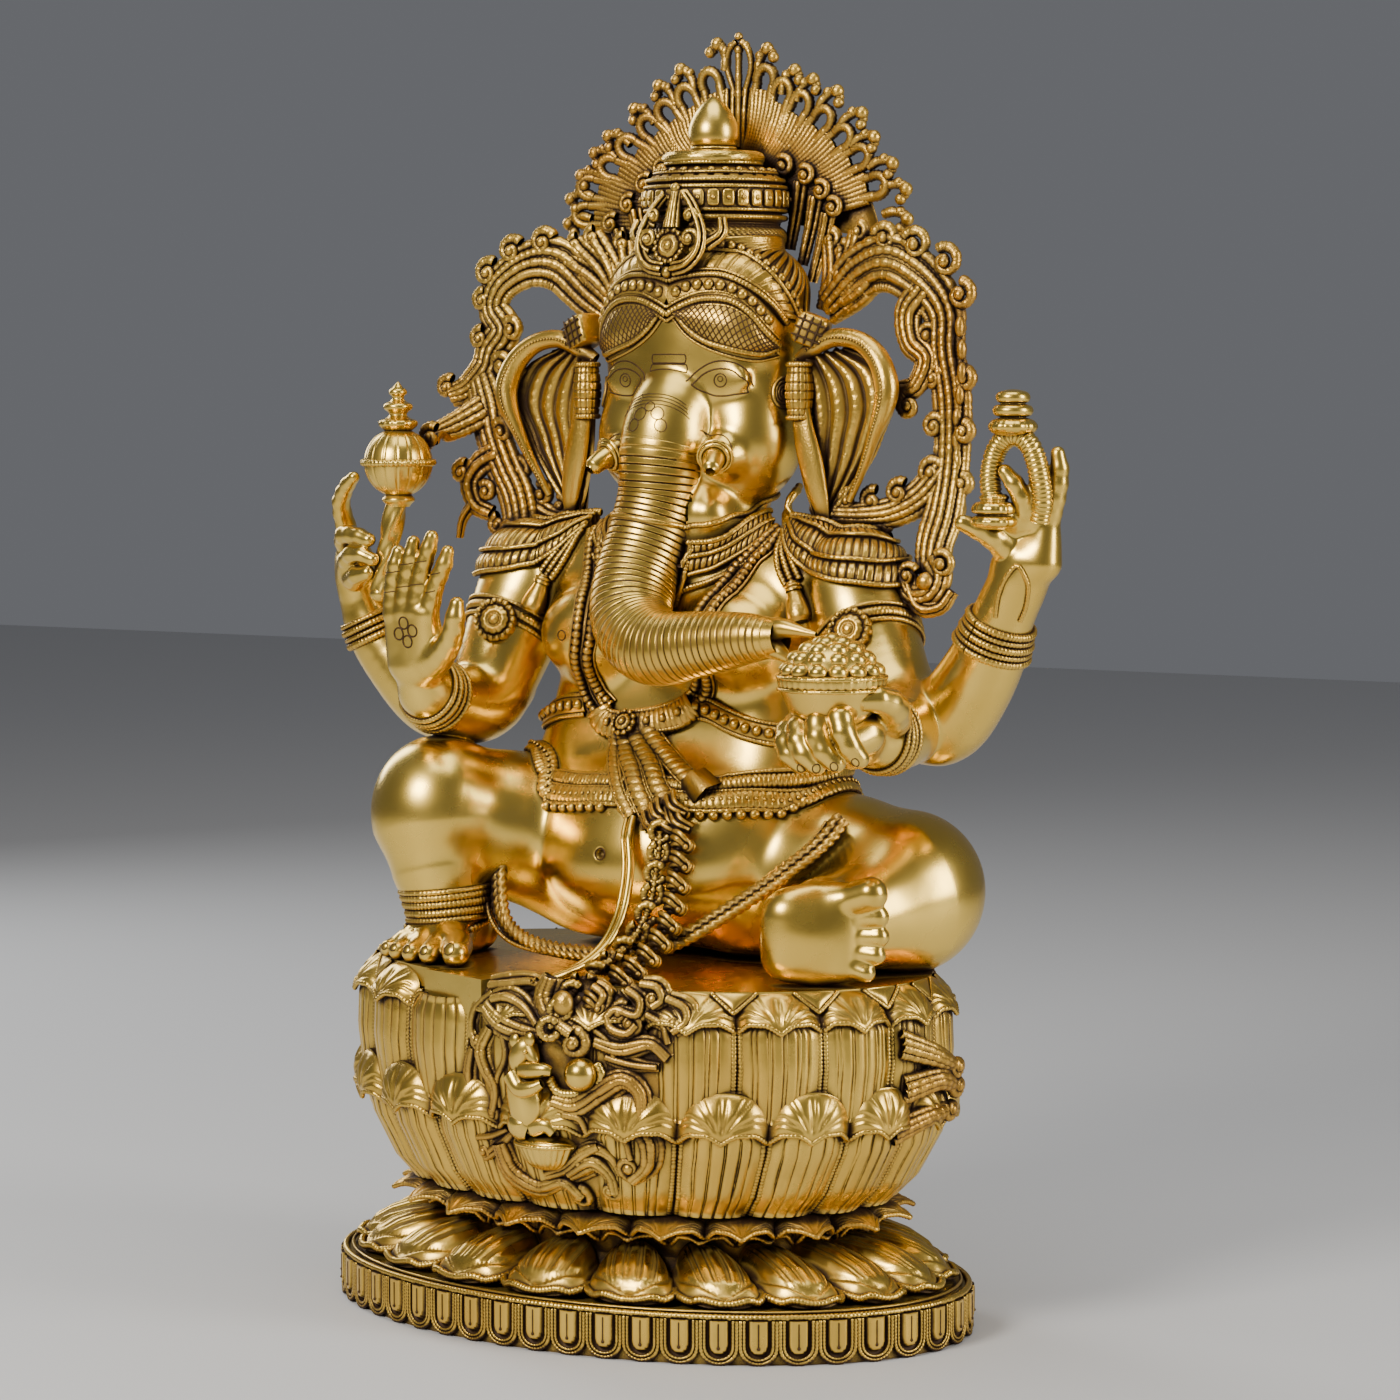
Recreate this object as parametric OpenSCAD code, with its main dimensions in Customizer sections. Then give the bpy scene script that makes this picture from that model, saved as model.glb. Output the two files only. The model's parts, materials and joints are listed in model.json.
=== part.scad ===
// Seated brass idol of the elephant-headed deity on an oval lotus seat.
// Millimetres, +Z up. The origin is the centre of the underside of the plinth.
// The figure faces -Y and its own left side is +X.

/* [Plinth and lotus] */
// Half of the plinth's long side
plinth_half = 242; // [200:1:280]
// Depth of every oval divided by its width
oval_ratio = 0.66; // [0.55:0.01:0.85]
// Height of the straight foot band
band_height = 31; // [24:1:40]
// Tongues round the foot band
tongue_count = 48; // [36:2:60]
// Teeth on the roped rim above the band
rim_teeth = 120; // [90:2:180]
// Large petals lying on the plinth
plinth_petal_count = 20; // [12:1:24]
// Petals in each upright tier
tier_petal_count = 20; // [16:1:28]
// Height of the flat seat
seat_top = 247.5; // [240:0.5:252]
// Half width of the lotus bowl at its fullest
bowl_half = 217; // [205:1:222]
// Half width of the seat slab
seat_half = 213; // [200:1:216]

/* [Body] */
// Half width of the belly
belly_half = 114; // [100:1:122]
// Radius of the raised right knee
knee_radius = 46; // [40:1:50]
// Radius of the shoulders
shoulder_radius = 37; // [32:1:42]
// Radius of the neck
neck_radius = 57; // [48:1:62]
// Radius of one finger
finger_radius = 5.6; // [4.5:0.1:6.5]
// Sides used on the balls that limbs are built from
ball_sides = 10; // [8:2:16]

/* [Head] */
// Half width of the head across the cheeks
head_half = 72; // [64:1:78]
// Trunk radius where it leaves the face
trunk_root = 32; // [28:1:36]
// Trunk radius at its tip
trunk_tip = 9; // [7:0.5:12]
// Tusk length that stands clear of the cheek
tusk_length = 17; // [12:1:22]
// Thickness of the ears
ear_thickness = 10; // [7:1:14]
// Half width of the crown
crown_half = 49; // [44:1:52]

/* [Ornaments] */
// Radius of a necklace bead strand
strand_radius = 5; // [3.5:0.5:6]
// Radius of the round sash cord
cord_radius = 3.2; // [2.5:0.1:4.5]
// Radius of an armlet rosette
rosette_radius = 17; // [14:0.5:20]
// Radius of the mace ball
mace_ball = 25; // [20:0.5:28]
// Radius of the sweet bowl
bowl_radius = 33; // [28:0.5:36]
// Radius of one round sweet
sweet_radius = 8; // [6:0.5:9]
// Thickness of a crest rib
crest_rib = 5; // [3:0.5:7]
// Radius of the scrolling side arms
scroll_radius = 10; // [8:0.5:12]

/* [Hidden] */
$fn = 96;
brass = [0.83, 0.62, 0.24];
deep = [0.55, 0.38, 0.14];
pale = [0.90, 0.71, 0.34];
fist = finger_radius;

// ---------- shared shapes ----------

// Equal steps round the oval need the angle eased toward the ends.
function eased(u) = u + 5.73 * sin(2 * u) + 0.57 * sin(4 * u);

module around(count, half, turn = 0, ease = 0) {
  for (i = [0 : count - 1]) {
    u = 360 * (i + turn) / count;
    t = ease == 1 ? eased(u) : u;
    translate([half * cos(t), half * oval_ratio * sin(t), 0])
      rotate([0, 0, atan2(sin(t), oval_ratio * cos(t))])
        children();
  }
}

module oval(half, low, high) {
  translate([0, 0, low])
    scale([1, oval_ratio, 1])
      cylinder(r = half, h = high - low);
}

module ball(q, sides = ball_sides) {
  translate([q[0], q[1], q[2]])
    sphere(r = q[3], $fn = sides);
}

// A limb, cord or rib: balls joined one to the next.
module chain(path, sides = ball_sides) {
  for (i = [0 : len(path) - 2]) {
    hull() {
      ball(path[i], sides);
      ball(path[i + 1], sides);
    }
  }
}

// A lump: one skin round all its balls.
module lump(path, sides = ball_sides) {
  hull() {
    for (q = path) {
      ball(q, sides);
    }
  }
}

// A round band lying in a tilted oval.
module oval_band(centre, half_x, half_y, low, high, tilt = 0) {
  translate(centre)
    rotate([tilt, 0, 0])
      scale([1, half_y / half_x, 1])
        translate([0, 0, low])
          cylinder(r = half_x, h = high - low);
}

// ---------- plinth and lotus ----------

module plinth() {
  color(brass)
    union() {
      oval(plinth_half - 2, 0, band_height);
      oval(plinth_half - 12, 0, band_height + 3);
    }
}

module plinth_rim() {
  turns = rim_teeth * 2;
  outer = [for (i = [0 : turns - 1])
    let (t = eased(360 * i / turns), r = plinth_half + (i % 2 == 0 ? 1.2 : -0.8))
      [r * cos(t), r * oval_ratio * sin(t)]];
  inner = [for (i = [0 : 95])
    let (t = 360 * i / 96, r = plinth_half - 7)
      [r * cos(t), r * oval_ratio * sin(t)]];
  color(pale)
    translate([0, 0, band_height - 1.5])
      linear_extrude(height = 4.5)
        difference() {
          polygon(outer);
          polygon(inner);
        }
}

module tongue_shape(half, top, drop) {
  union() {
    translate([-half, drop + half])
      square([2 * half, top - drop - half]);
    translate([0, drop + half])
      circle(r = half, $fn = 24);
  }
}

module plinth_arcade() {
  color(brass)
    around(tongue_count, plinth_half - 3, 0.4, 1)
      rotate([90, 0, 90]) {
        linear_extrude(height = 5)
          difference() {
            tongue_shape(12.2, band_height - 1.5, 0.6);
            tongue_shape(7.6, band_height - 1.4, 6);
          }
        linear_extrude(height = 5.4)
          tongue_shape(5, band_height - 1.5, 9);
      }
}

// A flat petal blade, broad toward its free end, built upright from the ground.
module blade(half, length, thick, foot = 0.5) {
  rotate([90, 0, 90])
    linear_extrude(height = thick)
      polygon([[-foot * half, 0], [foot * half, 0], [half, 0.5 * length], [0.86 * half, 0.82 * length],
        [0.3 * half, length], [-0.3 * half, length], [-0.86 * half, 0.82 * length],
        [-half, 0.5 * length]]);
}

module plinth_petals() {
  color(brass)
    around(plinth_petal_count, plinth_half - 12, 0.056)
      union() {
        translate([-66, 0, 54])
          rotate([0, 113, 0])
            mirror([1, 0, 0])
              blade(30, 70, 10);
        translate([-62, 0, 60])
          rotate([0, 112, 0])
            mirror([1, 0, 0])
              blade(23, 58, 8);
      }
}

module waist_petals() {
  color(deep)
    around(plinth_petal_count, 188, 0.54)
      union() {
        translate([-40, 0, 84])
          rotate([0, 104, 0])
            mirror([1, 0, 0])
              blade(19, 38, 6, 0.7);
      }
}

module lotus_core() {
  profile = [[0, 30], [174, 30], [164, 46], [151, 58], [150, 70], [165, 86], [188, 108],
    [205, 138], [bowl_half - 4, 168], [bowl_half, 196], [bowl_half - 2, 220],
    [bowl_half - 8, 236], [0, 236]];
  color(deep)
    scale([1, oval_ratio, 1])
      rotate_extrude($fn = 96)
        polygon(profile);
}

module lower_petals() {
  color(brass)
    around(tier_petal_count, 226, 0.111)
      union() {
        translate([-48, 0, 92])
          rotate([0, 30, 0])
            blade(22, 84, 9);
        translate([-14, 0, 174])
          rotate([0, 148, 0])
            mirror([1, 0, 0])
              blade(22, 28, 7, 0.5);
      }
}

module upper_petals() {
  color(brass)
    around(tier_petal_count, 227, 0.722)
      union() {
        translate([-20, 0, 160])
          rotate([0, 5, 0])
            blade(22, 82, 9, 0.9);
        translate([-12, 0, 243])
          rotate([0, 146, 0])
            mirror([1, 0, 0])
              blade(22, 22, 7, 0.5);
      }
  color(brass)
    around(tier_petal_count, 222, 0.222)
      union() {
        translate([-12, 0, 246])
          rotate([0, 136, 0])
            mirror([1, 0, 0])
              blade(10, 18, 6, 0.9);
      }
}

module seat_slab() {
  color(pale)
    union() {
      oval(seat_half, 234, seat_top);
      translate([0, 0, 206])
        linear_extrude(height = seat_top - 206)
          polygon([[-30, -130], [-40, -150], [-104, -127], [-90, -112]]);
    }
}

module relief_scrolls() {
  leaves = [
    [[-30, -150, 243, 8], [-46, -157, 208, 6], [-56, -156, 190, 7]],
    [[-10, -156, 214, 6], [-12, -158, 162, 5]],
    [[-50, -152, 176, 6], [-22, -156, 180, 5]],
    [[-24, -148, 150, 6], [2, -154, 118, 8], [42, -150, 108, 7]],
    [[44, -152, 108, 7], [70, -150, 122, 6], [80, -148, 132, 6]],
    [[46, -156, 164, 6], [66, -156, 156, 6], [52, -156, 130, 6]],
    [[62, -155, 179, 7], [88, -149, 182, 7], [98, -145, 152, 7], [78, -152, 140, 6]],
    [[76, -150, 212, 6], [104, -142, 200, 6]],
    [[28, -158, 246, 8], [52, -160, 240, 10], [54, -160, 212, 7]]];
  color(brass)
    union() {
      for (leaf = leaves) {
        chain(leaf, 6);
      }
      lump([[-16, -150, 240, 8], [-18, -162, 232, 7], [24, -162, 222, 7], [18, -148, 238, 8]], 6);
      lump([[-40, -134, 200, 12], [84, -128, 196, 12], [72, -128, 140, 12], [-10, -138, 140, 12]], 6);
    }
}

module mouse() {
  color(pale)
    union() {
      lump([[10, -160, 194, 11], [8, -160, 172, 13], [10, -158, 160, 13]], 6);
      lump([[10, -162, 194, 9], [12, -163, 212, 9]], 6);
      lump([[12, -163, 212, 8], [18, -170, 206, 4]], 6);
      chain([[16, -166, 192, 6], [30, -168, 186, 5], [40, -168, 188, 4]], 6);
      chain([[4, -166, 190, 6], [18, -174, 184, 5], [34, -172, 184, 4]], 6);
      chain([[4, -166, 158, 8], [16, -172, 150, 6], [10, -170, 146, 5]], 6);
      chain([[14, -164, 158, 8], [26, -170, 154, 6]], 6);
      lump([[6, -160, 222, 4], [14, -158, 222, 4]], 6);
    }
}

module mouse_offerings() {
  color(pale) {
    translate([58, -160, 192])
      sphere(r = 12);
    translate([28, -160, 132])
      scale([1.25, 0.8, 1])
        rotate_extrude()
          polygon([[0, 0], [7, 0], [13, 5], [17, 13], [17.5, 17], [0, 19]]);
  }
}

module side_relief() {
  color(brass)
    union() {
      lump([[214, -4, 214, 12], [222, -4, 202, 12], [220, -4, 188, 11]], 6);
      lump([[216, -14, 186, 10], [224, -6, 178, 10]], 6);
      lump([[216, 6, 182, 10], [224, 0, 168, 10]], 6);
      lump([[214, -14, 164, 9], [226, -8, 156, 9]], 6);
      chain([[206, 22, 200, 8], [212, 24, 180, 8], [208, 18, 160, 8]], 6);
      chain([[204, -34, 200, 8], [210, -36, 180, 8], [206, -30, 160, 8]], 6);
      lump([[196, -30, 160, 12], [196, 18, 206, 12], [198, -6, 214, 10]], 6);
    }
}

// ---------- body ----------

module torso() {
  color(brass)
    union() {
      lump([[-52, 58, 440, 44], [52, 58, 440, 44], [-58, 62, 486, 44], [58, 62, 486, 44]], 10);
      lump([[-34, 30, 480, 36], [-30, 34, 452, 34]], 10);
      lump([[34, 30, 480, 36], [30, 34, 452, 34]], 10);
      lump([[-60, 22, 482, 30], [-52, 30, 462, 32]], 10);
      lump([[60, 22, 482, 30], [52, 30, 462, 32]], 10);
      lump([[-105, 56, 508, 34], [105, 56, 508, 34]], 10);
      lump([[-40, 60, 530, 28], [40, 60, 530, 28]], 10);
      lump([[0, 62, 530, neck_radius - 6], [0, 62, 566, neck_radius - 8]], 10);
      lump([[-60, 60, 420, 48], [60, 60, 420, 48], [-64, 56, 396, 46], [64, 56, 396, 46]], 10);
    }
}

module belly() {
  color(brass)
    union() {
      lump([[-46, 34, 336, 66], [46, 34, 336, 66], [0, 22, 330, 68]], 10);
      lump([[-70, 50, 372, 50], [70, 50, 372, 50]], 10);
      lump([[-80, 60, 310, 54], [80, 60, 310, 54]], 10);
      lump([[-60, 80, 320, 56], [60, 80, 320, 56]], 10);
      lump([[0, 16, 352, 56], [0, 20, 336, 62]], 10);
      lump([[-40, 84, 372, 48], [40, 84, 372, 48]], 10);
      lump([[-80, 96, 290, 36], [80, 96, 290, 36]], 10);
      lump([[-60, 40, 292, 42], [60, 40, 292, 42]], 10);
    }
}

module right_leg() {
  color(brass)
    union() {
      chain([[-150, -46, 352, knee_radius], [-150, -48, 334, 44], [-146, -50, 316, 37],
        [-140, -50, 300, 29], [-136, -50, 284, 25]]);
      chain([[-150, -46, 352, knee_radius], [-136, -26, 346, 48], [-118, 0, 334, 50],
        [-100, 24, 320, 52], [-84, 44, 310, 54]]);
    }
}

module toes(tips, roots) {
  for (i = [0 : len(tips) - 1]) {
    hull() {
      ball(tips[i], 8);
      ball(roots[i], 8);
    }
  }
}

module right_foot() {
  color(brass)
    union() {
      lump([[-138, -46, 280, 24], [-132, -24, 266, 18], [-120, -78, 262, 13], [-152, -76, 260, 12]], 7);
      lump([[-106, -86, 259, 11], [-122, -82, 262, 11], [-164, -74, 257, 9], [-136, -52, 272, 18]], 7);
      toes([[-96, -112, 257, 9], [-117, -110, 255, 7.4], [-134, -104, 254.5, 7], [-150, -97, 254, 6.6],
        [-165, -88, 254, 6.4]],
        [[-104, -88, 259, 10], [-121, -86, 258, 8], [-136, -82, 258, 8], [-150, -78, 257, 8],
        [-162, -72, 257, 7]]);
      lump([[-130, -20, 262, 14], [-132, -34, 270, 18]], 7);
    }
}

module right_anklets() {
  color(pale)
    translate([-137, -51, 284])
      rotate([2, -6, 0]) {
        for (level = [0, 7]) {
          translate([0, 0, level])
            rotate_extrude()
              translate([27, 0])
                circle(r = 3.4, $fn = 16);
        }
        translate([0, 0, -9])
          difference() {
            cylinder(r1 = 33, r2 = 27, h = 8);
            translate([0, 0, -1])
              cylinder(r = 21, h = 10);
          }
      }
}

module left_leg() {
  color(brass)
    union() {
      chain([[66, 50, 304, 58], [94, 48, 305, 57], [120, 47, 306, 56], [146, 48, 306, 55],
        [172, 52, 305, 52]], 10);
      chain([[176, 54, 300, 50], [180, 36, 298, 48], [178, 14, 294, 44], [172, -10, 289, 38],
        [164, -32, 285, 32]], 10);
    }
}

module left_foot() {
  color(brass)
    union() {
      lump([[150, -68, 300, 17], [148, -66, 268, 17], [184, -42, 296, 15], [182, -44, 266, 16],
        [160, -46, 284, 26]], 7);
      lump([[186, -54, 304, 10], [186, -54, 262, 9], [178, -56, 284, 16]], 7);
      toes([[205, -50, 311, 11], [210, -46, 297, 7.5], [211, -45, 284, 7], [209, -46, 271, 7],
        [203, -49, 259, 6.8]],
        [[188, -50, 304, 11], [190, -48, 292, 8], [190, -48, 282, 8], [190, -48, 272, 8],
        [188, -50, 262, 8]]);
      lump([[160, -32, 285, 30], [158, -50, 284, 26]], 7);
    }
}

// ---------- arms and hands ----------

module right_front_arm() {
  color(brass)
    union() {
      chain([[-138, 52, 506, shoulder_radius], [-142, 44, 488, 34], [-145, 34, 466, 31], [-147, 24, 444, 29],
        [-148, 12, 425, 28.5], [-150, -6, 421, 27], [-150, -24, 423, 25], [-149, -42, 428, 22.5],
        [-149, -58, 434, 20]]);
    }
}

module right_front_hand() {
  color(pale)
    union() {
      lump([[-149, -60, 436, 18], [-152, -72, 452, 16], [-136, -76, 450, 15], [-160, -80, 472, 10],
        [-132, -82, 474, 10]], 7);
      lump([[-160, -82, 470, 9], [-130, -84, 470, 10], [-162, -86, 494, 7.5], [-128, -88, 494, 7.5]], 7);
      chain([[-160, -87, 494, 7], [-157, -89, 510, fist + 0.6], [-153, -91, 526, fist], [-151, -91, 534, 4.6]], 7);
      chain([[-149, -88, 496, 7], [-145, -90, 514, fist + 0.6], [-140, -91, 532, fist], [-138, -91, 541, 4.6]], 7);
      chain([[-138, -89, 497, 7], [-133, -90, 516, fist + 0.6], [-126, -90, 536, fist], [-123, -90, 545, 4.6]], 7);
      chain([[-128, -88, 495, 7], [-121, -89, 510, fist + 0.4], [-113, -89, 526, fist], [-110, -89, 535, 4.4]], 7);
      chain([[-138, -78, 452, 12], [-120, -84, 462, 9.5], [-106, -90, 476, 7.5], [-100, -94, 492, 6],
        [-99, -94, 499, 5]], 7);
    }
}

module right_rear_arm() {
  color(brass)
    union() {
      chain([[-160, 40, 424, 25], [-176, 38, 418, 26], [-192, 34, 416, 26], [-208, 31, 420, 25.5],
        [-222, 28, 430, 24.5], [-233, 25, 442, 23], [-243, 22, 454, 21.5], [-251, 19, 466, 20],
        [-257, 17, 476, 19]]);
    }
}

module right_rear_hand() {
  color(pale)
    union() {
      chain([[-258, 17, 476, 17], [-261, 14, 492, 15], [-263, 10, 508, 15], [-264, 8, 520, 14]], 7);
      lump([[-266, 16, 518, 11], [-258, 0, 520, 11], [-264, 8, 530, 11]], 7);
      chain([[-268, 14, 528, 8], [-272, 8, 548, fist + 1.4], [-270, 0, 564, fist + 0.8],
        [-258, -8, 577, fist], [-248, -12, 582, 4.6]], 7);
      chain([[-266, 4, 530, 8], [-262, -8, 540, fist + 1], [-246, -14, 541, fist + 0.6],
        [-232, -16, 538, fist]], 7);
      chain([[-262, -2, 518, 8], [-252, -14, 526, fist + 1], [-238, -18, 528, fist],
        [-228, -18, 524, 5]], 7);
      chain([[-256, -4, 508, 8], [-246, -12, 512, fist + 1], [-234, -16, 514, fist]], 7);
    }
}

module left_front_arm() {
  color(brass)
    union() {
      chain([[138, 52, 502, shoulder_radius], [147, 46, 484, 35], [158, 39, 466, 33], [170, 31, 449, 31],
        [184, 22, 434, 29.5], [200, 10, 424, 28], [206, -8, 420, 26], [210, -26, 418, 24],
        [212, -46, 418, 22]]);
    }
}

module left_front_hand() {
  color(pale)
    union() {
      lump([[212, -48, 418, 20], [208, -72, 420, 18], [190, -86, 424, 16], [222, -84, 424, 16]], 7);
      lump([[188, -90, 424, 13], [224, -92, 424, 13], [206, -80, 420, 20]], 7);
      chain([[182, -92, 430, 9], [180, -110, 424, 8.5], [186, -121, 412, 8], [196, -121, 404, 7]], 7);
      chain([[192, -98, 434, 9], [192, -116, 428, 8.5], [198, -124, 414, 8], [208, -122, 404, 7]], 7);
      chain([[206, -100, 438, 9], [208, -119, 432, 8.5], [213, -125, 417, 8], [222, -121, 406, 7]], 7);
      chain([[220, -100, 440, 9], [224, -118, 436, 8.5], [230, -121, 421, 8], [236, -115, 409, 7]], 7);
      chain([[230, -60, 430, 12], [240, -78, 440, 10], [240, -92, 446, 8.5], [232, -102, 446, 7.5]], 7);
    }
}

module left_rear_arm() {
  color(brass)
    union() {
      chain([[184, 36, 434, 27], [196, 34, 424, 28], [210, 30, 420, 28.5], [224, 26, 426, 28],
        [236, 22, 436, 27], [246, 18, 447, 26], [255, 14, 458, 25], [262, 11, 468, 24],
        [269, 8, 479, 23.5]]);
    }
}

module left_rear_hand() {
  color(pale)
    union() {
      chain([[270, 7, 482, 22], [280, 4, 500, 21], [290, 2, 518, 20], [297, 0, 536, 18]], 7);
      lump([[286, 2, 532, 14], [310, -2, 534, 12], [312, -2, 560, 9], [294, -4, 560, 10]], 7);
      chain([[290, -4, 540, 12], [284, -16, 548, 9], [276, -26, 555, 7.5], [266, -32, 560, 6]], 7);
      chain([[312, -2, 558, 8], [320, -4, 576, fist + 1.4], [323, -5, 594, fist + 0.6], [322, -6, 606, 4.8]], 7);
      chain([[306, -6, 560, 8], [312, -12, 578, fist + 1.6], [312, -14, 596, fist + 0.8], [310, -14, 606, 5]], 7);
      chain([[298, -8, 560, 8], [303, -16, 574, fist + 1.6], [298, -22, 588, fist + 0.6], [293, -23, 594, 5]], 7);
      chain([[292, -8, 556, 8], [292, -18, 564, fist + 1], [288, -26, 570, fist], [284, -27, 573, 5]], 7);
    }
}

// ---------- head ----------

module head() {
  color(brass)
    union() {
      lump([[-head_half + 28, 62, 640, 28], [head_half - 28, 62, 640, 28], [-34, 62, 700, 32],
        [34, 62, 700, 32], [0, 66, 720, 40]], 10);
      lump([[-head_half + 30, 56, 610, 28], [head_half - 30, 56, 610, 28], [0, 60, 590, 34]], 10);
      lump([[-30, 60, 668, 38], [30, 60, 668, 38]], 10);
      lump([[0, 74, 730, 46], [0, 72, 700, 50]], 10);
      lump([[-28, 44, 602, 24], [28, 44, 602, 24]], 10);
      lump([[-14, 40, 628, 26], [14, 40, 628, 26]], 10);
      lump([[0, 62, 570, 34], [0, 60, 600, 40]], 10);
      lump([[-40, 78, 650, 40], [40, 78, 650, 40]], 10);
    }
}

module trunk() {
  a = trunk_root;
  b = trunk_tip;
  color(pale)
    union() {
      chain([[0, 44, 648, a - 7], [-1, 33, 632, a - 3], [-4, 25, 606, a - 0.5], [-6, 21, 572, a - 2],
        [-10, 9, 534, a - 2.5], [-10, -1, 514, a - 2.5], [-8, -10, 498, a - 3], [-2, -19, 484, a - 3.5],
        [9, -25, 475, a - 4], [24, -31, 470, a - 5], [43, -36, 470, a - 7], [63, -39, 473, a - 9],
        [84, -41, 476, (a + 2 * b) / 3 + 3.5], [106, -43, 479, (a + 3 * b) / 4 + 2.5],
        [124, -44, 480, b + 4], [136, -45, 481, b + 1]], 10);
      chain([[136, -45, 484, b - 2], [148, -46, 484, 5], [158, -46, 483, 2.8]], 10);
      chain([[134, -45, 476, b - 1], [142, -45, 470, 4]], 10);
    }
}

module tusks() {
  color(pale)
    for (side = [-1, 1]) {
      translate([side * 41, 20, 598])
        rotate([78, 0, side * 18]) {
          translate([0, 0, -4])
            cylinder(r = 12.5, h = 9);
          translate([0, 0, 4.9])
            cylinder(r1 = 9.5, r2 = 6, h = tusk_length - 3);
          translate([0, 0, tusk_length + 1])
            sphere(r = 6.2);
        }
    }
}

module ear_fan(side) {
  t = ear_thickness / 2;
  fan = [[80, 62, 660], [96, 64, 672], [116, 68, 676], [134, 70, 670], [148, 68, 656], [150, 66, 640],
    [140, 68, 626], [128, 70, 606], [118, 70, 586], [108, 70, 566], [100, 68, 558]];
  union() {
    for (i = [0 : len(fan) - 2]) {
      hull() {
        ball([side * fan[i][0], fan[i][1], fan[i][2], t], 8);
        ball([side * fan[i + 1][0], fan[i + 1][1], fan[i + 1][2], t], 8);
        ball([side * 84, 66, 630, t], 8);
        ball([side * 86, 64, 590, t], 8);
      }
    }
    chain([[side * 98, 60, 676, 6], [side * 118, 62, 682, 6.5], [side * 138, 62, 676, 7],
      [side * 152, 60, 660, 7], [side * 156, 58, 642, 7], [side * 150, 56, 630, 7]], 8);
  }
}

module right_ear() {
  color(brass)
    ear_fan(-1);
}

module left_ear() {
  color(brass)
    ear_fan(1);
}

module ear_ornaments() {
  color(pale)
    for (side = [-1, 1]) {
      translate([side * 88, 56, 620])
        rotate([0, side * 4, 0])
          rotate_extrude()
            polygon([[0, 0], [9, 0], [11, 4], [14, 14], [15, 25], [14, 36], [11, 46], [9, 50], [0, 50]]);
      translate([side * 94, 62, 688])
        rotate([0, side * 20, 20])
          cube([24, 22, 24], center = true);
    }
}

module diadem() {
  color(pale)
    union() {
      translate([0, 70, 722])
        rotate([14, 0, 0])
          scale([1, 0.76, 1])
            rotate_extrude($fn = 32)
              polygon([[52, -8], [72, -10], [75, -2], [74, 8], [70, 20], [62, 30], [52, 30]]);
      for (side = [-1, 1]) {
        translate([side * 42, 36, 700])
          rotate([82, 0, side * 28])
            scale([1.35, 0.8, 1])
              cylinder(r = 20, h = 7, center = true, $fn = 24);
      }
    }
}

module crown() {
  color(brass)
    translate([0, 85, 0])
      rotate_extrude()
        polygon([[0, 742], [52, 742], [46, 752], [44, 762], [47, 766], [crown_half, 772],
          [crown_half + 1, 792], [46, 798], [36, 803], [30, 808], [0, 808]]);
}

module crown_finial() {
  color(pale)
    translate([0, 83, 0])
      rotate_extrude()
        polygon([[0, 804], [30, 804], [36, 808], [37, 812], [32, 816], [14, 818], [17, 824],
          [17.5, 830], [15, 838], [9, 847], [3, 854], [0, 855]]);
}

module crown_medallion() {
  color(pale)
    union() {
      translate([0, 34, 748])
        rotate([80, 0, 0])
          cylinder(r = 17, h = 12);
      translate([0, 24, 748])
        rotate([80, 0, 0])
          rotate_extrude()
            translate([17, 0])
              circle(r = 4, $fn = 16);
      translate([0, 30, 720])
        rotate([80, 0, 0])
          cylinder(r = 7, h = 10);
      translate([0, 36, 770])
        rotate([80, 0, 0])
          scale([1, 1.3, 1])
            cylinder(r = 10, h = 10);
      for (side = [-1, 1]) {
        translate([side * 24, 34, 756])
          rotate([80, 0, side * 12])
            scale([0.8, 1.4, 1])
              cylinder(r = 12, h = 10);
      }
    }
}

// ---------- collars, strands and sashes ----------

module shoulder_cape(side) {
  // Three overlapping ribbed layers, each fanning over the shoulder.
  spots = [[44, 4], [72, 2], [104, 4], [134, 12], [160, 26], [172, 46], [168, 70]];
  for (i = [0 : len(spots) - 2]) {
    hull() {
      for (k = [0, 1]) {
        s = spots[i + k];
        ball([side * s[0], s[1], 522 + abs(s[0] - 110) * 0.12, 5], 6);
        ball([side * (s[0] * 0.62 + 26), s[1] * 0.4 + 36, 552, 5], 6);
      }
    }
  }
  for (i = [0 : len(spots) - 2]) {
    hull() {
      for (k = [0, 1]) {
        s = spots[i + k];
        ball([side * (s[0] * 0.82 + 12), s[1] * 0.7 + 16, 540, 5], 6);
        ball([side * (s[0] * 0.5 + 30), s[1] * 0.3 + 40, 560, 4], 6);
      }
    }
  }
}

module right_shoulder_cape() {
  color(pale)
    union() {
      shoulder_cape(-1);
    }
}

module left_shoulder_cape() {
  color(pale)
    union() {
      shoulder_cape(1);
    }
}

module neck_bands() {
  color(brass)
    translate([0, 60, 546])
      rotate([10, 0, 0])
        rotate_extrude()
          polygon([[48, -14], [61, -18], [65, -14], [64, -8], [58, 0], [56, 6], [48, 6]]);
}

module long_necklace() {
  r = strand_radius;
  color(brass)
    union() {
      for (gap = [0, 9]) {
        chain([[-46 - gap, 8, 552, r], [-52 - gap, -4, 524, r], [-56 - gap, -14, 494, r],
          [-56 - gap, -18, 466, r], [-46 - gap * 0.8, -18, 440, r], [-28, -16, 424 - gap, r + 2]], 6);
      }
      chain([[-30, -16, 420, 9], [-8, -14, 414, 10], [12, -14, 416, 10], [34, -16, 424, 9]], 6);
      chain([[52, -20, 516, r + 2], [66, -8, 534, r + 1], [84, 6, 550, r]], 6);
      chain([[46, -14, 506, r + 2], [36, -16, 470, r + 1], [34, -14, 438, r + 1], [34, -14, 424, r + 1]], 6);
    }
}

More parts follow.
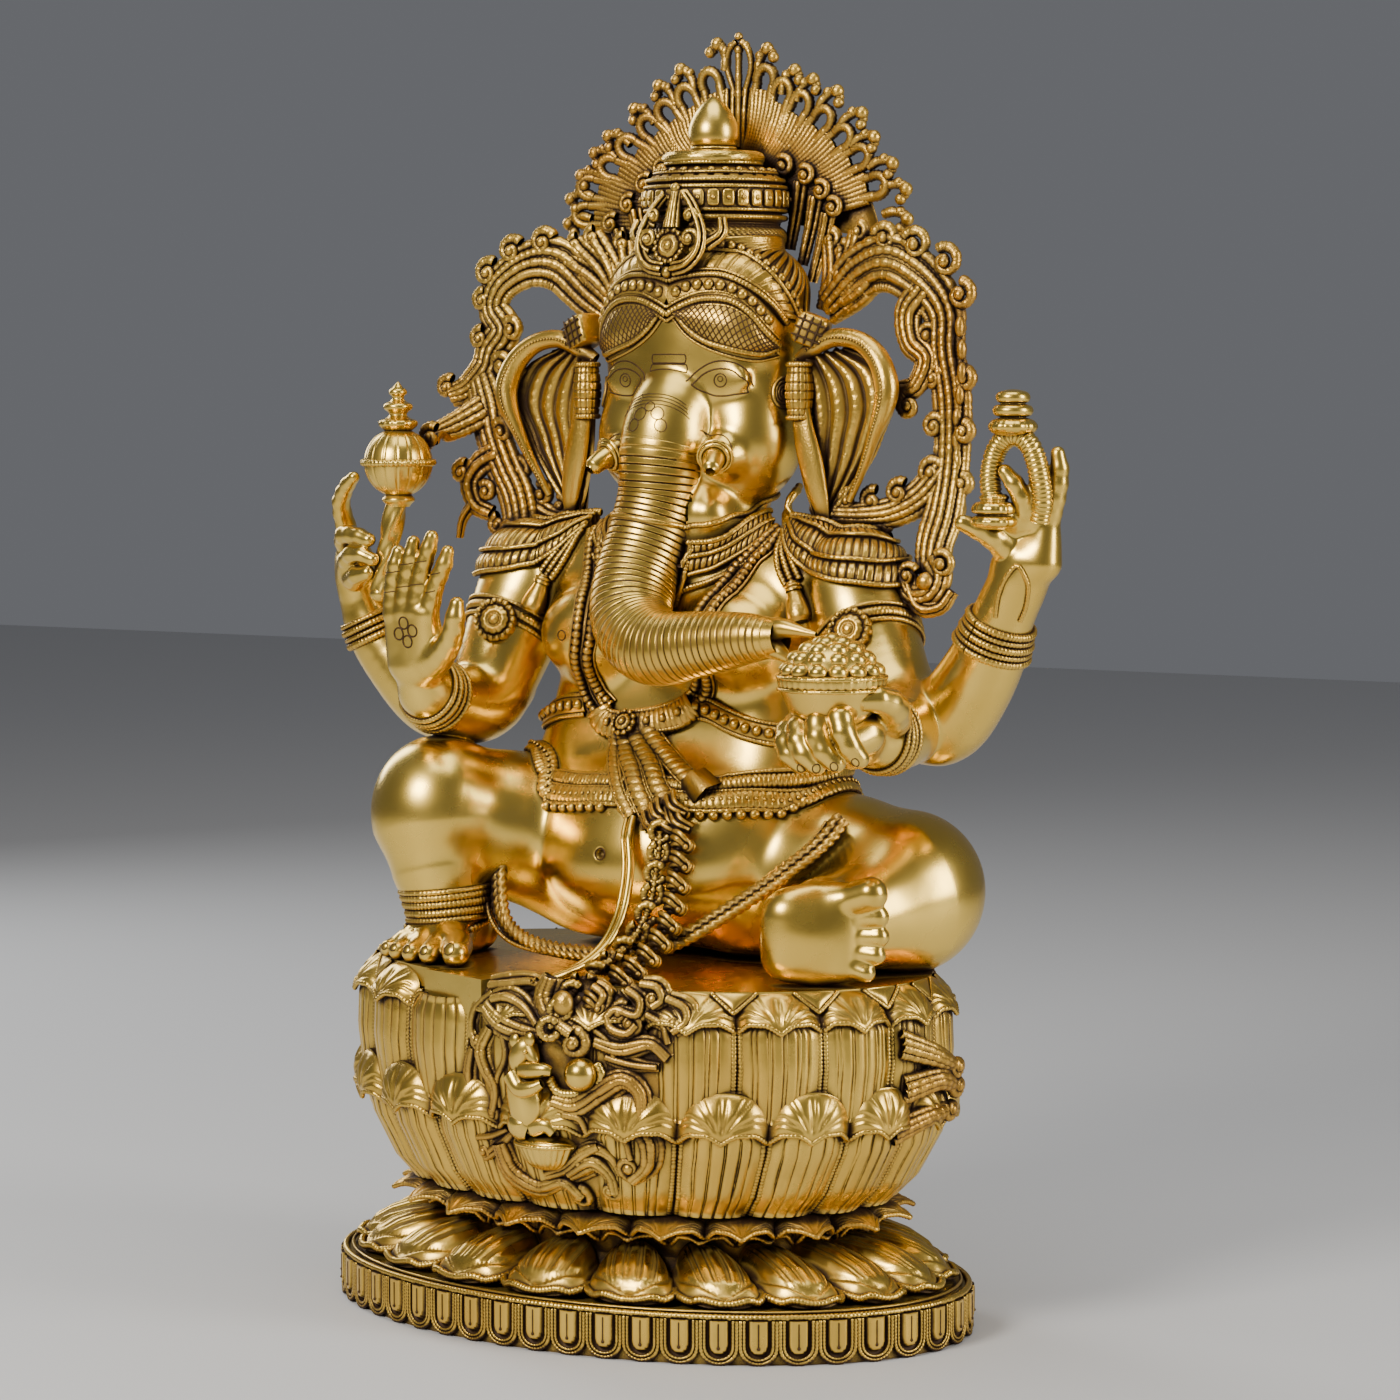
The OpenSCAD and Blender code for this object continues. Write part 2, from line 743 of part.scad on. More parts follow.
module chest_band() {
  color(pale)
    union() {
      oval_band([0, 48, 414], 110, 74, -9, 9, 4);
      chain([[36, -28, 420, 7], [60, -26, 412, 7], [84, -18, 406, 7], [104, -2, 404, 7]], 8);
      chain([[-92, 2, 412, 7], [-104, 20, 414, 7]], 8);
    }
}

module cape_tassels() {
  color(pale)
    for (side = [-1, 1]) {
      chain([[side * 76, 2, 546, 5], [side * 84, -4, 532, 6], [side * 95, -4, 520, 7]], 8);
      translate([side * 96, -4, 520])
        rotate([-24, side * 158, 0])
          cylinder(r1 = 5, r2 = 10.5, h = 24);
    }
}

module belt() {
  color(pale)
    union() {
      oval_band([0, 46, 372], 130, 86, 2, 12, 2);
      oval_band([0, 46, 372], 133, 88, -12, 0, 2);
      oval_band([0, 46, 372], 127, 83, -8, 8, 2);
    }
}

module waist_sashes() {
  color(brass)
    union() {
      chain([[6, -26, 412, 8], [14, -36, 398, 9], [22, -44, 382, 9], [34, -50, 366, 9], [46, -52, 352, 8]], 6);
      chain([[16, -28, 412, 8], [32, -38, 400, 9], [48, -44, 388, 10], [60, -46, 380, 9]], 6);
      chain([[-6, -28, 404, 6], [2, -40, 384, 6], [8, -48, 364, 6], [18, -54, 350, 6]], 6);
      lump([[34, -50, 372, 11], [50, -50, 366, 12]], 6);
    }
}

module tassel_chain() {
  loops = [[46, -57, 350], [47, -60, 335], [47, -63, 320], [46, -67, 305], [45, -72, 291], [44, -80, 278],
    [43, -92, 268], [42, -106, 262], [40, -120, 258], [39, -134, 253], [37, -146, 246], [34, -156, 235]];
  color(pale)
    for (i = [0 : len(loops) - 1]) {
      translate(loops[i])
        rotate([90, 0, 10 + (i % 2) * 55])
          rotate_extrude()
            translate([7, 0])
              circle(r = 4, $fn = 24);
    }
}

module sash_fringe() {
  color(brass)
    for (i = [0 : 9]) {
      s = i / 9;
      drop = 350 - 104 * min(1, s * 1.3);
      out = -54 - 8 * s - (s > 0.6 ? (s - 0.6) * 215 : 0);
      translate([56, out + 4, drop - 14])
        rotate([90, 0, 0])
          linear_extrude(height = 8)
            polygon([[-6, 0], [2, -2], [10 + (i % 2) * 5, 6], [14 + (i % 2) * 5, 12], [8, 18], [-4, 20]]);
    }
}

module sash_cord() {
  r = cord_radius;
  color(pale)
    union() {
      chain([[22, -58, 356, r], [26, -64, 336, r], [30, -70, 316, r], [32, -78, 296, r], [30, -88, 278, r],
        [26, -102, 264, r], [20, -120, 255, r], [14, -138, 251, r], [10, -154, 248, r]], 6);
    }
}

module lap_garland() {
  color(brass)
    union() {
      chain([[-104, -12, 362, 6], [-104, -22, 340, 7], [-102, -32, 318, 8], [-98, -40, 296, 9],
        [-86, -50, 274, 10], [-64, -60, 261, 11], [-36, -66, 257, 11], [-6, -68, 257, 11],
        [24, -70, 258, 10], [44, -68, 262, 10]], 6);
      chain([[146, 4, 352, 7], [132, -12, 340, 8], [118, -26, 322, 8], [102, -38, 304, 8],
        [84, -50, 288, 8], [66, -58, 276, 9], [50, -64, 266, 9]], 6);
    }
}

module rosette(place, turn, lean) {
  translate(place)
    rotate([lean, 0, turn]) {
      cylinder(r = rosette_radius - 3, h = 8);
      translate([0, 0, 4])
        rotate_extrude()
          translate([rosette_radius - 3, 0])
            circle(r = 3.4, $fn = 24);
      translate([0, 0, 6])
        sphere(r = 6);
    }
}

module armlets() {
  color(pale)
    for (side = [-1, 1]) {
      translate([side * 152, 34, 474])
        rotate([-28, side * -14, 0])
          difference() {
            cylinder(r = 36, h = 15, center = true);
            cylinder(r = 27, h = 17, center = true);
          }
      rosette([side * 150, 2, 480], 0, 84);
    }
}

module cuff(place, tilt_x, tilt_y, inner, outer, width) {
  translate(place)
    rotate([tilt_x, tilt_y, 0])
      difference() {
        cylinder(r = outer, h = width, center = true);
        cylinder(r = inner, h = width + 2, center = true);
      }
}

module bracelets() {
  color(pale) {
    cuff([274, 6, 489], 8, 30, 18, 29, 24);
    cuff([-256, 17, 474], 8, -28, 14, 24, 18);
    cuff([-149, -50, 431], 68, 0, 14, 26, 14);
    cuff([214, -42, 419], 92, 0, 16, 30, 14);
  }
}

// ---------- things held ----------

module mace() {
  color(pale)
    union() {
      translate([-214, -5, 594])
        sphere(r = mace_ball);
      translate([-214, -5, 594])
        rotate_extrude()
          translate([mace_ball, 0])
            circle(r = 2.6, $fn = 16);
      translate([-214, -5, 616])
        rotate_extrude()
          polygon([[0, 0], [9, 0], [13, 4], [9, 8], [7, 11], [10, 15], [7, 19], [4, 21], [6, 25], [3, 31], [0, 34]]);
      translate([-214, -5, 566])
        rotate_extrude()
          polygon([[0, 0], [8, 0], [11, 4], [9, 8], [0, 8]]);
      translate([-227, -9, 499])
        rotate([3, 10.5, 0])
          cylinder(r1 = 7, r2 = 9, h = 70);
      translate([-227, -9, 499])
        sphere(r = 8);
    }
}

module noose() {
  color(pale)
    union() {
      chain([[283, -22, 580, 8], [281, -21, 594, 8], [284, -20, 607, 8], [291, -20, 616, 8],
        [300, -20, 618, 8], [309, -20, 613, 8], [314, -20, 603, 8], [316, -18, 590, 7], [316, -14, 576, 6],
        [312, -10, 562, 6]], 7);
      translate([285, -23, 562])
        cylinder(r1 = 12, r2 = 16, h = 8, $fn = 14);
      translate([285, -23, 570])
        cylinder(r = 13, h = 10, $fn = 14);
      translate([296, -20, 620])
        rotate_extrude($fn = 14)
          polygon([[0, 0], [14, 2], [16, 6], [13, 10], [8, 12], [8, 16], [11, 19], [11, 24], [8, 27], [0, 28]]);
    }
}

module sweet_bowl() {
  color(brass)
    translate([206, -96, 430])
      rotate_extrude()
        polygon([[0, 0], [16, 0], [24, 6], [30, 16], [bowl_radius, 25], [bowl_radius + 2, 29],
          [bowl_radius, 33], [0, 33]]);
}

module sweets() {
  // Rings of round sweets heaped into a dome.
  rings = [[9, 23, 461], [6, 14, 470], [1, 0, 478]];
  color(pale)
    union() {
      for (ring = rings) {
        for (i = [0 : ring[0] - 1]) {
          translate([206 + ring[1] * cos(360 * i / ring[0]), -96 + ring[1] * sin(360 * i / ring[0]), ring[2]])
            sphere(r = sweet_radius, $fn = 8);
        }
      }
    }
}

// ---------- halo behind the head ----------

module aureole_crest() {
  // Points of the right half, from the lowest up to the one beside the apex.
  tips = [[140, 748], [143, 765], [140, 786], [130, 804], [117, 822], [103, 838], [84, 854],
    [64, 865], [46, 875], [22, 889]];
  last = len(tips) - 1;
  heart = [0, 772];
  function pull(p, k) = heart + (p - heart) * k;
  function side_step(p, k) = [p[1] - heart[1], heart[0] - p[0]] * k / norm(p - heart);
  function dip(i) = pull((tips[i] + tips[i + 1]) / 2, 0.9);
  rise = [for (i = [0 : last]) each [tips[i], i < last ? dip(i) : [12, 876]]];
  fall = [for (i = [len(rise) - 1 : -1 : 0]) [-rise[i][0], rise[i][1]]];
  color(brass)
    translate([0, 126, 0])
      rotate([90, 0, 0])
        linear_extrude(height = 9)
          difference() {
            polygon(concat([[100, 742]], rise, [[7, 897], [0, 900], [-7, 897]], fall, [[-100, 742]]));
            for (side = [-1, 1]) {
              for (i = [1 : last]) {
                translate([side * pull(tips[i], 0.86)[0], pull(tips[i], 0.86)[1]])
                  circle(r = 4.2, $fn = 10);
              }
            }
          }
  color(brass)
    for (side = [-1, 1]) {
      for (i = [0 : last]) {
        a = pull(tips[i], 0.78);
        b = pull(tips[i], 0.36);
        wide = side_step(a, 2.6);
        thin = side_step(b, 1.6);
        translate([0, 118, 0])
          rotate([90, 0, 0])
            scale([side, 1, 1])
              linear_extrude(height = crest_rib)
                polygon([a + wide, a - wide, b - thin, b + thin]);
      }
    }
}

module side_leaves(side) {
  chain([[side * 84, 100, 700, 9], [side * 98, 101, 734, 9], [side * 112, 102, 758, 7]], 6);
  chain([[side * 84, 98, 704, 8], [side * 106, 98, 730, 8], [side * 128, 96, 746, 7]], 6);
  chain([[side * 80, 102, 706, 8], [side * 88, 105, 750, 7]], 6);
}

module right_scrolls() {
  r = scroll_radius;
  color(brass)
    union() {
      side_leaves(-1);
      chain([[-98, 84, 690, r], [-122, 92, 718, r], [-146, 90, 730, r + 1], [-168, 86, 732, r + 1],
        [-188, 83, 716, r], [-182, 80, 694, r - 1], [-190, 77, 672, r], [-198, 74, 650, r],
        [-222, 56, 644, r - 2]], 6);
      chain([[-198, 74, 650, r - 1], [-180, 62, 610, r], [-158, 60, 572, r], [-148, 60, 556, r + 2],
        [-150, 58, 540, r + 2]], 6);
      chain([[-186, 66, 626, 8], [-198, 42, 616, 7], [-208, 18, 608, 7]], 6);
      chain([[-176, 60, 600, 7], [-190, 56, 592, 7], [-196, 54, 574, 6], [-186, 54, 560, 6],
        [-172, 56, 556, 7]], 6);
      chain([[-190, 54, 560, 6], [-199, 54, 550, 5], [-202, 54, 538, 4]], 6);
      chain([[-160, 60, 572, 8], [-140, 62, 562, 8], [-120, 66, 556, 8]], 6);
      chain([[-196, 74, 730, 7], [-178, 82, 738, 8], [-150, 88, 744, 7]], 6);
    }
}

module left_scrolls() {
  r = scroll_radius;
  color(brass)
    union() {
      side_leaves(1);
      chain([[98, 84, 690, r], [122, 92, 718, r], [146, 90, 728, r + 1], [170, 86, 720, r + 1],
        [187, 82, 694, r], [190, 80, 658, r], [196, 79, 620, r], [197, 76, 580, r - 1],
        [192, 66, 546, r]], 6);
      chain([[172, 82, 684, 9], [176, 80, 664, 9], [166, 78, 648, 8]], 6);
      chain([[192, 78, 590, 9], [176, 74, 574, 9], [156, 70, 566, 9], [136, 66, 562, 9],
        [116, 64, 558, 9]], 6);
      chain([[196, 66, 544, 12], [190, 56, 526, 13], [196, 50, 512, 12], [206, 50, 504, 9]], 6);
      chain([[184, 56, 520, 10], [178, 52, 508, 9], [188, 48, 498, 8]], 6);
      chain([[150, 78, 656, 7], [160, 78, 650, 7], [178, 79, 652, 7]], 6);
    }
}

plinth();
plinth_rim();
plinth_arcade();
plinth_petals();
waist_petals();
lotus_core();
lower_petals();
upper_petals();
seat_slab();
relief_scrolls();
mouse();
mouse_offerings();
side_relief();
torso();
belly();
right_leg();
right_foot();
right_anklets();
left_leg();
left_foot();
right_front_arm();
right_front_hand();
right_rear_arm();
right_rear_hand();
left_front_arm();
left_front_hand();
left_rear_arm();
left_rear_hand();
head();
trunk();
tusks();
right_ear();
left_ear();
ear_ornaments();
diadem();
crown();
crown_finial();
crown_medallion();
right_shoulder_cape();
left_shoulder_cape();
neck_bands();
long_necklace();
chest_band();
cape_tassels();
belt();
waist_sashes();
tassel_chain();
sash_fringe();
sash_cord();
lap_garland();
armlets();
bracelets();
mace();
noose();
sweet_bowl();
sweets();
aureole_crest();
right_scrolls();
left_scrolls();
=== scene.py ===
import json
import math

import bpy
import numpy as np
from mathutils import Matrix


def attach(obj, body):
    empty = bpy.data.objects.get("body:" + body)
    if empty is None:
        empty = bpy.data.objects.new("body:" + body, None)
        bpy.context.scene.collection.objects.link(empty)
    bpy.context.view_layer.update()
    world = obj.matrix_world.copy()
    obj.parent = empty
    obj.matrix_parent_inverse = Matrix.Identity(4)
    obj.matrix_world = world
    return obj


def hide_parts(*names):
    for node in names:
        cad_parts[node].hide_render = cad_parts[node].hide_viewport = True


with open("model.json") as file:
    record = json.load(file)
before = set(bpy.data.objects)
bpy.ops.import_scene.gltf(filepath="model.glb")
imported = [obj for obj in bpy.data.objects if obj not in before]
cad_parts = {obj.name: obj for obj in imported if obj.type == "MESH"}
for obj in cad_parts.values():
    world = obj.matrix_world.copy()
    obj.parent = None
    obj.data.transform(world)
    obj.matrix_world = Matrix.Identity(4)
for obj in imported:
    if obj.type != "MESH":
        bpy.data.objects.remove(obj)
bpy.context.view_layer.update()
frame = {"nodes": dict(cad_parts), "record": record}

import openvdb
from mathutils import Euler, Vector

# Everything below is laid out in millimetres and turned to metres when a mesh is made.
MM = 0.001
# Depth of the oval throne over its width
RATIO = 0.66
PI = math.pi

# ---------------------------------------------------------------- camera and light

scene = bpy.context.scene
cam_data = bpy.data.cameras.new("view")
# The camera fitted to the photo: where it stands and where it looks
VIEW_TURN = math.radians(33)
VIEW_FAR = 3.0
VIEW_HEIGHT = 0.6587
VIEW_TILT = math.radians(85.641)
VIEW_PAN = math.radians(32.336)
cam_data.lens = 110.39
cam_data.sensor_width = 36.0
cam = bpy.data.objects.new("view", cam_data)
scene.collection.objects.link(cam)
cam.location = (VIEW_FAR * math.sin(VIEW_TURN), -VIEW_FAR * math.cos(VIEW_TURN), VIEW_HEIGHT)
cam.rotation_euler = (VIEW_TILT, 0, VIEW_PAN)
scene.camera = cam


def lamp(name, place, aim, size, power, tint=(1, 1, 1), size_y=None):
    """An area light turned towards a point."""
    data = bpy.data.lights.new(name, "AREA")
    data.energy = power
    data.size = size
    if size_y:
        data.shape = "RECTANGLE"
        data.size_y = size_y
    data.color = tint
    o = bpy.data.objects.new(name, data)
    scene.collection.objects.link(o)
    o.location = place
    o.rotation_euler = (Vector(aim) - Vector(place)).to_track_quat("-Z", "Y").to_euler()


lamp("key", (-0.3, -2.4, 1.9), (0, 0, 0.45), 0.9, 72, (1.0, 0.95, 0.87))
lamp("side", (2.6, 0.2, 1.2), (0, 0, 0.5), 0.8, 48, (1.0, 0.96, 0.90), 1.6)
lamp("rim", (-2.2, 0.9, 1.5), (0, 0, 0.5), 0.7, 26, (0.96, 0.98, 1.0), 1.6)
lamp("top", (0.2, -0.3, 2.6), (0, 0, 0.5), 1.4, 20)
world = bpy.data.worlds.new("soft")
world.use_nodes = True
world.node_tree.nodes["Background"].inputs[0].default_value = (0.34, 0.35, 0.38, 1)
world.node_tree.nodes["Background"].inputs[1].default_value = 0.40
scene.world = world

# ---------------------------------------------------------------- materials


def add_node(tree, kind, values=None, links=None, **settings):
    """A shader node with its socket values, incoming links and settings."""
    node = tree.nodes.new("ShaderNode" + kind)
    for key, value in settings.items():
        setattr(node, key, value)
    for key, value in (values or {}).items():
        node.inputs[key].default_value = value
    for key, source in (links or {}).items():
        tree.links.new(source, node.inputs[key])
    return node


def ramp(tree, source, low, high, start=0.0, end=1.0):
    """A colour running from low to high between two positions."""
    node = add_node(tree, "ValToRGB", links={"Fac": source})
    node.color_ramp.elements[0].position = start
    node.color_ramp.elements[0].color = (*low, 1)
    node.color_ramp.elements[1].position = end
    node.color_ramp.elements[1].color = (*high, 1)
    return node.outputs["Color"]


def brass(name, base, deep, grime, rough, grime_reach, grime_from, grime_to, bump, bump_scale, stipple=0.0):
    """Polished cast brass: warm colour drift, brown settled in the hollows, fine wear and casting grain."""
    material = bpy.data.materials.new(name)
    material.use_nodes = True
    tree = material.node_tree
    link = tree.links.new
    bsdf = tree.nodes["Principled BSDF"]
    place = add_node(tree, "TexCoord").outputs["Object"]

    def noise(scale, detail):
        return add_node(tree, "TexNoise", {"Scale": scale, "Detail": detail},
                        {"Vector": place}).outputs["Fac"]

    def dent(height, strength, distance, below=None):
        links = {"Height": height}
        if below is not None:
            links["Normal"] = below
        return add_node(tree, "Bump", {"Strength": strength, "Distance": distance}, links).outputs["Normal"]

    tint = ramp(tree, noise(9.0, 4.0), deep, base, 0.32, 0.68)
    # grime in the hollows, with an uneven edge
    hollow = add_node(tree, "AmbientOcclusion", {"Distance": grime_reach}, samples=8)
    uneven = add_node(tree, "Math", {1: 0.34, 2: -0.17}, {0: noise(60.0, 5.0)}, operation="MULTIPLY_ADD")
    total = add_node(tree, "Math", links={0: hollow.outputs["AO"], 1: uneven.outputs[0]}, operation="ADD")
    clean = add_node(tree, "MapRange", {"From Min": grime_from, "From Max": grime_to},
                     {"Value": total.outputs[0]}, interpolation_type="SMOOTHSTEP").outputs["Result"]
    mix = add_node(tree, "Mix", data_type="RGBA")
    mix.inputs["A"].default_value = (*grime, 1)
    link(clean, mix.inputs["Factor"])
    link(tint, mix.inputs["B"])
    link(mix.outputs["Result"], bsdf.inputs["Base Color"])
    # grime is duller than metal, and the polish is uneven
    polish = add_node(tree, "MapRange", {"To Min": rough - 0.05, "To Max": rough + 0.09},
                      {"Value": noise(26.0, 6.0)})
    dull = add_node(tree, "Mix", {"A": 0.62}, {"Factor": clean, "B": polish.outputs["Result"]})
    link(dull.outputs["Result"], bsdf.inputs["Roughness"])
    metal = add_node(tree, "MapRange", {"To Min": 0.45, "To Max": 1.0}, {"Value": clean})
    link(metal.outputs["Result"], bsdf.inputs["Metallic"])
    # casting grain, soft waves and, on engraved parts, fine punch marks
    normal = dent(noise(bump_scale, 3.0), bump, 0.0006)
    normal = dent(noise(34.0, 2.0), 0.10, 0.0030, normal)
    if stipple:
        dots = add_node(tree, "TexVoronoi", {"Scale": 620.0}, {"Vector": place})
        normal = dent(dots.outputs["Distance"], stipple, 0.0008, normal)
    link(normal, bsdf.inputs["Normal"])
    return material


def dark_line(name):
    """The brown that fills an engraved line."""
    material = bpy.data.materials.new(name)
    material.use_nodes = True
    tree = material.node_tree
    bsdf = tree.nodes["Principled BSDF"]
    bsdf.inputs["Roughness"].default_value = 0.55
    bsdf.inputs["Metallic"].default_value = 0.5
    speckle = add_node(tree, "TexNoise", {"Scale": 180.0})
    colour = ramp(tree, speckle.outputs["Fac"], (0.03, 0.014, 0.005), (0.12, 0.06, 0.018))
    tree.links.new(colour, bsdf.inputs["Base Color"])
    return material


GOLD = (0.95, 0.66, 0.14)
GREENISH = (0.84, 0.55, 0.10)
AMBER = (0.70, 0.37, 0.06)
BROWN = (0.045, 0.018, 0.005)
skin = brass("brass_polished", GOLD, GREENISH, BROWN, 0.25, 0.009, 0.34, 0.74, 0.05, 700)
ornate = brass("brass_engraved", (0.92, 0.61, 0.12), (0.76, 0.45, 0.07), BROWN,
               0.27, 0.010, 0.60, 1.02, 0.14, 600, 0.16)
aged = brass("brass_antique", (0.90, 0.58, 0.11), AMBER, (0.030, 0.012, 0.004),
             0.31, 0.012, 0.62, 1.06, 0.20, 520, 0.20)
petal_mat = brass("brass_petal", (0.92, 0.62, 0.12), (0.78, 0.48, 0.08), BROWN,
                  0.26, 0.008, 0.58, 1.0, 0.12, 560)
line_mat = dark_line("engraved_line")

# ---------------------------------------------------------------- meshes from arrays


def run_along(path):
    """Distance along a line at each of its points."""
    return np.concatenate([[0], np.cumsum(np.linalg.norm(np.diff(path, axis=0), axis=1))])


def unit(v):
    """Rows made one long."""
    return v / (np.linalg.norm(v, axis=-1, keepdims=True) + 1e-9)


def net(rows, columns, closed=False):
    """Quads of a grid of points, closed round its columns or not."""
    wide = columns if closed else columns - 1
    i, j = np.meshgrid(np.arange(rows - 1), np.arange(wide), indexing="ij")
    after = (j + 1) % columns
    quads = [i * columns + j, i * columns + after, (i + 1) * columns + after, (i + 1) * columns + j]
    return np.stack(quads, -1).reshape(-1, 4)


class Heap:
    """Vertices and quads gathered for one piece."""

    def __init__(self):
        self.v, self.f, self.n = [], [], 0

    def add(self, v, f):
        v = np.asarray(v, float).reshape(-1, 3)
        self.v.append(v)
        self.f.append(np.asarray(f, int).reshape(-1, 4) + self.n)
        self.n += len(v)

    def arrays(self):
        return np.concatenate(self.v), np.concatenate(self.f)


def build(name, v, f, mat, nodes=(), normals=None):
    """A mesh object in metres, riding on the one body."""
    mesh = bpy.data.meshes.new(name)
    v = np.asarray(v, np.float32) * MM
    f = np.asarray(f, np.int32)
    mesh.vertices.add(len(v))
    mesh.vertices.foreach_set("co", v.ravel())
    mesh.loops.add(f.size)
    mesh.loops.foreach_set("vertex_index", f.ravel())
    mesh.polygons.add(len(f))
    mesh.polygons.foreach_set("loop_start", np.arange(0, f.size, f.shape[1], dtype=np.int32))
    mesh.update(calc_edges=True)
    mesh.validate()
    mesh.polygons.foreach_set("use_smooth", np.full(len(mesh.polygons), True))
    if normals is not None and len(mesh.vertices) == len(normals):
        mesh.normals_split_custom_set_from_vertices(normals.tolist())
    mesh.materials.append(mat)
    o = bpy.data.objects.new(name, mesh)
    scene.collection.objects.link(o)
    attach(o, "root")
    if nodes:
        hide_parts(*nodes)
    return o


def piece(name, heap, mat, nodes=()):
    """A heap made into a piece that stands for some CAD nodes."""
    v, f = heap.arrays()
    return build(name, v, f, mat, nodes)


def spline(points, step=2.0, closed=False):
    """A smooth line through the points, evenly stepped. Extra columns such as radius ride along."""
    p = np.asarray(points, float)
    if closed:
        p = np.concatenate([p[-1:], p, p[:2]])
    else:
        p = np.concatenate([2 * p[:1] - p[1:2], p, 2 * p[-1:] - p[-2:-1]])
    out = []
    for i in range(1, len(p) - 2):
        a, b, c, d = p[i - 1], p[i], p[i + 1], p[i + 2]
        n = max(3, int(np.linalg.norm((c - b)[:3]) / step * 2) + 1)
        t = np.linspace(0, 1, n, endpoint=False)[:, None]
        out.append(0.5 * ((2 * b) + (c - a) * t + (2 * a - 5 * b + 4 * c - d) * t ** 2
                          + (3 * b - a - 3 * c + d) * t ** 3))
    out.append(p[-2:-1] if not closed else out[0][:1])
    q = np.concatenate(out)
    s = run_along(q[:, :3])
    m = max(3, int(s[-1] / step) + 1)
    u = np.linspace(0, s[-1], m)
    q = np.stack([np.interp(u, s, q[:, k]) for k in range(q.shape[1])], 1)
    return q


def frames(path, up=None):
    """Tangent, side and top vectors along a line, without needless twist."""
    t = np.gradient(path, axis=0)
    t /= np.linalg.norm(t, axis=1, keepdims=True) + 1e-9
    side = np.zeros_like(t)
    first = np.array([0.0, 0, 1]) if up is None else np.asarray(up, float)
    if up is None and abs(t[0] @ first) > 0.9:
        first = np.array([0.0, 1, 0])
    if up is not None and np.ndim(up) == 2:
        top = np.asarray(up, float)
        top = top - (top * t).sum(1, keepdims=True) * t
        top /= np.linalg.norm(top, axis=1, keepdims=True) + 1e-9
        return t, np.cross(t, top), top
    a = first - (first @ t[0]) * t[0]
    a /= np.linalg.norm(a) + 1e-9
    top = np.zeros_like(t)
    for i in range(len(t)):
        a = a - (a @ t[i]) * t[i]
        a /= np.linalg.norm(a) + 1e-9
        top[i] = a
    return t, np.cross(t, top), top


def tube(heap, path, r, sides=10, up=None, flat=1.0, ring=None, lobes=None):
    """A swept round or flattened bar. ring(s) scales it along its length, lobes(angle, s) round it."""
    path = np.asarray(path, float)
    if path.shape[1] > 3:
        r, path = path[:, 3], path[:, :3]
    r = np.broadcast_to(np.asarray(r, float), (len(path),)).copy()
    s = run_along(path)
    if ring is not None:
        r = r * ring(s)
    _, side, top = frames(path, up)
    a = np.linspace(0, 2 * PI, sides, endpoint=False)
    ca, sa = np.cos(a), np.sin(a)
    rr = r[:, None] * np.ones(sides)[None, :]
    if lobes is not None:
        rr = rr * lobes(a[None, :], s[:, None])
    sideways = (rr * ca)[:, :, None] * side[:, None, :]
    upward = (rr * sa * flat)[:, :, None] * top[:, None, :]
    v = path[:, None, :] + sideways + upward
    n = len(path)
    v = v.reshape(-1, 3)
    f = net(n, sides, True)
    # both ends close in a low point
    c = len(v)
    t0, t1 = path[1] - path[0], path[-1] - path[-2]
    t0 = t0 / (np.linalg.norm(t0) + 1e-9) * r[0] * 0.5
    t1 = t1 / (np.linalg.norm(t1) + 1e-9) * r[-1] * 0.5
    v = np.concatenate([v, [path[0] - t0], [path[-1] + t1]])
    j = np.arange(sides)
    e = (n - 1) * sides
    f = np.concatenate([f, np.stack([j * 0 + c, (j + 1) % sides, j, j * 0 + c], -1),
                        np.stack([j * 0 + c + 1, e + j, e + (j + 1) % sides, j * 0 + c + 1], -1)])
    heap.add(v, f)


def ball_mesh(ring=8, rows=6):
    """Points and faces of a round ball of radius one."""
    th = np.linspace(0, PI, rows + 1)
    ph = np.linspace(0, 2 * PI, ring, endpoint=False)
    v = np.stack([np.sin(th)[:, None] * np.cos(ph), np.sin(th)[:, None] * np.sin(ph),
                  np.cos(th)[:, None] * np.ones(ring)], -1).reshape(-1, 3)
    i, j = np.meshgrid(np.arange(rows), np.arange(ring), indexing="ij")
    f = np.stack([i * ring + j, (i + 1) * ring + j, (i + 1) * ring + (j + 1) % ring,
                  i * ring + (j + 1) % ring], -1)
    return v, f.reshape(-1, 4)


BALL = ball_mesh()
BALL_FINE = ball_mesh(20, 14)


def blob(heap, at, r, squash=(1, 1, 1), fine=False):
    """A ball, squashed or not."""
    v, f = BALL_FINE if fine else BALL
    v = v * r * np.asarray(squash, float)
    heap.add(v + np.asarray(at, float), f)


def beads(heap, path, r, gap=None):
    """Round beads strung along a line."""
    path = np.asarray(path, float)[:, :3]
    s = run_along(path)
    m = max(1, int(s[-1] / (gap or r * 1.9)))
    u = (np.arange(m) + 0.5) * s[-1] / m
    for k in range(m):
        blob(heap, [np.interp(u[k], s, path[:, c]) for c in range(3)], r)


def rope(heap, path, r, pitch=3.5, strands=3, depth=0.22, sides=12):
    """A twisted border cord."""
    tube(heap, path, r, sides, lobes=lambda a, s: 1 + depth * np.cos(strands * a + 2 * PI * s / pitch))


def ringed(heap, path, r, pitch=3.0, depth=0.18, sides=10, flat=1.0, up=None):
    """A cord cut across by close grooves."""
    tube(heap, path, r, sides, up=up, flat=flat,
         ring=lambda s: 1 - depth * (np.cos(2 * PI * s / pitch) > 0.55))


def outline(rows, step=0.5):
    """A turned profile smoothed through a few radius and height pairs."""
    return spline([(q[0], 0, q[1]) for q in rows], step)[:, [0, 2]]


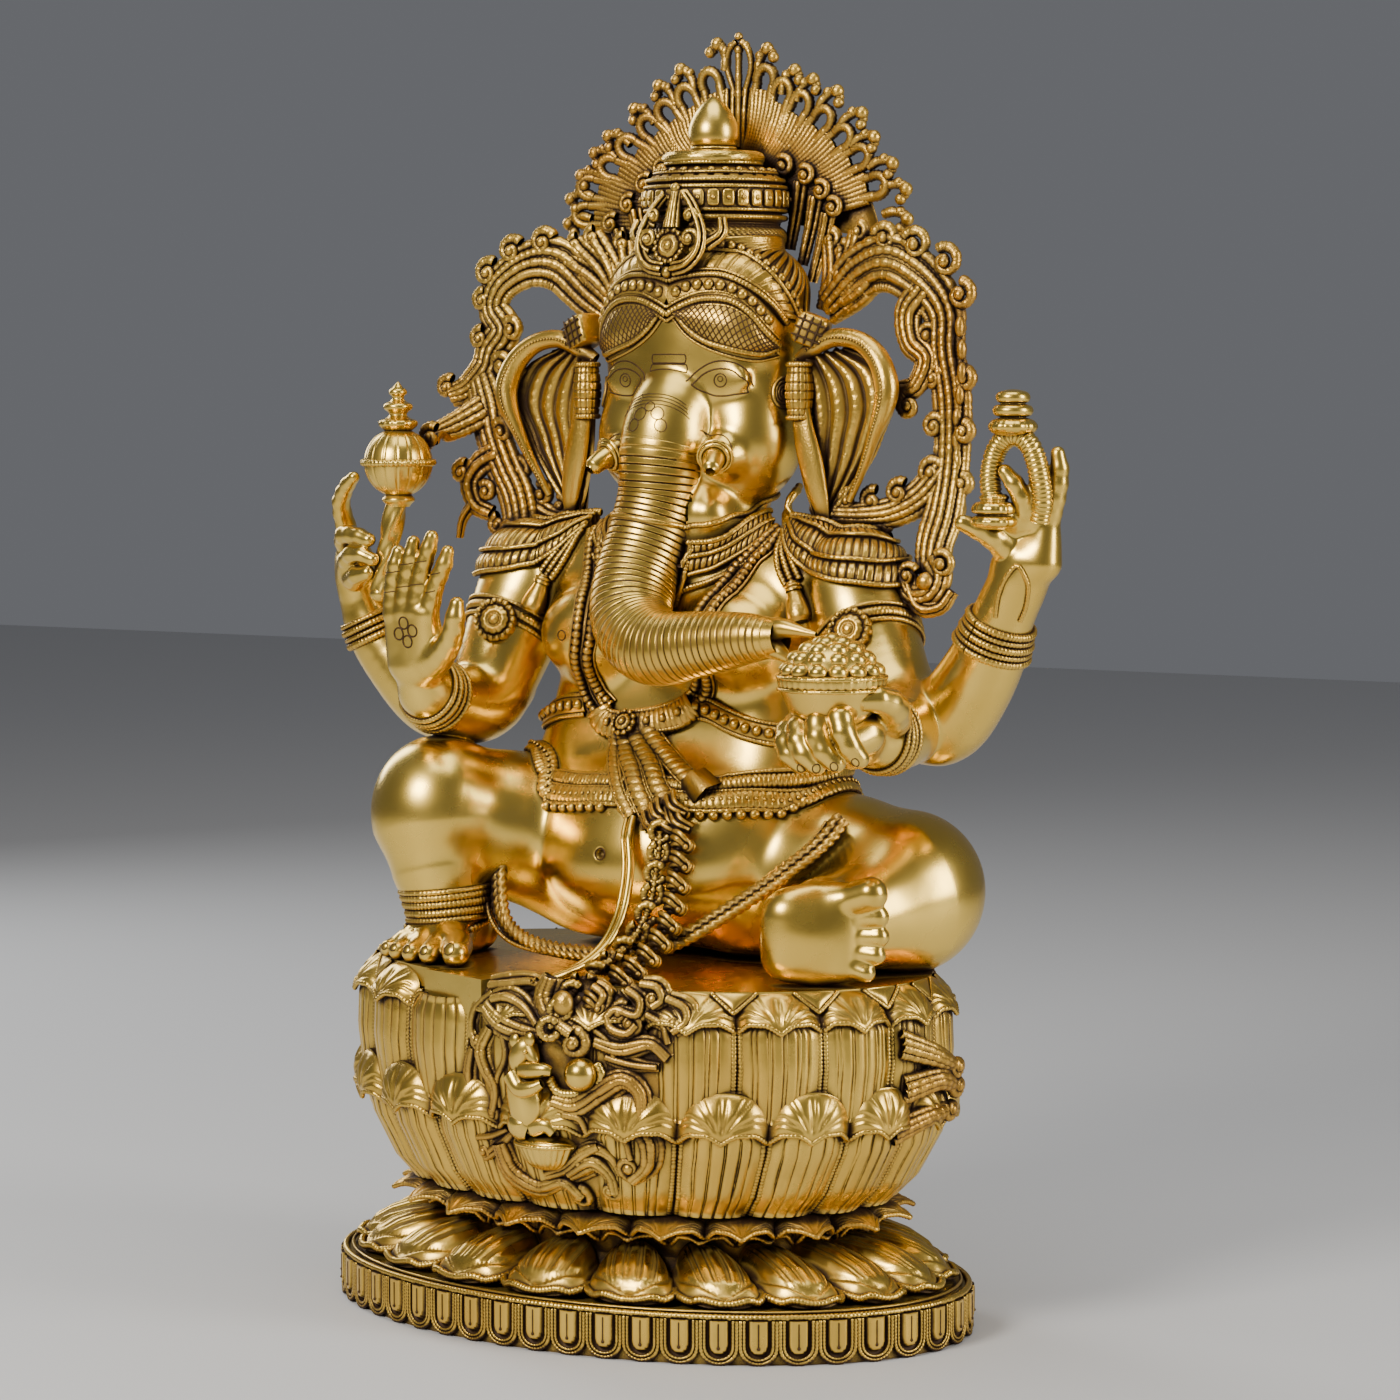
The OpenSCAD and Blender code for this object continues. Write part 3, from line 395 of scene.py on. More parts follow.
def lathe(heap, profile, centre, steps=64, swell=None, squash=(1, 1), axes=None):
    """A turned shape. swell(angle, height) scales it round."""
    p = np.asarray(profile, float)
    a = np.linspace(0, 2 * PI, steps, endpoint=False)
    k = np.ones((len(p), steps)) if swell is None else swell(a[None, :], p[:, 1][:, None])
    v = np.stack([p[:, 0][:, None] * k * np.cos(a) * squash[0],
                  p[:, 0][:, None] * k * np.sin(a) * squash[1],
                  p[:, 1][:, None] * np.ones(steps)], -1).reshape(-1, 3)
    if axes is not None:
        v = v @ np.asarray(axes, float)
    heap.add(v + np.asarray(centre, float), net(len(p), steps, True))


def resample(p, n):
    """A line given again as n evenly spaced points."""
    p = np.asarray(p, float)
    s = run_along(p)
    u = np.linspace(0, s[-1], n)
    return np.stack([np.interp(u, s, p[:, k]) for k in range(p.shape[1])], 1)


def by_index(p, n):
    """A line given again as n points evenly spaced by their order."""
    u = np.linspace(0, 1, n)
    return np.stack([np.interp(u, np.linspace(0, 1, len(p)), p[:, k]) for k in range(3)], 1)


def mirrored(points, side):
    """Points on the idol's left, or their mirror image when side is -1."""
    return [(side * p[0], *p[1:]) for p in points]


def upright_ring(centre, wide, tall, steps):
    """An ellipse facing forward."""
    x, y, z = centre
    return [(x + wide * math.cos(t), y, z + tall * math.sin(t)) for t in np.linspace(0, 2 * PI, steps)]


def circle(centre, radius, count, steps=180):
    """Evenly spaced points round a level circle."""
    a = np.linspace(0, 2 * PI, steps)
    x, y, z = centre
    return resample(np.stack([x + radius * np.cos(a), y + radius * np.sin(a), a * 0 + z], 1), count)


def sheet(heap, grid, thick=2.0, up=None):
    """A surface given as a grid of points, with a back a little below it."""
    g = np.asarray(grid, float)
    n, m = g.shape[:2]
    du = np.gradient(g, axis=0)
    dv = np.gradient(g, axis=1)
    nor = np.cross(du, dv)
    nor /= np.linalg.norm(nor, axis=2, keepdims=True) + 1e-9
    if up is not None:
        nor = np.where((nor @ np.asarray(up, float))[..., None] < 0, -nor, nor)
    back = g - nor * thick
    i, j = np.meshgrid(np.arange(n - 1), np.arange(m - 1), indexing="ij")
    f = np.stack([i * m + j, (i + 1) * m + j, (i + 1) * m + j + 1, i * m + j + 1], -1).reshape(-1, 4)
    o = n * m
    # once round the border of the grid
    edge = [*range(m), *(k * m + m - 1 for k in range(1, n)),
            *((n - 1) * m + k for k in range(m - 2, -1, -1)),
            *(k * m for k in range(n - 2, 0, -1))]
    e = np.array(edge)
    e2 = np.roll(e, -1)
    heap.add(np.concatenate([g.reshape(-1, 3), back.reshape(-1, 3)]),
             np.concatenate([f, f[:, ::-1] + o, np.stack([e, e + o, e2 + o, e2], -1)]))


def turn_axes(tilt_x=0, tilt_y=0, turn_z=0):
    """Row vectors of a rotation, for turning arrays of points."""
    m = Euler((math.radians(tilt_x), math.radians(tilt_y), math.radians(turn_z))).to_matrix()
    return np.array(m).T


def smooth01(x, a, b):
    """A soft step from 0 at a to 1 at b."""
    t = np.clip((x - a) / (b - a), 0, 1)
    return t * t * (3 - 2 * t)


# ---------------------------------------------------------------- the figure, one smooth skin

# The figure is a field of signed distances on a grid of this step, from this corner
STEP = 1.5
LOW = np.array([-292.0, -142.0, 244.0])
SIZE = np.array([626, 276, 500]) / STEP
SHAPE = tuple(int(s) + 1 for s in SIZE)
field = np.full(SHAPE, 40.0, np.float32)
owner = np.zeros(SHAPE, np.uint8)
SKIN = ["torso", "belly", "right_leg", "right_foot", "left_leg", "left_foot", "right_front_arm",
        "right_front_hand", "right_rear_arm", "right_rear_hand", "left_front_arm", "left_front_hand",
        "left_rear_arm", "left_rear_hand", "head", "trunk", "diadem"]
AXIS = [LOW[k] + STEP * np.arange(SHAPE[k], dtype=np.float32) for k in range(3)]


# How far past its own size a shape is worked out, for the blend
REACH = 15


def window(lo, hi):
    """The part of the field that a shape can touch."""
    cut = []
    for k in range(3):
        a = max(0, int((lo[k] - REACH - LOW[k]) / STEP))
        b = min(SHAPE[k], int((hi[k] + REACH - LOW[k]) / STEP) + 2)
        cut.append(slice(a, b))
    return tuple(cut)


def merge(cut, d, name, k, dig=False):
    """Blend a shape into the field, or dig it out, over a width k."""
    old = field[cut]
    if dig:
        h = np.clip(0.5 - 0.5 * (old + d) / k, 0, 1)
        field[cut] = old + (-d - old) * h + k * h * (1 - h)
        return
    own = owner[cut]
    own[d < old] = SKIN.index(name)
    h = np.maximum(k - np.abs(old - d), 0) / k
    field[cut] = np.minimum(old, d) - h * h * k * 0.25


def cap(name, a, b, k=8):
    """A rounded limb from a to b, each x, y, z and radius."""
    a, b = np.asarray(a, np.float32), np.asarray(b, np.float32)
    lo = np.minimum(a[:3] - a[3], b[:3] - b[3])
    hi = np.maximum(a[:3] + a[3], b[:3] + b[3])
    cut = window(lo, hi)
    x, y, z = (AXIS[0][cut[0]][:, None, None], AXIS[1][cut[1]][None, :, None],
               AXIS[2][cut[2]][None, None, :])
    ab = b[:3] - a[:3]
    t = ((x - a[0]) * ab[0] + (y - a[1]) * ab[1] + (z - a[2]) * ab[2]) / max(float(ab @ ab), 1e-6)
    t = np.clip(t, 0, 1)
    d = np.sqrt((x - a[0] - t * ab[0]) ** 2 + (y - a[1] - t * ab[1]) ** 2 + (z - a[2] - t * ab[2]) ** 2)
    merge(cut, d - (a[3] + t * (b[3] - a[3])), name, k)


def limb(name, path, k=8):
    """A limb of many short caps along a smooth line."""
    p = spline(path, 9.0) if len(path) > 2 else np.asarray(path, float)
    for a, b in zip(p[:-1], p[1:]):
        cap(name, a, b, min(k, 4))


def egg(name, c, r, k=12, turn=(0, 0, 0), dig=False):
    """An ellipsoid at c with three radii, turned or not."""
    c, r = np.asarray(c, np.float32), np.asarray(r, np.float32)
    big = r.max() if any(turn) else r
    cut = window(c - big, c + big)
    x, y, z = (AXIS[0][cut[0]][:, None, None] - c[0], AXIS[1][cut[1]][None, :, None] - c[1],
               AXIS[2][cut[2]][None, None, :] - c[2])
    if any(turn):
        m = turn_axes(*turn).astype(np.float32)
        x, y, z = (x * m[i][0] + y * m[i][1] + z * m[i][2] for i in range(3))
    k0 = np.sqrt((x / r[0]) ** 2 + (y / r[1]) ** 2 + (z / r[2]) ** 2)
    k1 = np.sqrt((x / r[0] ** 2) ** 2 + (y / r[1] ** 2) ** 2 + (z / r[2] ** 2) ** 2) + 1e-6
    merge(cut, k0 * (k0 - 1) / k1, name, k, dig)


# trunk of the body
cap("torso", (-56, 60, 440, 44), (56, 60, 440, 44), 20)
cap("torso", (-62, 64, 486, 45), (62, 64, 486, 45), 20)
cap("torso", (-62, 60, 410, 50), (62, 60, 410, 50), 20)
cap("torso", (-105, 60, 506, 35), (105, 60, 506, 35), 20)
for s in (-1, 1):
    egg("torso", (s * 60, 26, 474), (42, 40, 36), 16)
    cap("torso", (s * 40, 60, 530, 26), (s * 96, 60, 520, 26), 18)
cap("torso", (0, 62, 530, 52), (0, 64, 566, 50), 18)
cap("belly", (-48, 36, 334, 66), (48, 36, 334, 66), 18)
egg("belly", (0, 30, 332), (88, 76, 66), 14)
cap("belly", (-72, 52, 374, 50), (72, 52, 374, 50), 16)
cap("belly", (-80, 60, 310, 54), (80, 60, 310, 54), 20)
cap("belly", (-60, 80, 320, 56), (60, 80, 320, 56), 20)
cap("belly", (-72, 84, 294, 40), (72, 84, 294, 40), 24)
egg("belly", (0, 27, 316), (95, 80, 55), 14)
cap("belly", (-56, 46, 296, 40), (56, 46, 296, 40), 14)
egg("belly", (-8, -53, 326), (3.4, 6, 3.2), 3, dig=True)

# raised right leg
egg("right_leg", (-150, -44, 350), (45, 46, 50), 10)
for a, b in (((-150, -47, 336, 43), (-144, -50, 308, 33)), ((-144, -50, 308, 33), (-137, -50, 282, 25)),
             ((-150, -44, 352, 45), (-118, 0, 336, 50)), ((-118, 0, 336, 50), (-84, 44, 312, 54))):
    cap("right_leg", a, b, 12)
cap("right_foot", (-137, -50, 280, 24.5), (-137, -44, 262, 20), 9)
cap("right_foot", (-136, -52, 266, 20), (-112, -84, 259, 12), 10)
cap("right_foot", (-138, -54, 264, 18), (-154, -78, 257, 10), 10)
cap("right_foot", (-134, -60, 262, 16), (-136, -84, 257, 11), 8)
for tip, root in (((-90, -110, 257, 9.4), (-104, -88, 259, 11)),
                  ((-112, -111, 255.5, 7.2), (-120, -88, 258, 8.5)),
                  ((-130, -107, 254.5, 6.8), (-134, -84, 258, 8)),
                  ((-147, -100, 254, 6.4), (-149, -80, 257, 8)),
                  ((-162, -90, 253.5, 6.0), (-161, -74, 256, 7))):
    cap("right_foot", root, tip, 3.0)
cap("right_foot", (-134, -32, 264, 18), (-133, -24, 262, 16), 8)

# folded left leg
cap("left_leg", (60, 50, 306, 58), (128, 48, 307, 57), 14)
cap("left_leg", (128, 48, 307, 57), (176, 52, 304, 52), 14)
egg("left_leg", (180, 48, 301), (50, 54, 53), 12)
cap("left_leg", (182, 40, 298, 47), (166, -28, 286, 33), 14)
egg("left_foot", (170, -58, 283), (34, 17, 35), 8, (0, 0, 33))
cap("left_foot", (152, -66, 296, 17), (150, -64, 268, 17), 9)
cap("left_foot", (186, -50, 306, 12), (186, -50, 263, 11), 9)
cap("left_foot", (162, -34, 285, 31), (162, -48, 284, 27), 10)
for tip, root in (((208, -50, 312, 11.5), (190, -50, 306, 12)),
                  ((211, -46, 296.5, 7.6), (192, -47, 294, 9)),
                  ((211.5, -45, 283, 7.0), (192, -46, 282, 9)),
                  ((209.5, -46, 270.5, 6.8), (190, -47, 272, 9)),
                  ((203.5, -49, 258.5, 6.6), (188, -50, 263, 9))):
    cap("left_foot", root, tip, 2.6)

# front arms
limb("right_front_arm", [(-136, 54, 506, 38), (-141, 46, 488, 35), (-145, 36, 466, 32),
                         (-147, 24, 444, 29.5), (-148, 10, 426, 28.5), (-150, -8, 421, 27),
                         (-150, -26, 423, 25), (-149, -44, 428, 22.5), (-149, -60, 434, 20)])
limb("left_front_arm", [(136, 54, 504, 38), (147, 46, 484, 35), (158, 39, 466, 33), (170, 31, 449, 31.5),
                        (184, 22, 434, 29.5), (199, 10, 424, 28), (206, -8, 420, 26), (210, -26, 418, 24),
                        (212, -46, 418, 22)])
# rear arms leave the front upper arms
limb("right_rear_arm", [(-154, 42, 434, 24), (-166, 40, 422, 25), (-180, 38, 416, 26), (-196, 34, 416, 26),
                        (-210, 31, 420, 25.5), (-222, 28, 430, 24.5), (-233, 25, 442, 23),
                        (-243, 22, 454, 21.5), (-251, 19, 466, 20), (-257, 17, 478, 18.5)])
limb("left_rear_arm", [(176, 38, 440, 27), (186, 36, 430, 27), (198, 34, 424, 28), (212, 30, 421, 28.5),
                       (225, 26, 426, 28), (236, 22, 436, 27), (246, 18, 447, 26), (255, 14, 458, 25),
                       (262, 11, 468, 24), (269, 8, 480, 23)])

# right front hand, raised palm
h = "right_front_hand"
cap(h, (-149, -60, 436, 18), (-148, -72, 450, 16), 8)
for a, b in (((-156, -76, 456, 13), (-158, -86, 490, 8)), ((-146, -77, 456, 14), (-146, -87, 492, 8)),
             ((-137, -78, 456, 13), (-135, -88, 492, 8)), ((-130, -80, 460, 11), (-128, -88, 490, 7.5))):
    cap(h, a, b, 7)
egg(h, (-148, -76, 470), (19, 10, 26), 8)
for path in ([(-159, -87, 490, 7), (-157, -89, 510, 6.2), (-153, -91, 526, 5.6), (-151, -91, 534, 4.6)],
             [(-148, -88, 492, 7), (-145, -90, 514, 6.2), (-140, -91, 532, 5.6), (-138, -91, 541, 4.6)],
             [(-137, -89, 493, 7), (-133, -90, 516, 6.2), (-126, -90, 536, 5.6), (-123, -90, 545, 4.6)],
             [(-127, -88, 491, 7), (-121, -89, 510, 6.0), (-113, -89, 526, 5.6), (-110, -89, 535, 4.4)]):
    limb(h, path, 2.2)
limb(h, [(-138, -76, 452, 12), (-120, -84, 462, 9.5), (-106, -90, 476, 7.5), (-100, -94, 492, 6),
         (-99, -94, 499, 5)], 6)

# right rear hand, pinching the mace handle
h = "right_rear_hand"
limb(h, [(-257, 17, 476, 17.5), (-261, 14, 492, 15.5), (-263, 10, 508, 15), (-264, 8, 520, 14)], 6)
cap(h, (-266, 16, 516, 11), (-258, 0, 518, 12), 6)
cap(h, (-266, 12, 520, 12), (-264, 6, 534, 11), 6)
for path in ([(-268, 12, 528, 8.5), (-272, 8, 548, 7.2), (-270, 0, 564, 6.4), (-258, -8, 577, 5.4),
              (-249, -12, 583, 4.4)],
             [(-266, 4, 530, 8), (-262, -8, 540, 6.8), (-246, -14, 541, 6.2), (-233, -16, 538, 5.2)],
             [(-262, -2, 518, 8), (-252, -14, 526, 6.6), (-240, -18, 528, 5.6), (-228, -18, 524, 5)],
             [(-256, -4, 508, 8), (-246, -12, 512, 6.6), (-234, -16, 514, 5.4)]):
    limb(h, path, 2.2)

# left front hand under the bowl
h = "left_front_hand"
cap(h, (212, -48, 418, 20), (208, -72, 418, 17), 8)
cap(h, (206, -76, 418, 18), (192, -88, 422, 15), 8)
cap(h, (208, -76, 418, 18), (222, -86, 422, 15), 8)
for path in ([(182, -92, 430, 9), (180, -110, 424, 8.5), (186, -121, 412, 8), (196, -121, 404, 7)],
             [(192, -98, 434, 9), (192, -116, 428, 8.5), (198, -124, 414, 8), (208, -122, 404, 7)],
             [(206, -100, 438, 9), (208, -119, 432, 8.5), (213, -125, 417, 8), (222, -121, 406, 7)],
             [(220, -100, 440, 9), (224, -118, 436, 8.5), (230, -121, 421, 8), (236, -115, 409, 7)]):
    limb(h, path, 1.4)
limb(h, [(230, -60, 430, 12), (240, -78, 440, 10), (240, -92, 446, 8.5), (232, -102, 446, 7.5)], 4)
egg(h, (208, -96, 418), (24, 18, 16), 5)

# left rear hand with the noose
h = "left_rear_hand"
limb(h, [(270, 7, 482, 21.5), (279, 4, 500, 19.5), (289, 2, 518, 19), (297, 0, 534, 18)], 6)
cap(h, (286, 2, 532, 14), (294, -2, 560, 10.5), 7)
cap(h, (310, -2, 534, 13), (313, -2, 560, 9), 7)
egg(h, (302, 0, 546), (16, 10, 22), 6)
for path in ([(290, -2, 538, 12), (284, -14, 548, 9), (276, -24, 555, 7.2), (266, -31, 560, 5.6)],
             [(312, -2, 558, 8.5), (320, -4, 576, 7), (324, -5, 594, 6.2), (323, -6, 606, 4.8)],
             [(306, -6, 560, 8.2), (312, -11, 578, 7), (313, -14, 596, 6.2), (311, -14, 608, 4.8)],
             [(299, -8, 560, 8), (303, -16, 574, 7), (298, -22, 588, 6), (293, -23, 594, 5)],
             [(293, -8, 556, 8), (293, -18, 564, 6.4), (288, -26, 570, 5.4), (284, -27, 573, 4.8)]):
    limb(h, path, 2.0)

# head
egg("head", (0, 75, 664), (78, 47, 76), 12)
egg("head", (0, 82, 672), (73, 50, 74), 16)
for s in (-1, 1):
    egg("head", (s * 43, 66, 614), (36, 38, 44), 14)
    egg("head", (s * 30, 52, 690), (36, 24, 34), 14)
    egg("head", (s * 41, 33, 601), (16, 17, 16), 7)
    egg("head", (s * 40, 34.5, 654), (18, 4, 9), 10)
egg("head", (0, 72, 596), (56, 42, 38), 14)
egg("diadem", (0, 78, 716), (74, 52, 40), 10)
cap("head", (0, 56, 690, 27), (0, 52, 650, 26), 20)

TRUNK = np.array([(0, 68, 664, 14), (-1, 48, 645, 25), (-2, 33, 627, 30.5), (-4, 26, 606, 32),
                  (-5, 23, 588, 30.5), (-6, 21, 570, 29.5), (-8, 16, 552, 29.5), (-10, 9, 534, 29.5),
                  (-11, 0, 516, 29.5), (-9, -10, 499, 29), (-3, -18, 485, 28.5), (9, -25, 475, 28),
                  (24, -31, 470, 27), (42, -36, 470, 25), (62, -39, 473, 23),
                  (84, -41, 476, 20.5), (106, -43, 479, 17.5), (122, -44, 480, 14.5), (134, -45, 481, 12)],
                  float)
trunk_line = spline(TRUNK, 6.0)
for a, b in zip(trunk_line[:-1], trunk_line[1:]):
    if b[2] > 604:
        thin = 1.9 * (b[2] < 634)
        cap("head", (*a[:3], a[3] - thin), (*b[:3], b[3] - thin), 7)
    else:
        cap("trunk", (*a[:3], a[3] - 2.5), (*b[:3], b[3] - 2.5), 4)

# neck folds under the chin
cap("torso", (-30, 30, 560, 16), (30, 30, 560, 16), 10)


def sample(arr, p):
    """Trilinear reading of a field at points in millimetres."""
    q = (np.asarray(p, float) - LOW) / STEP
    q = np.clip(q, 0, np.array(SHAPE) - 1.001)
    i = q.astype(int)
    t = q - i
    near = (1 - t, t)
    out = 0
    for dx in (0, 1):
        for dy in (0, 1):
            for dz in (0, 1):
                w = near[dx][:, 0] * near[dy][:, 1] * near[dz][:, 2]
                out = out + w * arr[i[:, 0] + dx, i[:, 1] + dy, i[:, 2] + dz]
    return out


def slope(p, e=1.2):
    """Directions out of the skin."""
    p = np.asarray(p, float)
    g = np.stack([sample(field, p + d) - sample(field, p - d) for d in np.eye(3) * e], 1)
    return g / (np.linalg.norm(g, axis=1, keepdims=True) + 1e-9)


def snap(p, lift=0.0, rounds=5):
    """Points pulled on to the skin, lifted off it by a little."""
    p = np.array(p, float)
    for _ in range(rounds):
        g = slope(p)
        p = p - g * (sample(field, p) - lift)[:, None]
    return p


def skin_mesh():
    """The field made into one quad skin and split into its named pieces."""
    band = np.clip(field, -4.5, 4.5)
    grid = openvdb.FloatGrid(4.5)
    grid.copyFromArray(band)
    points, quads = grid.convertToQuads()
    p = points.astype(float) * STEP + LOW
    for _ in range(2):
        p -= slope(p) * np.clip(sample(field, p), -0.8, 0.8)[:, None]
    nor = slope(p, 1.6)
    q = quads.astype(int)
    mid = p[q].mean(1)
    inner = np.cross(p[q[:, 1]] - p[q[:, 0]], p[q[:, 2]] - p[q[:, 0]])
    if (inner * nor[q[:, 0]]).sum() < 0:
        q = q[:, ::-1]
    i = np.clip(np.rint((mid - LOW) / STEP).astype(int), 0, np.array(SHAPE) - 1)
    lab = owner[i[:, 0], i[:, 1], i[:, 2]]
    for k, name in enumerate(SKIN):
        sel = q[lab == k]
        if not len(sel) or name == "trunk":
            continue
        used, back = np.unique(sel, return_inverse=True)
        look = (ornate, "engraved_brass") if name == "diadem" else (skin, "polished_brass")
        build("skin_" + name, p[used], back.reshape(-1, 4), look[0], (name,), normals=nor[used])


skin_mesh()

# the trunk, ringed by close grooves
ring_pitch = 5.2
tl = spline(TRUNK, 0.5)
ts = run_along(tl[:, :3])
heap = Heap()


def rings(s):
    """Close grooves that fade out at the brow and the tip."""
    fade = smooth01(s, 34, 48) * (1 - smooth01(s, ts[-1] - 14, ts[-1] - 4))
    u = np.abs(((s / ring_pitch) % 1.0) - 0.5) * 2
    return 1 + fade * (0.008 - 0.066 * smooth01(u, 0.76, 0.96))


tube(heap, tl[:, :3], tl[:, 3] - 1.6 * (1 - smooth01(ts, 34, 52)), 80, ring=rings)
# the finger at the tip and the open nostril under it
tip = spline([(126, -44, 485, 9), (136, -46, 487, 7), (147, -47, 486, 5), (157, -47, 484.5, 3),
              (163, -47, 484, 1.5)], 0.8)
tube(heap, tip, None, 20)
tip = spline([(126, -45, 474, 8), (135, -46, 470, 5.5), (141, -46, 466, 3)], 0.8)
tube(heap, tip, None, 18)
piece("trunk_rings", heap, petal_mat, ("trunk",))


# ---------------------------------------------------------------- plinth and lotus

# Parameter angle round an oval of half width one, and the arc length that goes with it
OT = np.linspace(-2 * PI, 4 * PI, 9001)
OS = np.concatenate([[0], np.cumsum(np.hypot(np.diff(np.cos(OT)), RATIO * np.diff(np.sin(OT))))])
ROUND = float(np.interp(2 * PI, OT, OS) - np.interp(0, OT, OS))
# Angles round the throne where the relief panel is
FRONT_FACET = (math.radians(-128), math.radians(-104))


def even(count, turn=0.0):
    """Parameter angles at equal steps of arc round the oval."""
    s0 = np.interp(0, OT, OS)
    return np.interp(s0 + ROUND * ((np.arange(count) + turn) / count), OS, OT)


def in_facet(t0):
    """Whether a petal stands where the relief panel takes its place."""
    return FRONT_FACET[0] < (t0 + PI) % (2 * PI) - PI < FRONT_FACET[1]


def around(t0, d, a, out, z):
    """A point on the oval of half width a, d along it from parameter t0, moved out from it."""
    t = np.interp(np.interp(t0, OT, OS) + np.asarray(d) / a, OS, OT)
    nx, ny = RATIO * np.cos(t), np.sin(t)
    m = np.hypot(nx, ny)
    return np.stack(np.broadcast_arrays(a * np.cos(t) + nx / m * out, a * RATIO * np.sin(t) + ny / m * out,
                                        z), -1)


def groove(x, at, wide):
    """How deep a fine line is at x."""
    return np.exp(-((x - at) / wide) ** 2)


# Half width and height up the side of the throne
BOWL = np.array([(150, 62), (152, 74), (165, 86), (188, 108), (205, 138),
                 (213, 168), (217, 196), (216, 220), (210, 240)], float)


def bowl_a(z):
    """Half width of the throne's bowl at one height."""
    return np.interp(z, BOWL[:, 1], BOWL[:, 0])


def petal_grid(n, m):
    """Shares along a petal, 0 to 1, and across it, -1 to 1."""
    return np.linspace(0, 1, n)[:, None], np.linspace(-1, 1, m)[None, :]


def petal_body(heap, rope_heap, t0, z0, z1, w0, w1, push, seed):
    """A fluted petal standing on the bowl, with a roped border."""
    v, s = petal_grid(14, 68)
    z = z0 + (z1 - z0) * v
    w = w0 + (w1 - w0) * np.sin(v * PI / 2) ** 0.8
    corner = 1 - 0.26 * smooth01(v, 0.80, 1.0) ** 2
    d = s * w * corner
    dome = 8.0 * (1 - np.abs(s) ** 2.4)
    cut = 0
    for at in (-0.60, -0.52, -0.27, -0.20, 0.05, 0.12, 0.36, 0.43, 0.62):
        at2 = at + 0.02 * math.sin(seed * 7 + at * 20)
        cut = cut + groove(s, at2 * (1 + 0.10 * v), 0.020)
    out = push + dome - 1.8 * cut
    grid = around(t0, d, bowl_a(z), out, z)
    sheet(heap, grid, 2.5)
    for side in (-1, 1):
        zz = np.concatenate([np.linspace(z0, z1 - 9, 30),
                             z1 - 9 + 9 * np.sin(np.linspace(0.15, 1, 8) * PI / 2)])
        vv = (zz - z0) / (z1 - z0)
        ww = (w0 + (w1 - w0) * np.sin(vv * PI / 2) ** 0.8)
        ww[30:] -= 9 * (1 - np.cos(np.linspace(0.15, 1, 8) * PI / 2))
        for off, r in ((0.8, 2.7), (5.6, 1.5)):
            line = around(t0, side * (ww - off), bowl_a(zz), push + 2.4 - off * 0.1, zz)
            ringed(rope_heap, spline(line, 0.85), r, 2.5, 0.24, 7)


def petal_cap(heap, rope_heap, t0, zc, half, rise, reach, push, point=0.0, dip=5.0, level=None):
    """The folded tip of a petal: a small dome with rays and a scalloped, roped lip."""
    def lip_height(x):
        return zc - dip * np.clip(1 - np.abs(x) / 0.34, 0, 1) ** 1.5 - 6.5 * smooth01(np.abs(x), 0.62, 1.0)

    v, s = petal_grid(26, 56)
    top = zc + rise * np.sqrt(np.clip(1 - np.abs(s) ** 2.3, 0, 1))
    edge = lip_height(s)
    z = top + (edge - top) * v
    swell = np.sin(v * PI / 2) ** 0.75 * (1 - np.abs(s) ** 2.6) ** 0.8
    out = push + reach * swell + point * v ** 2 * np.clip(1 - np.abs(s) / 0.5, 0, 1) ** 1.4
    rise_here = (z - edge) / rise
    ray = np.arctan2(s, rise_here * 0.9 + 1e-3)
    far = np.sqrt(s ** 2 + rise_here ** 2)
    cut = 0
    for at in (-1.22, -1.05, -0.66, -0.54, -0.07, 0.07, 0.54, 0.66, 1.05, 1.22):
        cut = cut + np.exp(-((ray - at) * np.maximum(far, 0.2) / 0.035) ** 2)
    out = out - 1.3 * cut * smooth01(far, 0.16, 0.4) * (1 - smooth01(far, 0.85, 1.1))
    a = bowl_a(z) if level is None else level
    grid = around(t0, s * half, a, out, z)
    sheet(heap, grid, 2.6)
    lip = np.linspace(-1, 1, 60)
    le = lip_height(lip)
    pull = np.clip(1 - np.abs(lip) / 0.5, 0, 1) ** 1.4
    lo = push + reach * (1 - np.abs(lip) ** 2.6) ** 0.8 + point * pull
    line = around(t0, lip * half, bowl_a(le) if level is None else level, lo - 0.6, le - 0.6)
    ringed(rope_heap, spline(line, 0.85), 1.9, 2.5, 0.24, 7)


def spaced(first):
    """Where the twenty petals of one row stand, from the first one's angle."""
    return np.radians(first + 18.0 * np.arange(20))


def share(t0, a):
    """Half of one petal's share of the oval at this angle."""
    return 0.5 * a * math.radians(18) * math.sqrt(math.sin(t0) ** 2 + (RATIO * math.cos(t0)) ** 2)


UP, DOWN = spaced(-5), spaced(-16)
heap = Heap()
for i, t0 in enumerate(DOWN):
    half = share(t0, 208)
    petal_body(heap, heap, t0, 93, 158, half * 0.76, half * 0.95, 4.6, i)
    petal_cap(heap, heap, t0, 154, half * 1.06, 27, 13, 9.5, 0, 6)
piece("petals_lower", heap, petal_mat, ("lower_petals",))

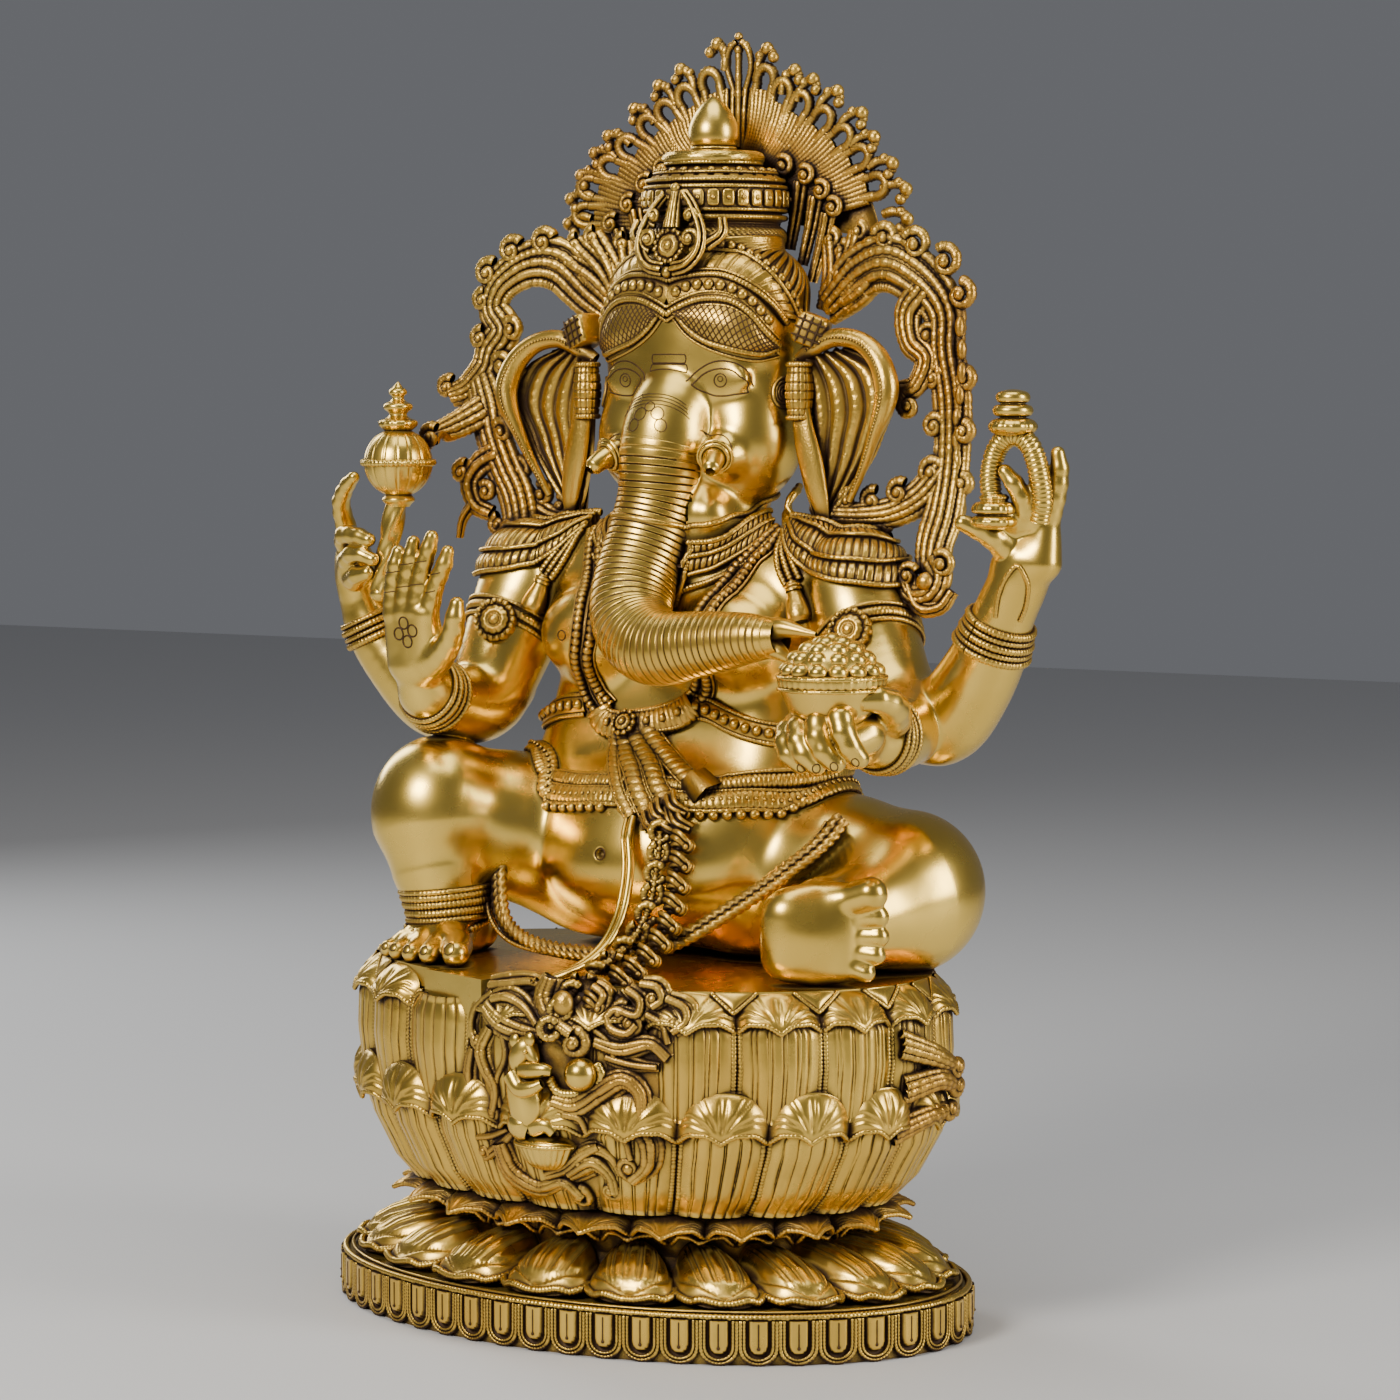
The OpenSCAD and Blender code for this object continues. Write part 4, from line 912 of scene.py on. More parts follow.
heap = Heap()
for i, t0 in enumerate(UP):
    half = share(t0, 217)
    petal_body(heap, heap, t0, 160, 231, half * 0.93, half * 0.95, 2.0, i + 50)
    if not in_facet(t0):
        petal_cap(heap, heap, t0, 228, half * 1.04, 19, 15, 2.0, 0, 6)
for t0 in spaced(4):
    if in_facet(t0):
        continue
    v, s = petal_grid(12, 20)
    out = 2 + 7 * np.sin(v * PI / 2) * (1 - 0.5 * s * s)
    grid = around(t0, s * 15 * (1 - v) ** 0.8, 211, out, 247.4 - 13 * v ** 1.1)
    sheet(heap, grid, 2.4)
    lip = np.linspace(-1, 1, 24)
    line = around(t0, lip * 15, 211, 3 + 6.4 * (1 - np.abs(lip)), 247 - 13 * (1 - np.abs(lip)) ** 0.9)
    ringed(heap, spline(line, 0.85), 1.6, 2.5, 0.24, 7)
piece("petals_upper", heap, petal_mat, ("upper_petals",))

# short leaves round the waist
heap = Heap()
for t0 in spaced(-8):
    petal_cap(heap, heap, t0, 83, share(t0, 180), 9, 17, 4, 9, 3.5, 170)
for t0 in spaced(1):
    petal_cap(heap, heap, t0, 76, share(t0, 170) * 0.9, 8, 9, 2, 5, 3.0, 160)
piece("petals_waist", heap, aged, ("waist_petals",))

# large petals lying on the plinth
heap = Heap()
PETAL_MIDDLE = 0.55
LAY = np.array([(150, 70), (172, 68.5), (190, 65), (205, 60), (218, 52.5), (226, 44), (230, 38)], float)
LAY_S = np.concatenate([[0], np.cumsum(np.hypot(*np.diff(LAY, axis=0).T))])
LAY_S /= LAY_S[-1]


def laid_width(v):
    """Width of a laid petal: widening to its middle, then a round tip."""
    tip = 1 - (np.clip(v - PETAL_MIDDLE, 0, 1) / 0.452) ** 2.5
    return np.where(v < PETAL_MIDDLE, 0.66 + 0.34 * np.sin(v / PETAL_MIDDLE * PI / 2),
                    np.sqrt(np.clip(tip, 0, 1)))


def tip_steps(start, body_points, tip_points):
    """Shares along a petal's edge, closer together round its tip."""
    tip = (1 - PETAL_MIDDLE) * np.sin(np.linspace(0, 1, tip_points)[1:] * PI / 2)
    return np.concatenate([np.linspace(start, PETAL_MIDDLE, body_points), PETAL_MIDDLE + tip])


for t0 in spaced(-17):
    full = share(t0, 212)
    v, s = petal_grid(34, 54)
    half = full * laid_width(v)
    a = np.interp(v, LAY_S, LAY[:, 0])
    z = np.interp(v, LAY_S, LAY[:, 1])
    z = z - (z - 35) * 0.75 * np.abs(s) ** 3.0
    cut = 0
    for at in (-0.50, -0.40, -0.16, -0.07, 0.16, 0.25, 0.46, 0.55):
        cut = cut + groove(s, at, 0.022)
    cut = cut * smooth01(v, 0.02, 0.2) * (1 - smooth01(v, 0.70, 0.84))
    z = z - 2.2 * cut
    from_middle = np.hypot(s, (v - 0.45) / 0.55 * (v > 0.45))
    z = z - 2.6 * groove(from_middle, 0.83, 0.035)
    grid = around(t0, s * half, a, 0, z)
    sheet(heap, grid, 3, (0, 0, 1))
    edge_v = tip_steps(0.05, 14, 22)
    eh = full * laid_width(edge_v)
    ea = np.interp(edge_v, LAY_S, LAY[:, 0])
    ez = np.interp(edge_v, LAY_S, LAY[:, 1])
    ez = ez - (ez - 35) * 0.75 * (1 - smooth01(edge_v, 0.86, 1.0)) + 1.5
    ez = np.maximum(ez, 37.5)
    left = around(t0, -eh, ea, 1, ez)
    right = around(t0, eh, ea, 1, ez)
    rim_line = np.concatenate([left, right[::-1][1:]])
    ringed(heap, spline(rim_line, 0.8), 2.7, 2.3, 0.2, 8)
piece("petals_plinth", heap, petal_mat, ("plinth_petals",))

# tongues round the foot band
heap, marks = Heap(), Heap()
for t0 in even(48, 0.4):
    v, s = petal_grid(22, 30)
    wide = 12.9 * np.sqrt(np.clip(1 - (np.clip(v - 0.55, 0, 1) / 0.452) ** 2.4, 0, 1))
    z = 30.5 - 30.1 * v
    rad = np.hypot(s * wide / 12.9, np.clip(v - 0.55, 0, 1) / 0.45)
    out = 2.6 - 2.4 * np.exp(-((rad - 0.58) / 0.11) ** 2) + 2.2 * (rad < 0.47)
    sheet(heap, around(t0, s * wide, 240, out, z), 3)
    b = tip_steps(0, 10, 12)
    for size, r in ((0.93, 1.5), (0.74, 1.2)):
        bw = 12.9 * size * np.sqrt(np.clip(1 - (np.clip(b - 0.55, 0, 1) / 0.4505) ** 2.4, 0, 1))
        bz = 30.5 - 30.1 * (np.minimum(b, PETAL_MIDDLE) + np.clip(b - PETAL_MIDDLE, 0, 1) * size)
        line = np.concatenate([around(t0, -bw, 240, 3.0, bz), around(t0, bw, 240, 3.0, bz)[::-1][1:]])
        ringed(heap, spline(line, 0.8), r, 2.4, 0.28, 7)
    tube(marks, around(t0, 0, 240, 4.9, np.linspace(28.5, 13, 6)), 0.42, 6)
    blob(marks, around(t0, 0, 240, 4.9, 12.0), 1.1)
piece("band_tongues", heap, petal_mat, ("plinth_arcade",))
piece("band_marks", marks, line_mat)

# roped rim over the band
heap = Heap()
edge_t = even(600)
line = around(edge_t, 0, 239.5, 1.4, 32.2)
line = np.concatenate([line, line[:1]])
ringed(heap, spline(line, 0.9), 2.3, 3.0, 0.22, 9)
line = around(edge_t, 0, 234, 1, 34.6)
ringed(heap, spline(np.concatenate([line, line[:1]]), 1.2), 1.3, 3.0, 0.1, 7)
piece("rim_rope", heap, petal_mat, ("plinth_rim",))


# ---------------------------------------------------------------- scrollwork tools


def volute(heap, at, size, start, turns=1.3, r0=3.2, r1=1.6, hand=1):
    """A spiral scroll in the X-Z plane, from its outer end in to a round eye."""
    a = np.linspace(0, turns * 2 * PI, int(26 * turns) + 8)
    grow = size * (1 - 0.80 * a / a[-1])
    x = at[0] + grow * np.cos(start + hand * a)
    z = at[2] + grow * np.sin(start + hand * a)
    y = at[1] - 3.0 * np.sin(a / a[-1] * PI / 2)
    rad = r0 + (r1 - r0) * a / a[-1]
    line = spline(np.stack([x, y, z], 1), 1.0)
    share_of = np.linspace(0, 1, len(rad))
    ringed(heap, line, np.interp(np.linspace(0, 1, len(line)), share_of, rad), 2.4, 0.14, 8)
    blob(heap, (at[0], at[1] - 3.4, at[2]), size * 0.30 + 1.2)


def facing(line):
    """One forward direction for each point of a line."""
    return np.broadcast_to((0, -1.0, 0), (len(line), 3)).copy()


def bundle(heap, path, wide, ribs=4, r=2.8, pitch=2.4, lift=3.0, taper=0.5):
    """Combed ribs running side by side along a line, spread in the X-Z plane."""
    p = spline(path, 1.4)
    t = np.gradient(p[:, :3], axis=0)
    t /= np.linalg.norm(t, axis=1, keepdims=True) + 1e-9
    side = np.stack([t[:, 2], np.zeros(len(t)), -t[:, 0]], 1)
    side /= np.linalg.norm(side, axis=1, keepdims=True) + 1e-9
    u = np.linspace(0, 1, len(p))
    w = wide * (1 - taper * u) if np.isscalar(wide) else np.interp(u, np.linspace(0, 1, len(wide)), wide)
    for k in range(ribs):
        f = (k / (ribs - 1) - 0.5) * 2 if ribs > 1 else 0
        line = p[:, :3] + side * (f * w)[:, None]
        line[:, 1] -= lift * (1 - f * f)
        rr = r * (0.55 + 0.45 * w / max(w.max(), 1e-6))
        ringed(heap, line, rr, pitch, 0.16, 8)
    line = p[:, :3] + np.array([0, 0.6, 0])
    tube(heap, line, np.maximum(w * 0.96, r * 0.8), 12, up=facing(line), flat=0.34)


def leaf_spray(heap, root, tips):
    """Curled leaves fanning from one root."""
    for tip in tips:
        a, b = np.array(root, float), np.array(tip, float)
        mid = (a + b) / 2 + np.array([(b[2] - a[2]) * 0.10, -4, -(b[0] - a[0]) * 0.10])
        bundle(heap, [a, mid, b], 7.0, 3, 4.2, taper=0.2)
        hand = 1 if b[0] > a[0] else -1
        volute(heap, (b[0], b[1] - 1, b[2]), 6.4, PI / 2, 1.1, 4.0, 2.2, -hand)


# ---------------------------------------------------------------- halo crest
heap = Heap()
HEART = np.array([0.0, 772.0])
HOLES = {1: [(22, 867), (36, 857), (51, 848), (69, 837), (85, 824), (99, 810), (113, 790)],
         -1: [(-24, 866), (-44, 856), (-61, 846), (-76, 836), (-94, 822), (-110, 808), (-128, 794),
              (-132, 774)]}
TIPS = {1: [(24, 889), (47, 873), (62, 866), (82, 857), (102, 841), (112, 824), (127, 805), (138, 787),
            (139, 766), (140, 750)],
        -1: [(-18, 894), (-49, 877), (-68, 866), (-89, 850), (-112, 831), (-124, 819), (-136, 803),
             (-145, 786), (-147, 768)]}
for s in (1, -1):
    for k, (hx, hz) in enumerate(HOLES[s]):
        h = np.array([hx, hz], float)
        out = (h - HEART) / np.linalg.norm(h - HEART)
        side = np.array([out[1], -out[0]])
        a = np.linspace(-0.62 * PI, 0.62 * PI, 26)
        ring = h + np.outer(np.cos(a), out) * 9.2 + np.outer(np.sin(a), side) * 7.4
        foot0, foot1 = ring[0] - out * 16, ring[-1] - out * 16
        line = np.concatenate([[foot0], ring, [foot1]])
        y = 119 - 2 * np.sin(np.linspace(0, PI, len(line)))
        ringed(heap, spline(np.stack([line[:, 0], y, line[:, 1]], 1), 1.2), 4.1, 2.4, 0.16, 8)
        # ribs below each opening, running in toward the crown
        for f in (-2.0, -1.2, -0.4, 0.4, 1.2, 2.0):
            p0 = h - out * 7.5 + side * f * 4.6
            p1 = HEART + (h - HEART) * 0.42 + side * f * 2.2
            p2 = HEART + (h - HEART) * 0.72 + side * (f * 3.6 + s * 3.0)
            ringed(heap, spline([(p0[0], 119, p0[1]), (p2[0], 116.5, p2[1]), (p1[0], 118, p1[1])], 1.3),
                   3.3, 2.6, 0.18, 8)
    for k, (tx, tz) in enumerate(TIPS[s]):
        t = np.array([tx, tz], float)
        out = (t - HEART) / np.linalg.norm(t - HEART)
        side = np.array([out[1], -out[0]]) * s
        base = t - out * 20
        hook = [base - side * 3, base + out * 8 - side * 5, t - out * 3 - side * 3,
                t - out * 1.0 + side * 2.0, t - out * 5 + side * 5.5]
        ringed(heap, spline([(q[0], 118, q[1]) for q in hook], 1.1), 3.9, 2.4, 0.15, 8)
        blob(heap, (t[0], 117, t[1]), 5.0)
        e = t - out * 5 + side * 6.5
        blob(heap, (e[0], 116.5, e[1]), 4.3)
        e = t - out * 6 - side * 5.5
        blob(heap, (e[0], 117.5, e[1]), 3.8)
for at, size, hand in (((41, 805), 7.5, -1), ((59, 798), 7, -1), ((72, 787), 7, -1), ((82, 775), 7, -1),
                       ((-77, 795), 7.5, 1), ((-91, 781), 7, 1), ((-106, 767), 7, 1), ((-62, 806), 7, 1)):
    volute(heap, (at[0], 112, at[1]), size, PI / 2 - hand * 0.6, 1.2, 3.2, 2.0, hand)
    bundle(heap, [(at[0] + hand * 5, 113, at[1] - 4), (at[0] * 0.92 + hand * 3, 112, at[1] - 26),
                  (at[0] * 0.80, 110, at[1] - 52)],
           4.2, 3, 2.4, taper=0.4)
for x in (-1, 1):
    ringed(heap, spline([(x * 3, 119, 856), (x * 10, 118, 876), (x * 8, 117, 889), (x * 2, 117, 895)], 1.2),
           2.8, 2.4, 0.15, 8)
    for f in (6, 12, 18):
        ringed(heap, spline([(x * f * 0.9, 119, 868 - f * 0.5), (x * f * 0.8, 117, 845),
                             (x * f * 0.6, 118, 815)], 1.3), 2.4, 2.4, 0.18, 7)
for q in ((0, 898.5, 3.2), (-6, 892, 3.2), (6, 892, 3.2), (0, 889, 3.6)):
    blob(heap, (q[0], 117, q[1]), q[2])
ringed(heap, spline([(0, 117, 890), (0, 117, 860), (0, 118, 820)], 1.3), 2.8, 2.4, 0.16, 8)
# thin web behind the ribs
rim_all = [np.array([0.0, 862.0])]
for h in [*HOLES[-1], *HOLES[1]]:
    reach = np.array(h, float) - HEART
    rim_all.append(HEART + reach * (1 - 9.5 / np.linalg.norm(reach)))
rim_all = sorted(rim_all, key=lambda q: math.atan2(q[0] - HEART[0], q[1] - HEART[1]))
rim_all = np.array([(-116, 752)] + [tuple(q) for q in rim_all] + [(116, 752)], float)
rad = np.linspace(0.36, 1, 10)[:, None, None]
grid = HEART + (rim_all[None] - HEART) * rad
grid = np.concatenate([grid[..., :1], np.full((*grid.shape[:2], 1), 120.5), grid[..., 1:]], -1)
sheet(heap, grid, 3.5, (0, -1, 0))
piece("halo_crest", heap, aged, ("aureole_crest",))

# ---------------------------------------------------------------- scrolling side arms
heap = Heap()
R_PATH = [(89, 95, 706), (115, 92, 728), (142, 88, 735), (171, 85, 720), (187, 84, 700), (189, 82, 674),
          (196, 80, 640), (197, 78, 599), (196, 70, 565), (194, 60, 541), (195, 55, 522)]
bundle(heap, R_PATH, [10, 15, 17, 16, 13, 12, 12, 11, 11, 12, 10], 5, 4.3)
for at, size, start, hand in (((189, 84, 735), 9, 2.2, -1), ((202, 82, 712), 8, 1.6, -1),
                              ((164, 86, 747), 9, 2.6, -1), ((138, 89, 752), 8, 2.8, -1),
                              ((176, 83, 684), 9, -1.6, 1), ((206, 80, 654), 6, 1.6, -1),
                              ((182, 80, 655), 7, 0.4, 1), ((184, 78, 622), 6.5, 0.4, 1),
                              ((183, 76, 590), 8, 0.6, 1), ((208, 76, 618), 5.5, 1.6, -1),
                              ((207, 76, 582), 5.5, 1.6, -1)):
    volute(heap, at, size * 1.2, start, 1.25, 4.6, 2.6, hand)
bundle(heap, [(172, 84, 716), (160, 83, 700), (164, 80, 680), (176, 79, 668), (170, 76, 650),
              (158, 76, 646)], 9, 4, 3.8)
bundle(heap, [(192, 78, 592), (176, 74, 574), (156, 70, 563), (136, 66, 560), (112, 64, 560)], 11, 5, 4.0)
for at, size, start, hand in (((160, 70, 576), 7, 1.0, 1), ((140, 68, 570), 7, 1.2, 1),
                              ((122, 66, 570), 6, 1.2, 1), ((166, 74, 636), 7, 2.0, 1),
                              ((150, 72, 552), 6, -1.2, -1)):
    volute(heap, at, size * 1.2, start, 1.2, 4.3, 2.4, hand)
for k in range(9):
    z = 690 - k * 15.5
    blob(heap, (204 + 2 * math.sin(k), 76, z), 4.4, (0.8, 0.9, 1.7))
# makara head at the foot of the viewer's right arm
bundle(heap, [(194, 56, 530), (202, 50, 520), (198, 46, 508), (184, 46, 506), (176, 47, 514)], 9, 4, 4.2)
volute(heap, (207, 48, 528), 9, 2.2, 1.3, 3.6, 2.0, -1)
volute(heap, (181, 46, 520), 8, 0.5, 1.2, 3.4, 2.0, 1)
bundle(heap, [(176, 50, 526), (190, 44, 500), (206, 46, 499), (214, 50, 510)], 5, 3, 3.2)
blob(heap, (196, 44, 516), 7)
leaf_spray(heap, (86, 100, 702), [(98, 99, 744), (112, 98, 757), (126, 96, 750), (138, 94, 738),
                                  (88, 101, 752)])
piece("scrolls_left_side", heap, aged, ("left_scrolls",))

heap = Heap()
L_PATH = [(-92, 95, 700), (-114, 95, 716), (-138, 92, 737), (-162, 88, 738), (-185, 85, 724),
          (-192, 84, 706), (-181, 82, 690), (-190, 80, 675), (-194, 78, 661), (-208, 76, 647),
          (-222, 74, 642)]
bundle(heap, L_PATH, [10, 14, 16, 16, 13, 11, 10, 11, 11, 10, 6], 5, 4.3)
bundle(heap, [(-198, 76, 655), (-188, 70, 636), (-178, 64, 612), (-166, 60, 590), (-154, 58, 570),
              (-148, 56, 548), (-146, 54, 534)],
       [10, 12, 12, 12, 12, 12, 10], 5, 4.1)
bundle(heap, [(-186, 66, 632), (-200, 54, 622), (-210, 40, 614), (-206, 24, 606)], 9, 4, 4.0)
bundle(heap, [(-170, 60, 600), (-186, 58, 592), (-194, 56, 578), (-188, 56, 562), (-174, 56, 556)],
       7, 3, 4.0)
bundle(heap, [(-158, 60, 572), (-142, 62, 562), (-127, 62, 554), (-112, 64, 552)], 10, 4, 4.0)
bundle(heap, [(-190, 56, 564), (-199, 55, 552), (-202, 55, 538)], 3.4, 3, 2.4, taper=0.7)
for at, size, start, hand in (((-196, 84, 732), 8, 1.0, 1), ((-176, 86, 748), 8, 0.7, 1),
                              ((-150, 89, 754), 8, 0.4, 1), ((-200, 83, 712), 6, 1.4, 1),
                              ((-200, 80, 684), 6, 1.4, 1), ((-172, 80, 690), 7, 2.4, -1),
                              ((-226, 74, 648), 6, 1.0, 1), ((-178, 76, 664), 7, 2.6, -1),
                              ((-204, 74, 630), 6, 1.6, 1), ((-204, 22, 612), 7, 1.0, 1),
                              ((-168, 62, 616), 7, 2.6, -1), ((-200, 56, 586), 6, 1.2, 1),
                              ((-152, 62, 588), 7, 2.2, -1), ((-178, 56, 572), 5.5, 2.4, -1),
                              ((-134, 63, 570), 7, 2.0, -1), ((-158, 55, 545), 7, -2.2, 1),
                              ((-118, 65, 562), 6, 2.0, -1), ((-140, 54, 528), 6, -1.4, 1),
                              ((-168, 57, 548), 6, 1.8, 1)):
    volute(heap, at, size * 1.2, start, 1.2, 4.5, 2.5, hand)
leaf_spray(heap, (-86, 100, 702), [(-98, 99, 744), (-112, 98, 757), (-126, 96, 752), (-138, 94, 742),
                                   (-88, 101, 752)])
piece("scrolls_right_side", heap, aged, ("right_scrolls",))

# ---------------------------------------------------------------- ears
EAR_IN = [(84, 58, 668), (84, 60, 640), (85, 60, 612), (88, 60, 585), (94, 62, 560)]
EAR_OUT = [(120, 66, 676), (148, 66, 664), (158, 64, 640), (148, 66, 616), (138, 66, 594), (122, 66, 564)]
for s, name in ((-1, "right_ear"), (1, "left_ear")):
    heap = Heap()
    a, b = spline(EAR_IN, 1.0), spline(EAR_OUT, 1.0)
    n = 60
    u = np.linspace(0, 1, n)
    a, b = by_index(a, n), by_index(b, n)
    tip = np.array([101.0, 62, 553])
    close = smooth01(u, 0.66, 1.0)[:, None]
    b = b * (1 - close) + tip * close
    a = a * (1 - close * 0.8) + tip * close * 0.8
    m = 72
    w = np.linspace(0, 1, m)[None, :, None]
    grid = a[:, None] * (1 - w) + b[:, None] * w
    fold = np.abs(np.sin(w[..., 0] * PI * 5.5 + 0.4)) ** 0.42
    grid[..., 1] += 1 - 6.0 * fold * (1 - 0.3 * u[:, None]) + 3 * w[..., 0]
    row = np.arange(n)[:, None]
    ridge = np.abs((w[..., 0] * 5.5 + 0.13) % 1 - 0.5) < 0.18
    grid[..., 1] -= 0.5 * (np.sin(row * 1.9) > 0.3) * ridge
    g = grid.copy()
    g[..., 0] *= s
    sheet(heap, g, 4.0, (0, -1, 0))
    rim = [(86, 60, 668, 5), (98, 58, 676, 6), (116, 58, 683, 6.5), (136, 58, 680, 7), (151, 56, 668, 8),
           (159, 54, 650, 8.5), (157, 53, 634, 7.5), (149, 54, 616, 5), (139, 57, 594, 3.4),
           (126, 60, 570, 2.6)]
    rim = [(s * q[0], q[1], q[2], q[3]) for q in rim]
    path = spline(rim, 1.2)
    tube(heap, path, None, 14)
    beads(heap, [(q[0], q[1] - q[3] - 0.2, q[2]) for q in path[8:-6]], 0.9, 2.6)
    edge = b.copy()
    edge[:, 0] *= s
    edge[:, 1] -= 1
    ringed(heap, spline(edge[14:], 1.0), 2.6, 2.4, 0.15, 8)
    inner = [(s * 88, 54, 650, 6), (s * 93, 52, 622, 8), (s * 99, 53, 596, 9.5), (s * 104, 55, 573, 7.5),
             (s * 107, 58, 556, 4), (s * 108, 60, 545, 1.2)]
    inner = spline(inner, 1.2)
    tube(heap, inner, None, 16, up=facing(inner), flat=0.5)
    piece("ear_" + name, heap, ornate, (name,))


# ---------------------------------------------------------------- things laid on the skin


def drape(points, lift=1.0, step=1.0, closed=False):
    """A smooth line laid on the skin."""
    return snap(spline(points, step, closed), lift, 4)


def lay(heap, points, r, lift=1.0, pitch=2.6, depth=0.16, flat=1.0, closed=False, sides=10):
    """A grooved cord or flat band laid on the skin."""
    p = drape(points, lift, 0.8, closed)
    ringed(heap, p, r, pitch, depth, sides, flat, slope(p))


def plain(heap, points, r, lift=0.2, step=1.2, closed=False, sides=7):
    """A smooth thin line on the skin."""
    tube(heap, drape(points, lift, step, closed), r, sides)


def pearls(heap, points, r, lift=2.0, gap=None):
    """A row of beads on the skin."""
    beads(heap, drape(points, lift, 1.0), r, gap)


def ribbed(heap, inner, outer, lift0, lift1, pitch=4.2, deep=1.3, thick=2.5, belly=2.0):
    """A ribbed collar layer between two lines on the skin."""
    a, b = spline(inner, 0.7), spline(outer, 0.7)
    n = max(len(a), len(b))
    a, b = resample(a, n), resample(b, n)
    s = run_along((a + b) / 2)
    m = 9
    rows = []
    for k in range(m):
        w = k / (m - 1)
        p = snap(a * (1 - w) + b * w, lift0 + (lift1 - lift0) * w, 3)
        g = slope(p)
        up = belly * math.sin(w * PI) - deep * (np.cos(2 * PI * s / pitch) > 0.62) * (0.12 < w < 0.9)
        rows.append(p + g * np.reshape(up, (-1, 1)))
    g = np.stack(rows, 1)
    nor = slope(g[:, m // 2])
    v = g.reshape(-1, 3)
    i, j = np.meshgrid(np.arange(n - 1), np.arange(m - 1), indexing="ij")
    f = np.stack([i * m + j, (i + 1) * m + j, (i + 1) * m + j + 1, i * m + j + 1], -1).reshape(-1, 4)
    heap.add(v, f)
    back = (g - nor[:, None] * (thick + lift1)).reshape(-1, 3)
    edge = np.array([k * m + m - 1 for k in range(n)])
    heap.add(np.concatenate([v[edge], back[edge]]),
             [(k, k + n, k + 1 + n, k + 1) for k in range(n - 1)])
    edge = np.array([k * m for k in range(n)])
    heap.add(np.concatenate([v[edge], back[edge]]),
             [(k, k + 1, k + 1 + n, k + n) for k in range(n - 1)])


def hoop(heap, centre, axis, radius, r, lift=1.0, pitch=2.6, depth=0.16, flat=1.0, style="ring"):
    """A ring round a limb, pulled on to its skin."""
    ax = np.asarray(axis, float)
    ax /= np.linalg.norm(ax)
    e1 = np.cross(ax, (0, 0, 1) if abs(ax[2]) < 0.9 else (1, 0, 0))
    e1 /= np.linalg.norm(e1)
    e2 = np.cross(ax, e1)
    a = np.linspace(0, 2 * PI, 90)
    p = np.asarray(centre, float) + radius * (np.cos(a)[:, None] * e1 + np.sin(a)[:, None] * e2)
    q = snap(p, lift, 4)
    q -= ((q - p) @ ax)[:, None] * ax
    far = np.linalg.norm(q - np.asarray(centre, float), axis=1)
    q = np.where((far < radius * 1.45)[:, None], q, p)
    q = resample(q, max(60, int(2 * PI * radius / 0.8)))
    if style == "beads":
        beads(heap, q, r)
    else:
        ringed(heap, q, r, pitch, depth, 9, flat, slope(q) if flat != 1 else None)


def tangent(p):
    """The direction out of the skin at a point, and two directions along it."""
    n = slope(np.array([p], float))[0]
    e1 = np.cross((0, 0, 1.0), n)
    e1 /= np.linalg.norm(e1) + 1e-9
    return n, e1, np.cross(n, e1)


def disc_flower(heap, at, size, lift=2.0, rays=12, normal=None):
    """A round boss with a beaded edge and petals."""
    p = snap(np.array([at], float), lift, 4)[0] if normal is None else np.array(at, float)
    n, e1, e2 = tangent(p)
    if normal is not None:
        n = np.array(normal, float)
        n /= np.linalg.norm(n)
        e1 = np.cross((0, 0, 1.0), n)
        e1 /= np.linalg.norm(e1)
        e2 = np.cross(n, e1)
    ax = np.array([e1, e2, n])
    prof = [(size, -4), (size, 1.5), (size * 0.93, 2.6), (size * 0.80, 2.2), (size * 0.74, 1.2),
            (size * 0.66, 3.0),
            (size * 0.46, 4.6), (size * 0.30, 3.6), (size * 0.24, 4.6), (size * 0.12, 5.8), (0.01, 6.0)]
    lathe(heap, outline(prof), p, 96, lambda a, z: 1 - 0.055 * (np.cos(rays * a) < -0.6), axes=ax)
    m = max(10, int(2 * PI * size * 0.9 / 4.6))
    for k in range(m):
        a = 2 * PI * k / m
        blob(heap, p + size * 0.90 * (math.cos(a) * e1 + math.sin(a) * e2) + n * 2.2, 2.0)


# shoulder capes
T3_OUT = [(82, 44, 546), (90, 36, 537), (98, 31, 530), (112, 28, 522), (135, 18, 517), (154, 21, 514),
          (168, 30, 512), (174, 46, 512), (172, 66, 514), (160, 90, 520), (130, 104, 524), (90, 110, 530)]
T3_IN = [(82, 50, 549), (90, 44, 543), (98, 38, 538), (112, 34, 532), (133, 25, 528), (152, 28, 527),
         (163, 38, 526), (167, 56, 526), (164, 70, 528), (152, 90, 534), (122, 104, 538), (84, 110, 544)]
T2_IN = [(82, 55, 553), (88, 53, 550), (96, 50, 547), (109, 47, 544), (124, 42, 541), (140, 40, 540),
         (153, 50, 538), (158, 60, 536), (154, 72, 538), (140, 88, 542), (114, 100, 546), (80, 108, 552)]
T1_IN = [(81, 58, 557), (86, 57, 555), (93, 57, 553), (104, 54, 551), (116, 54, 549), (130, 52, 547),
         (142, 58, 545), (144, 64, 544), (140, 72, 546), (124, 86, 550), (104, 96, 554), (74, 106, 560)]
for s, name in ((1, "left"), (-1, "right")):
    heap = Heap()
    q3o, q3i, q2i, q1i = (mirrored(line, s) for line in (T3_OUT, T3_IN, T2_IN, T1_IN))
    ribbed(heap, q3i, q3o, 5.0, 3.4, 5.6, 1.8, 2.5, 2.6)
    ribbed(heap, q2i, q3i, 7.2, 5.4, 5.0, 1.6, 2.5, 2.2)
    ribbed(heap, q1i, q2i, 9.2, 7.4, 4.4, 1.4, 2.5, 2.0)
    for line, lift, r in ((q3o, 4.2, 2.0), (q3i, 7.4, 1.8), (q2i, 9.6, 1.8), (q1i, 10.4, 2.4)):
        lay(heap, line, r, lift, 2.4, 0.22)
    inner = [(s * p[0], p[1], p[2] + 6) for p in T1_IN]
    lay(heap, inner, 3.0, 9.0, 3.4, 0.26)
    piece("cape_" + name, heap, ornate, (name + "_shoulder_cape",))

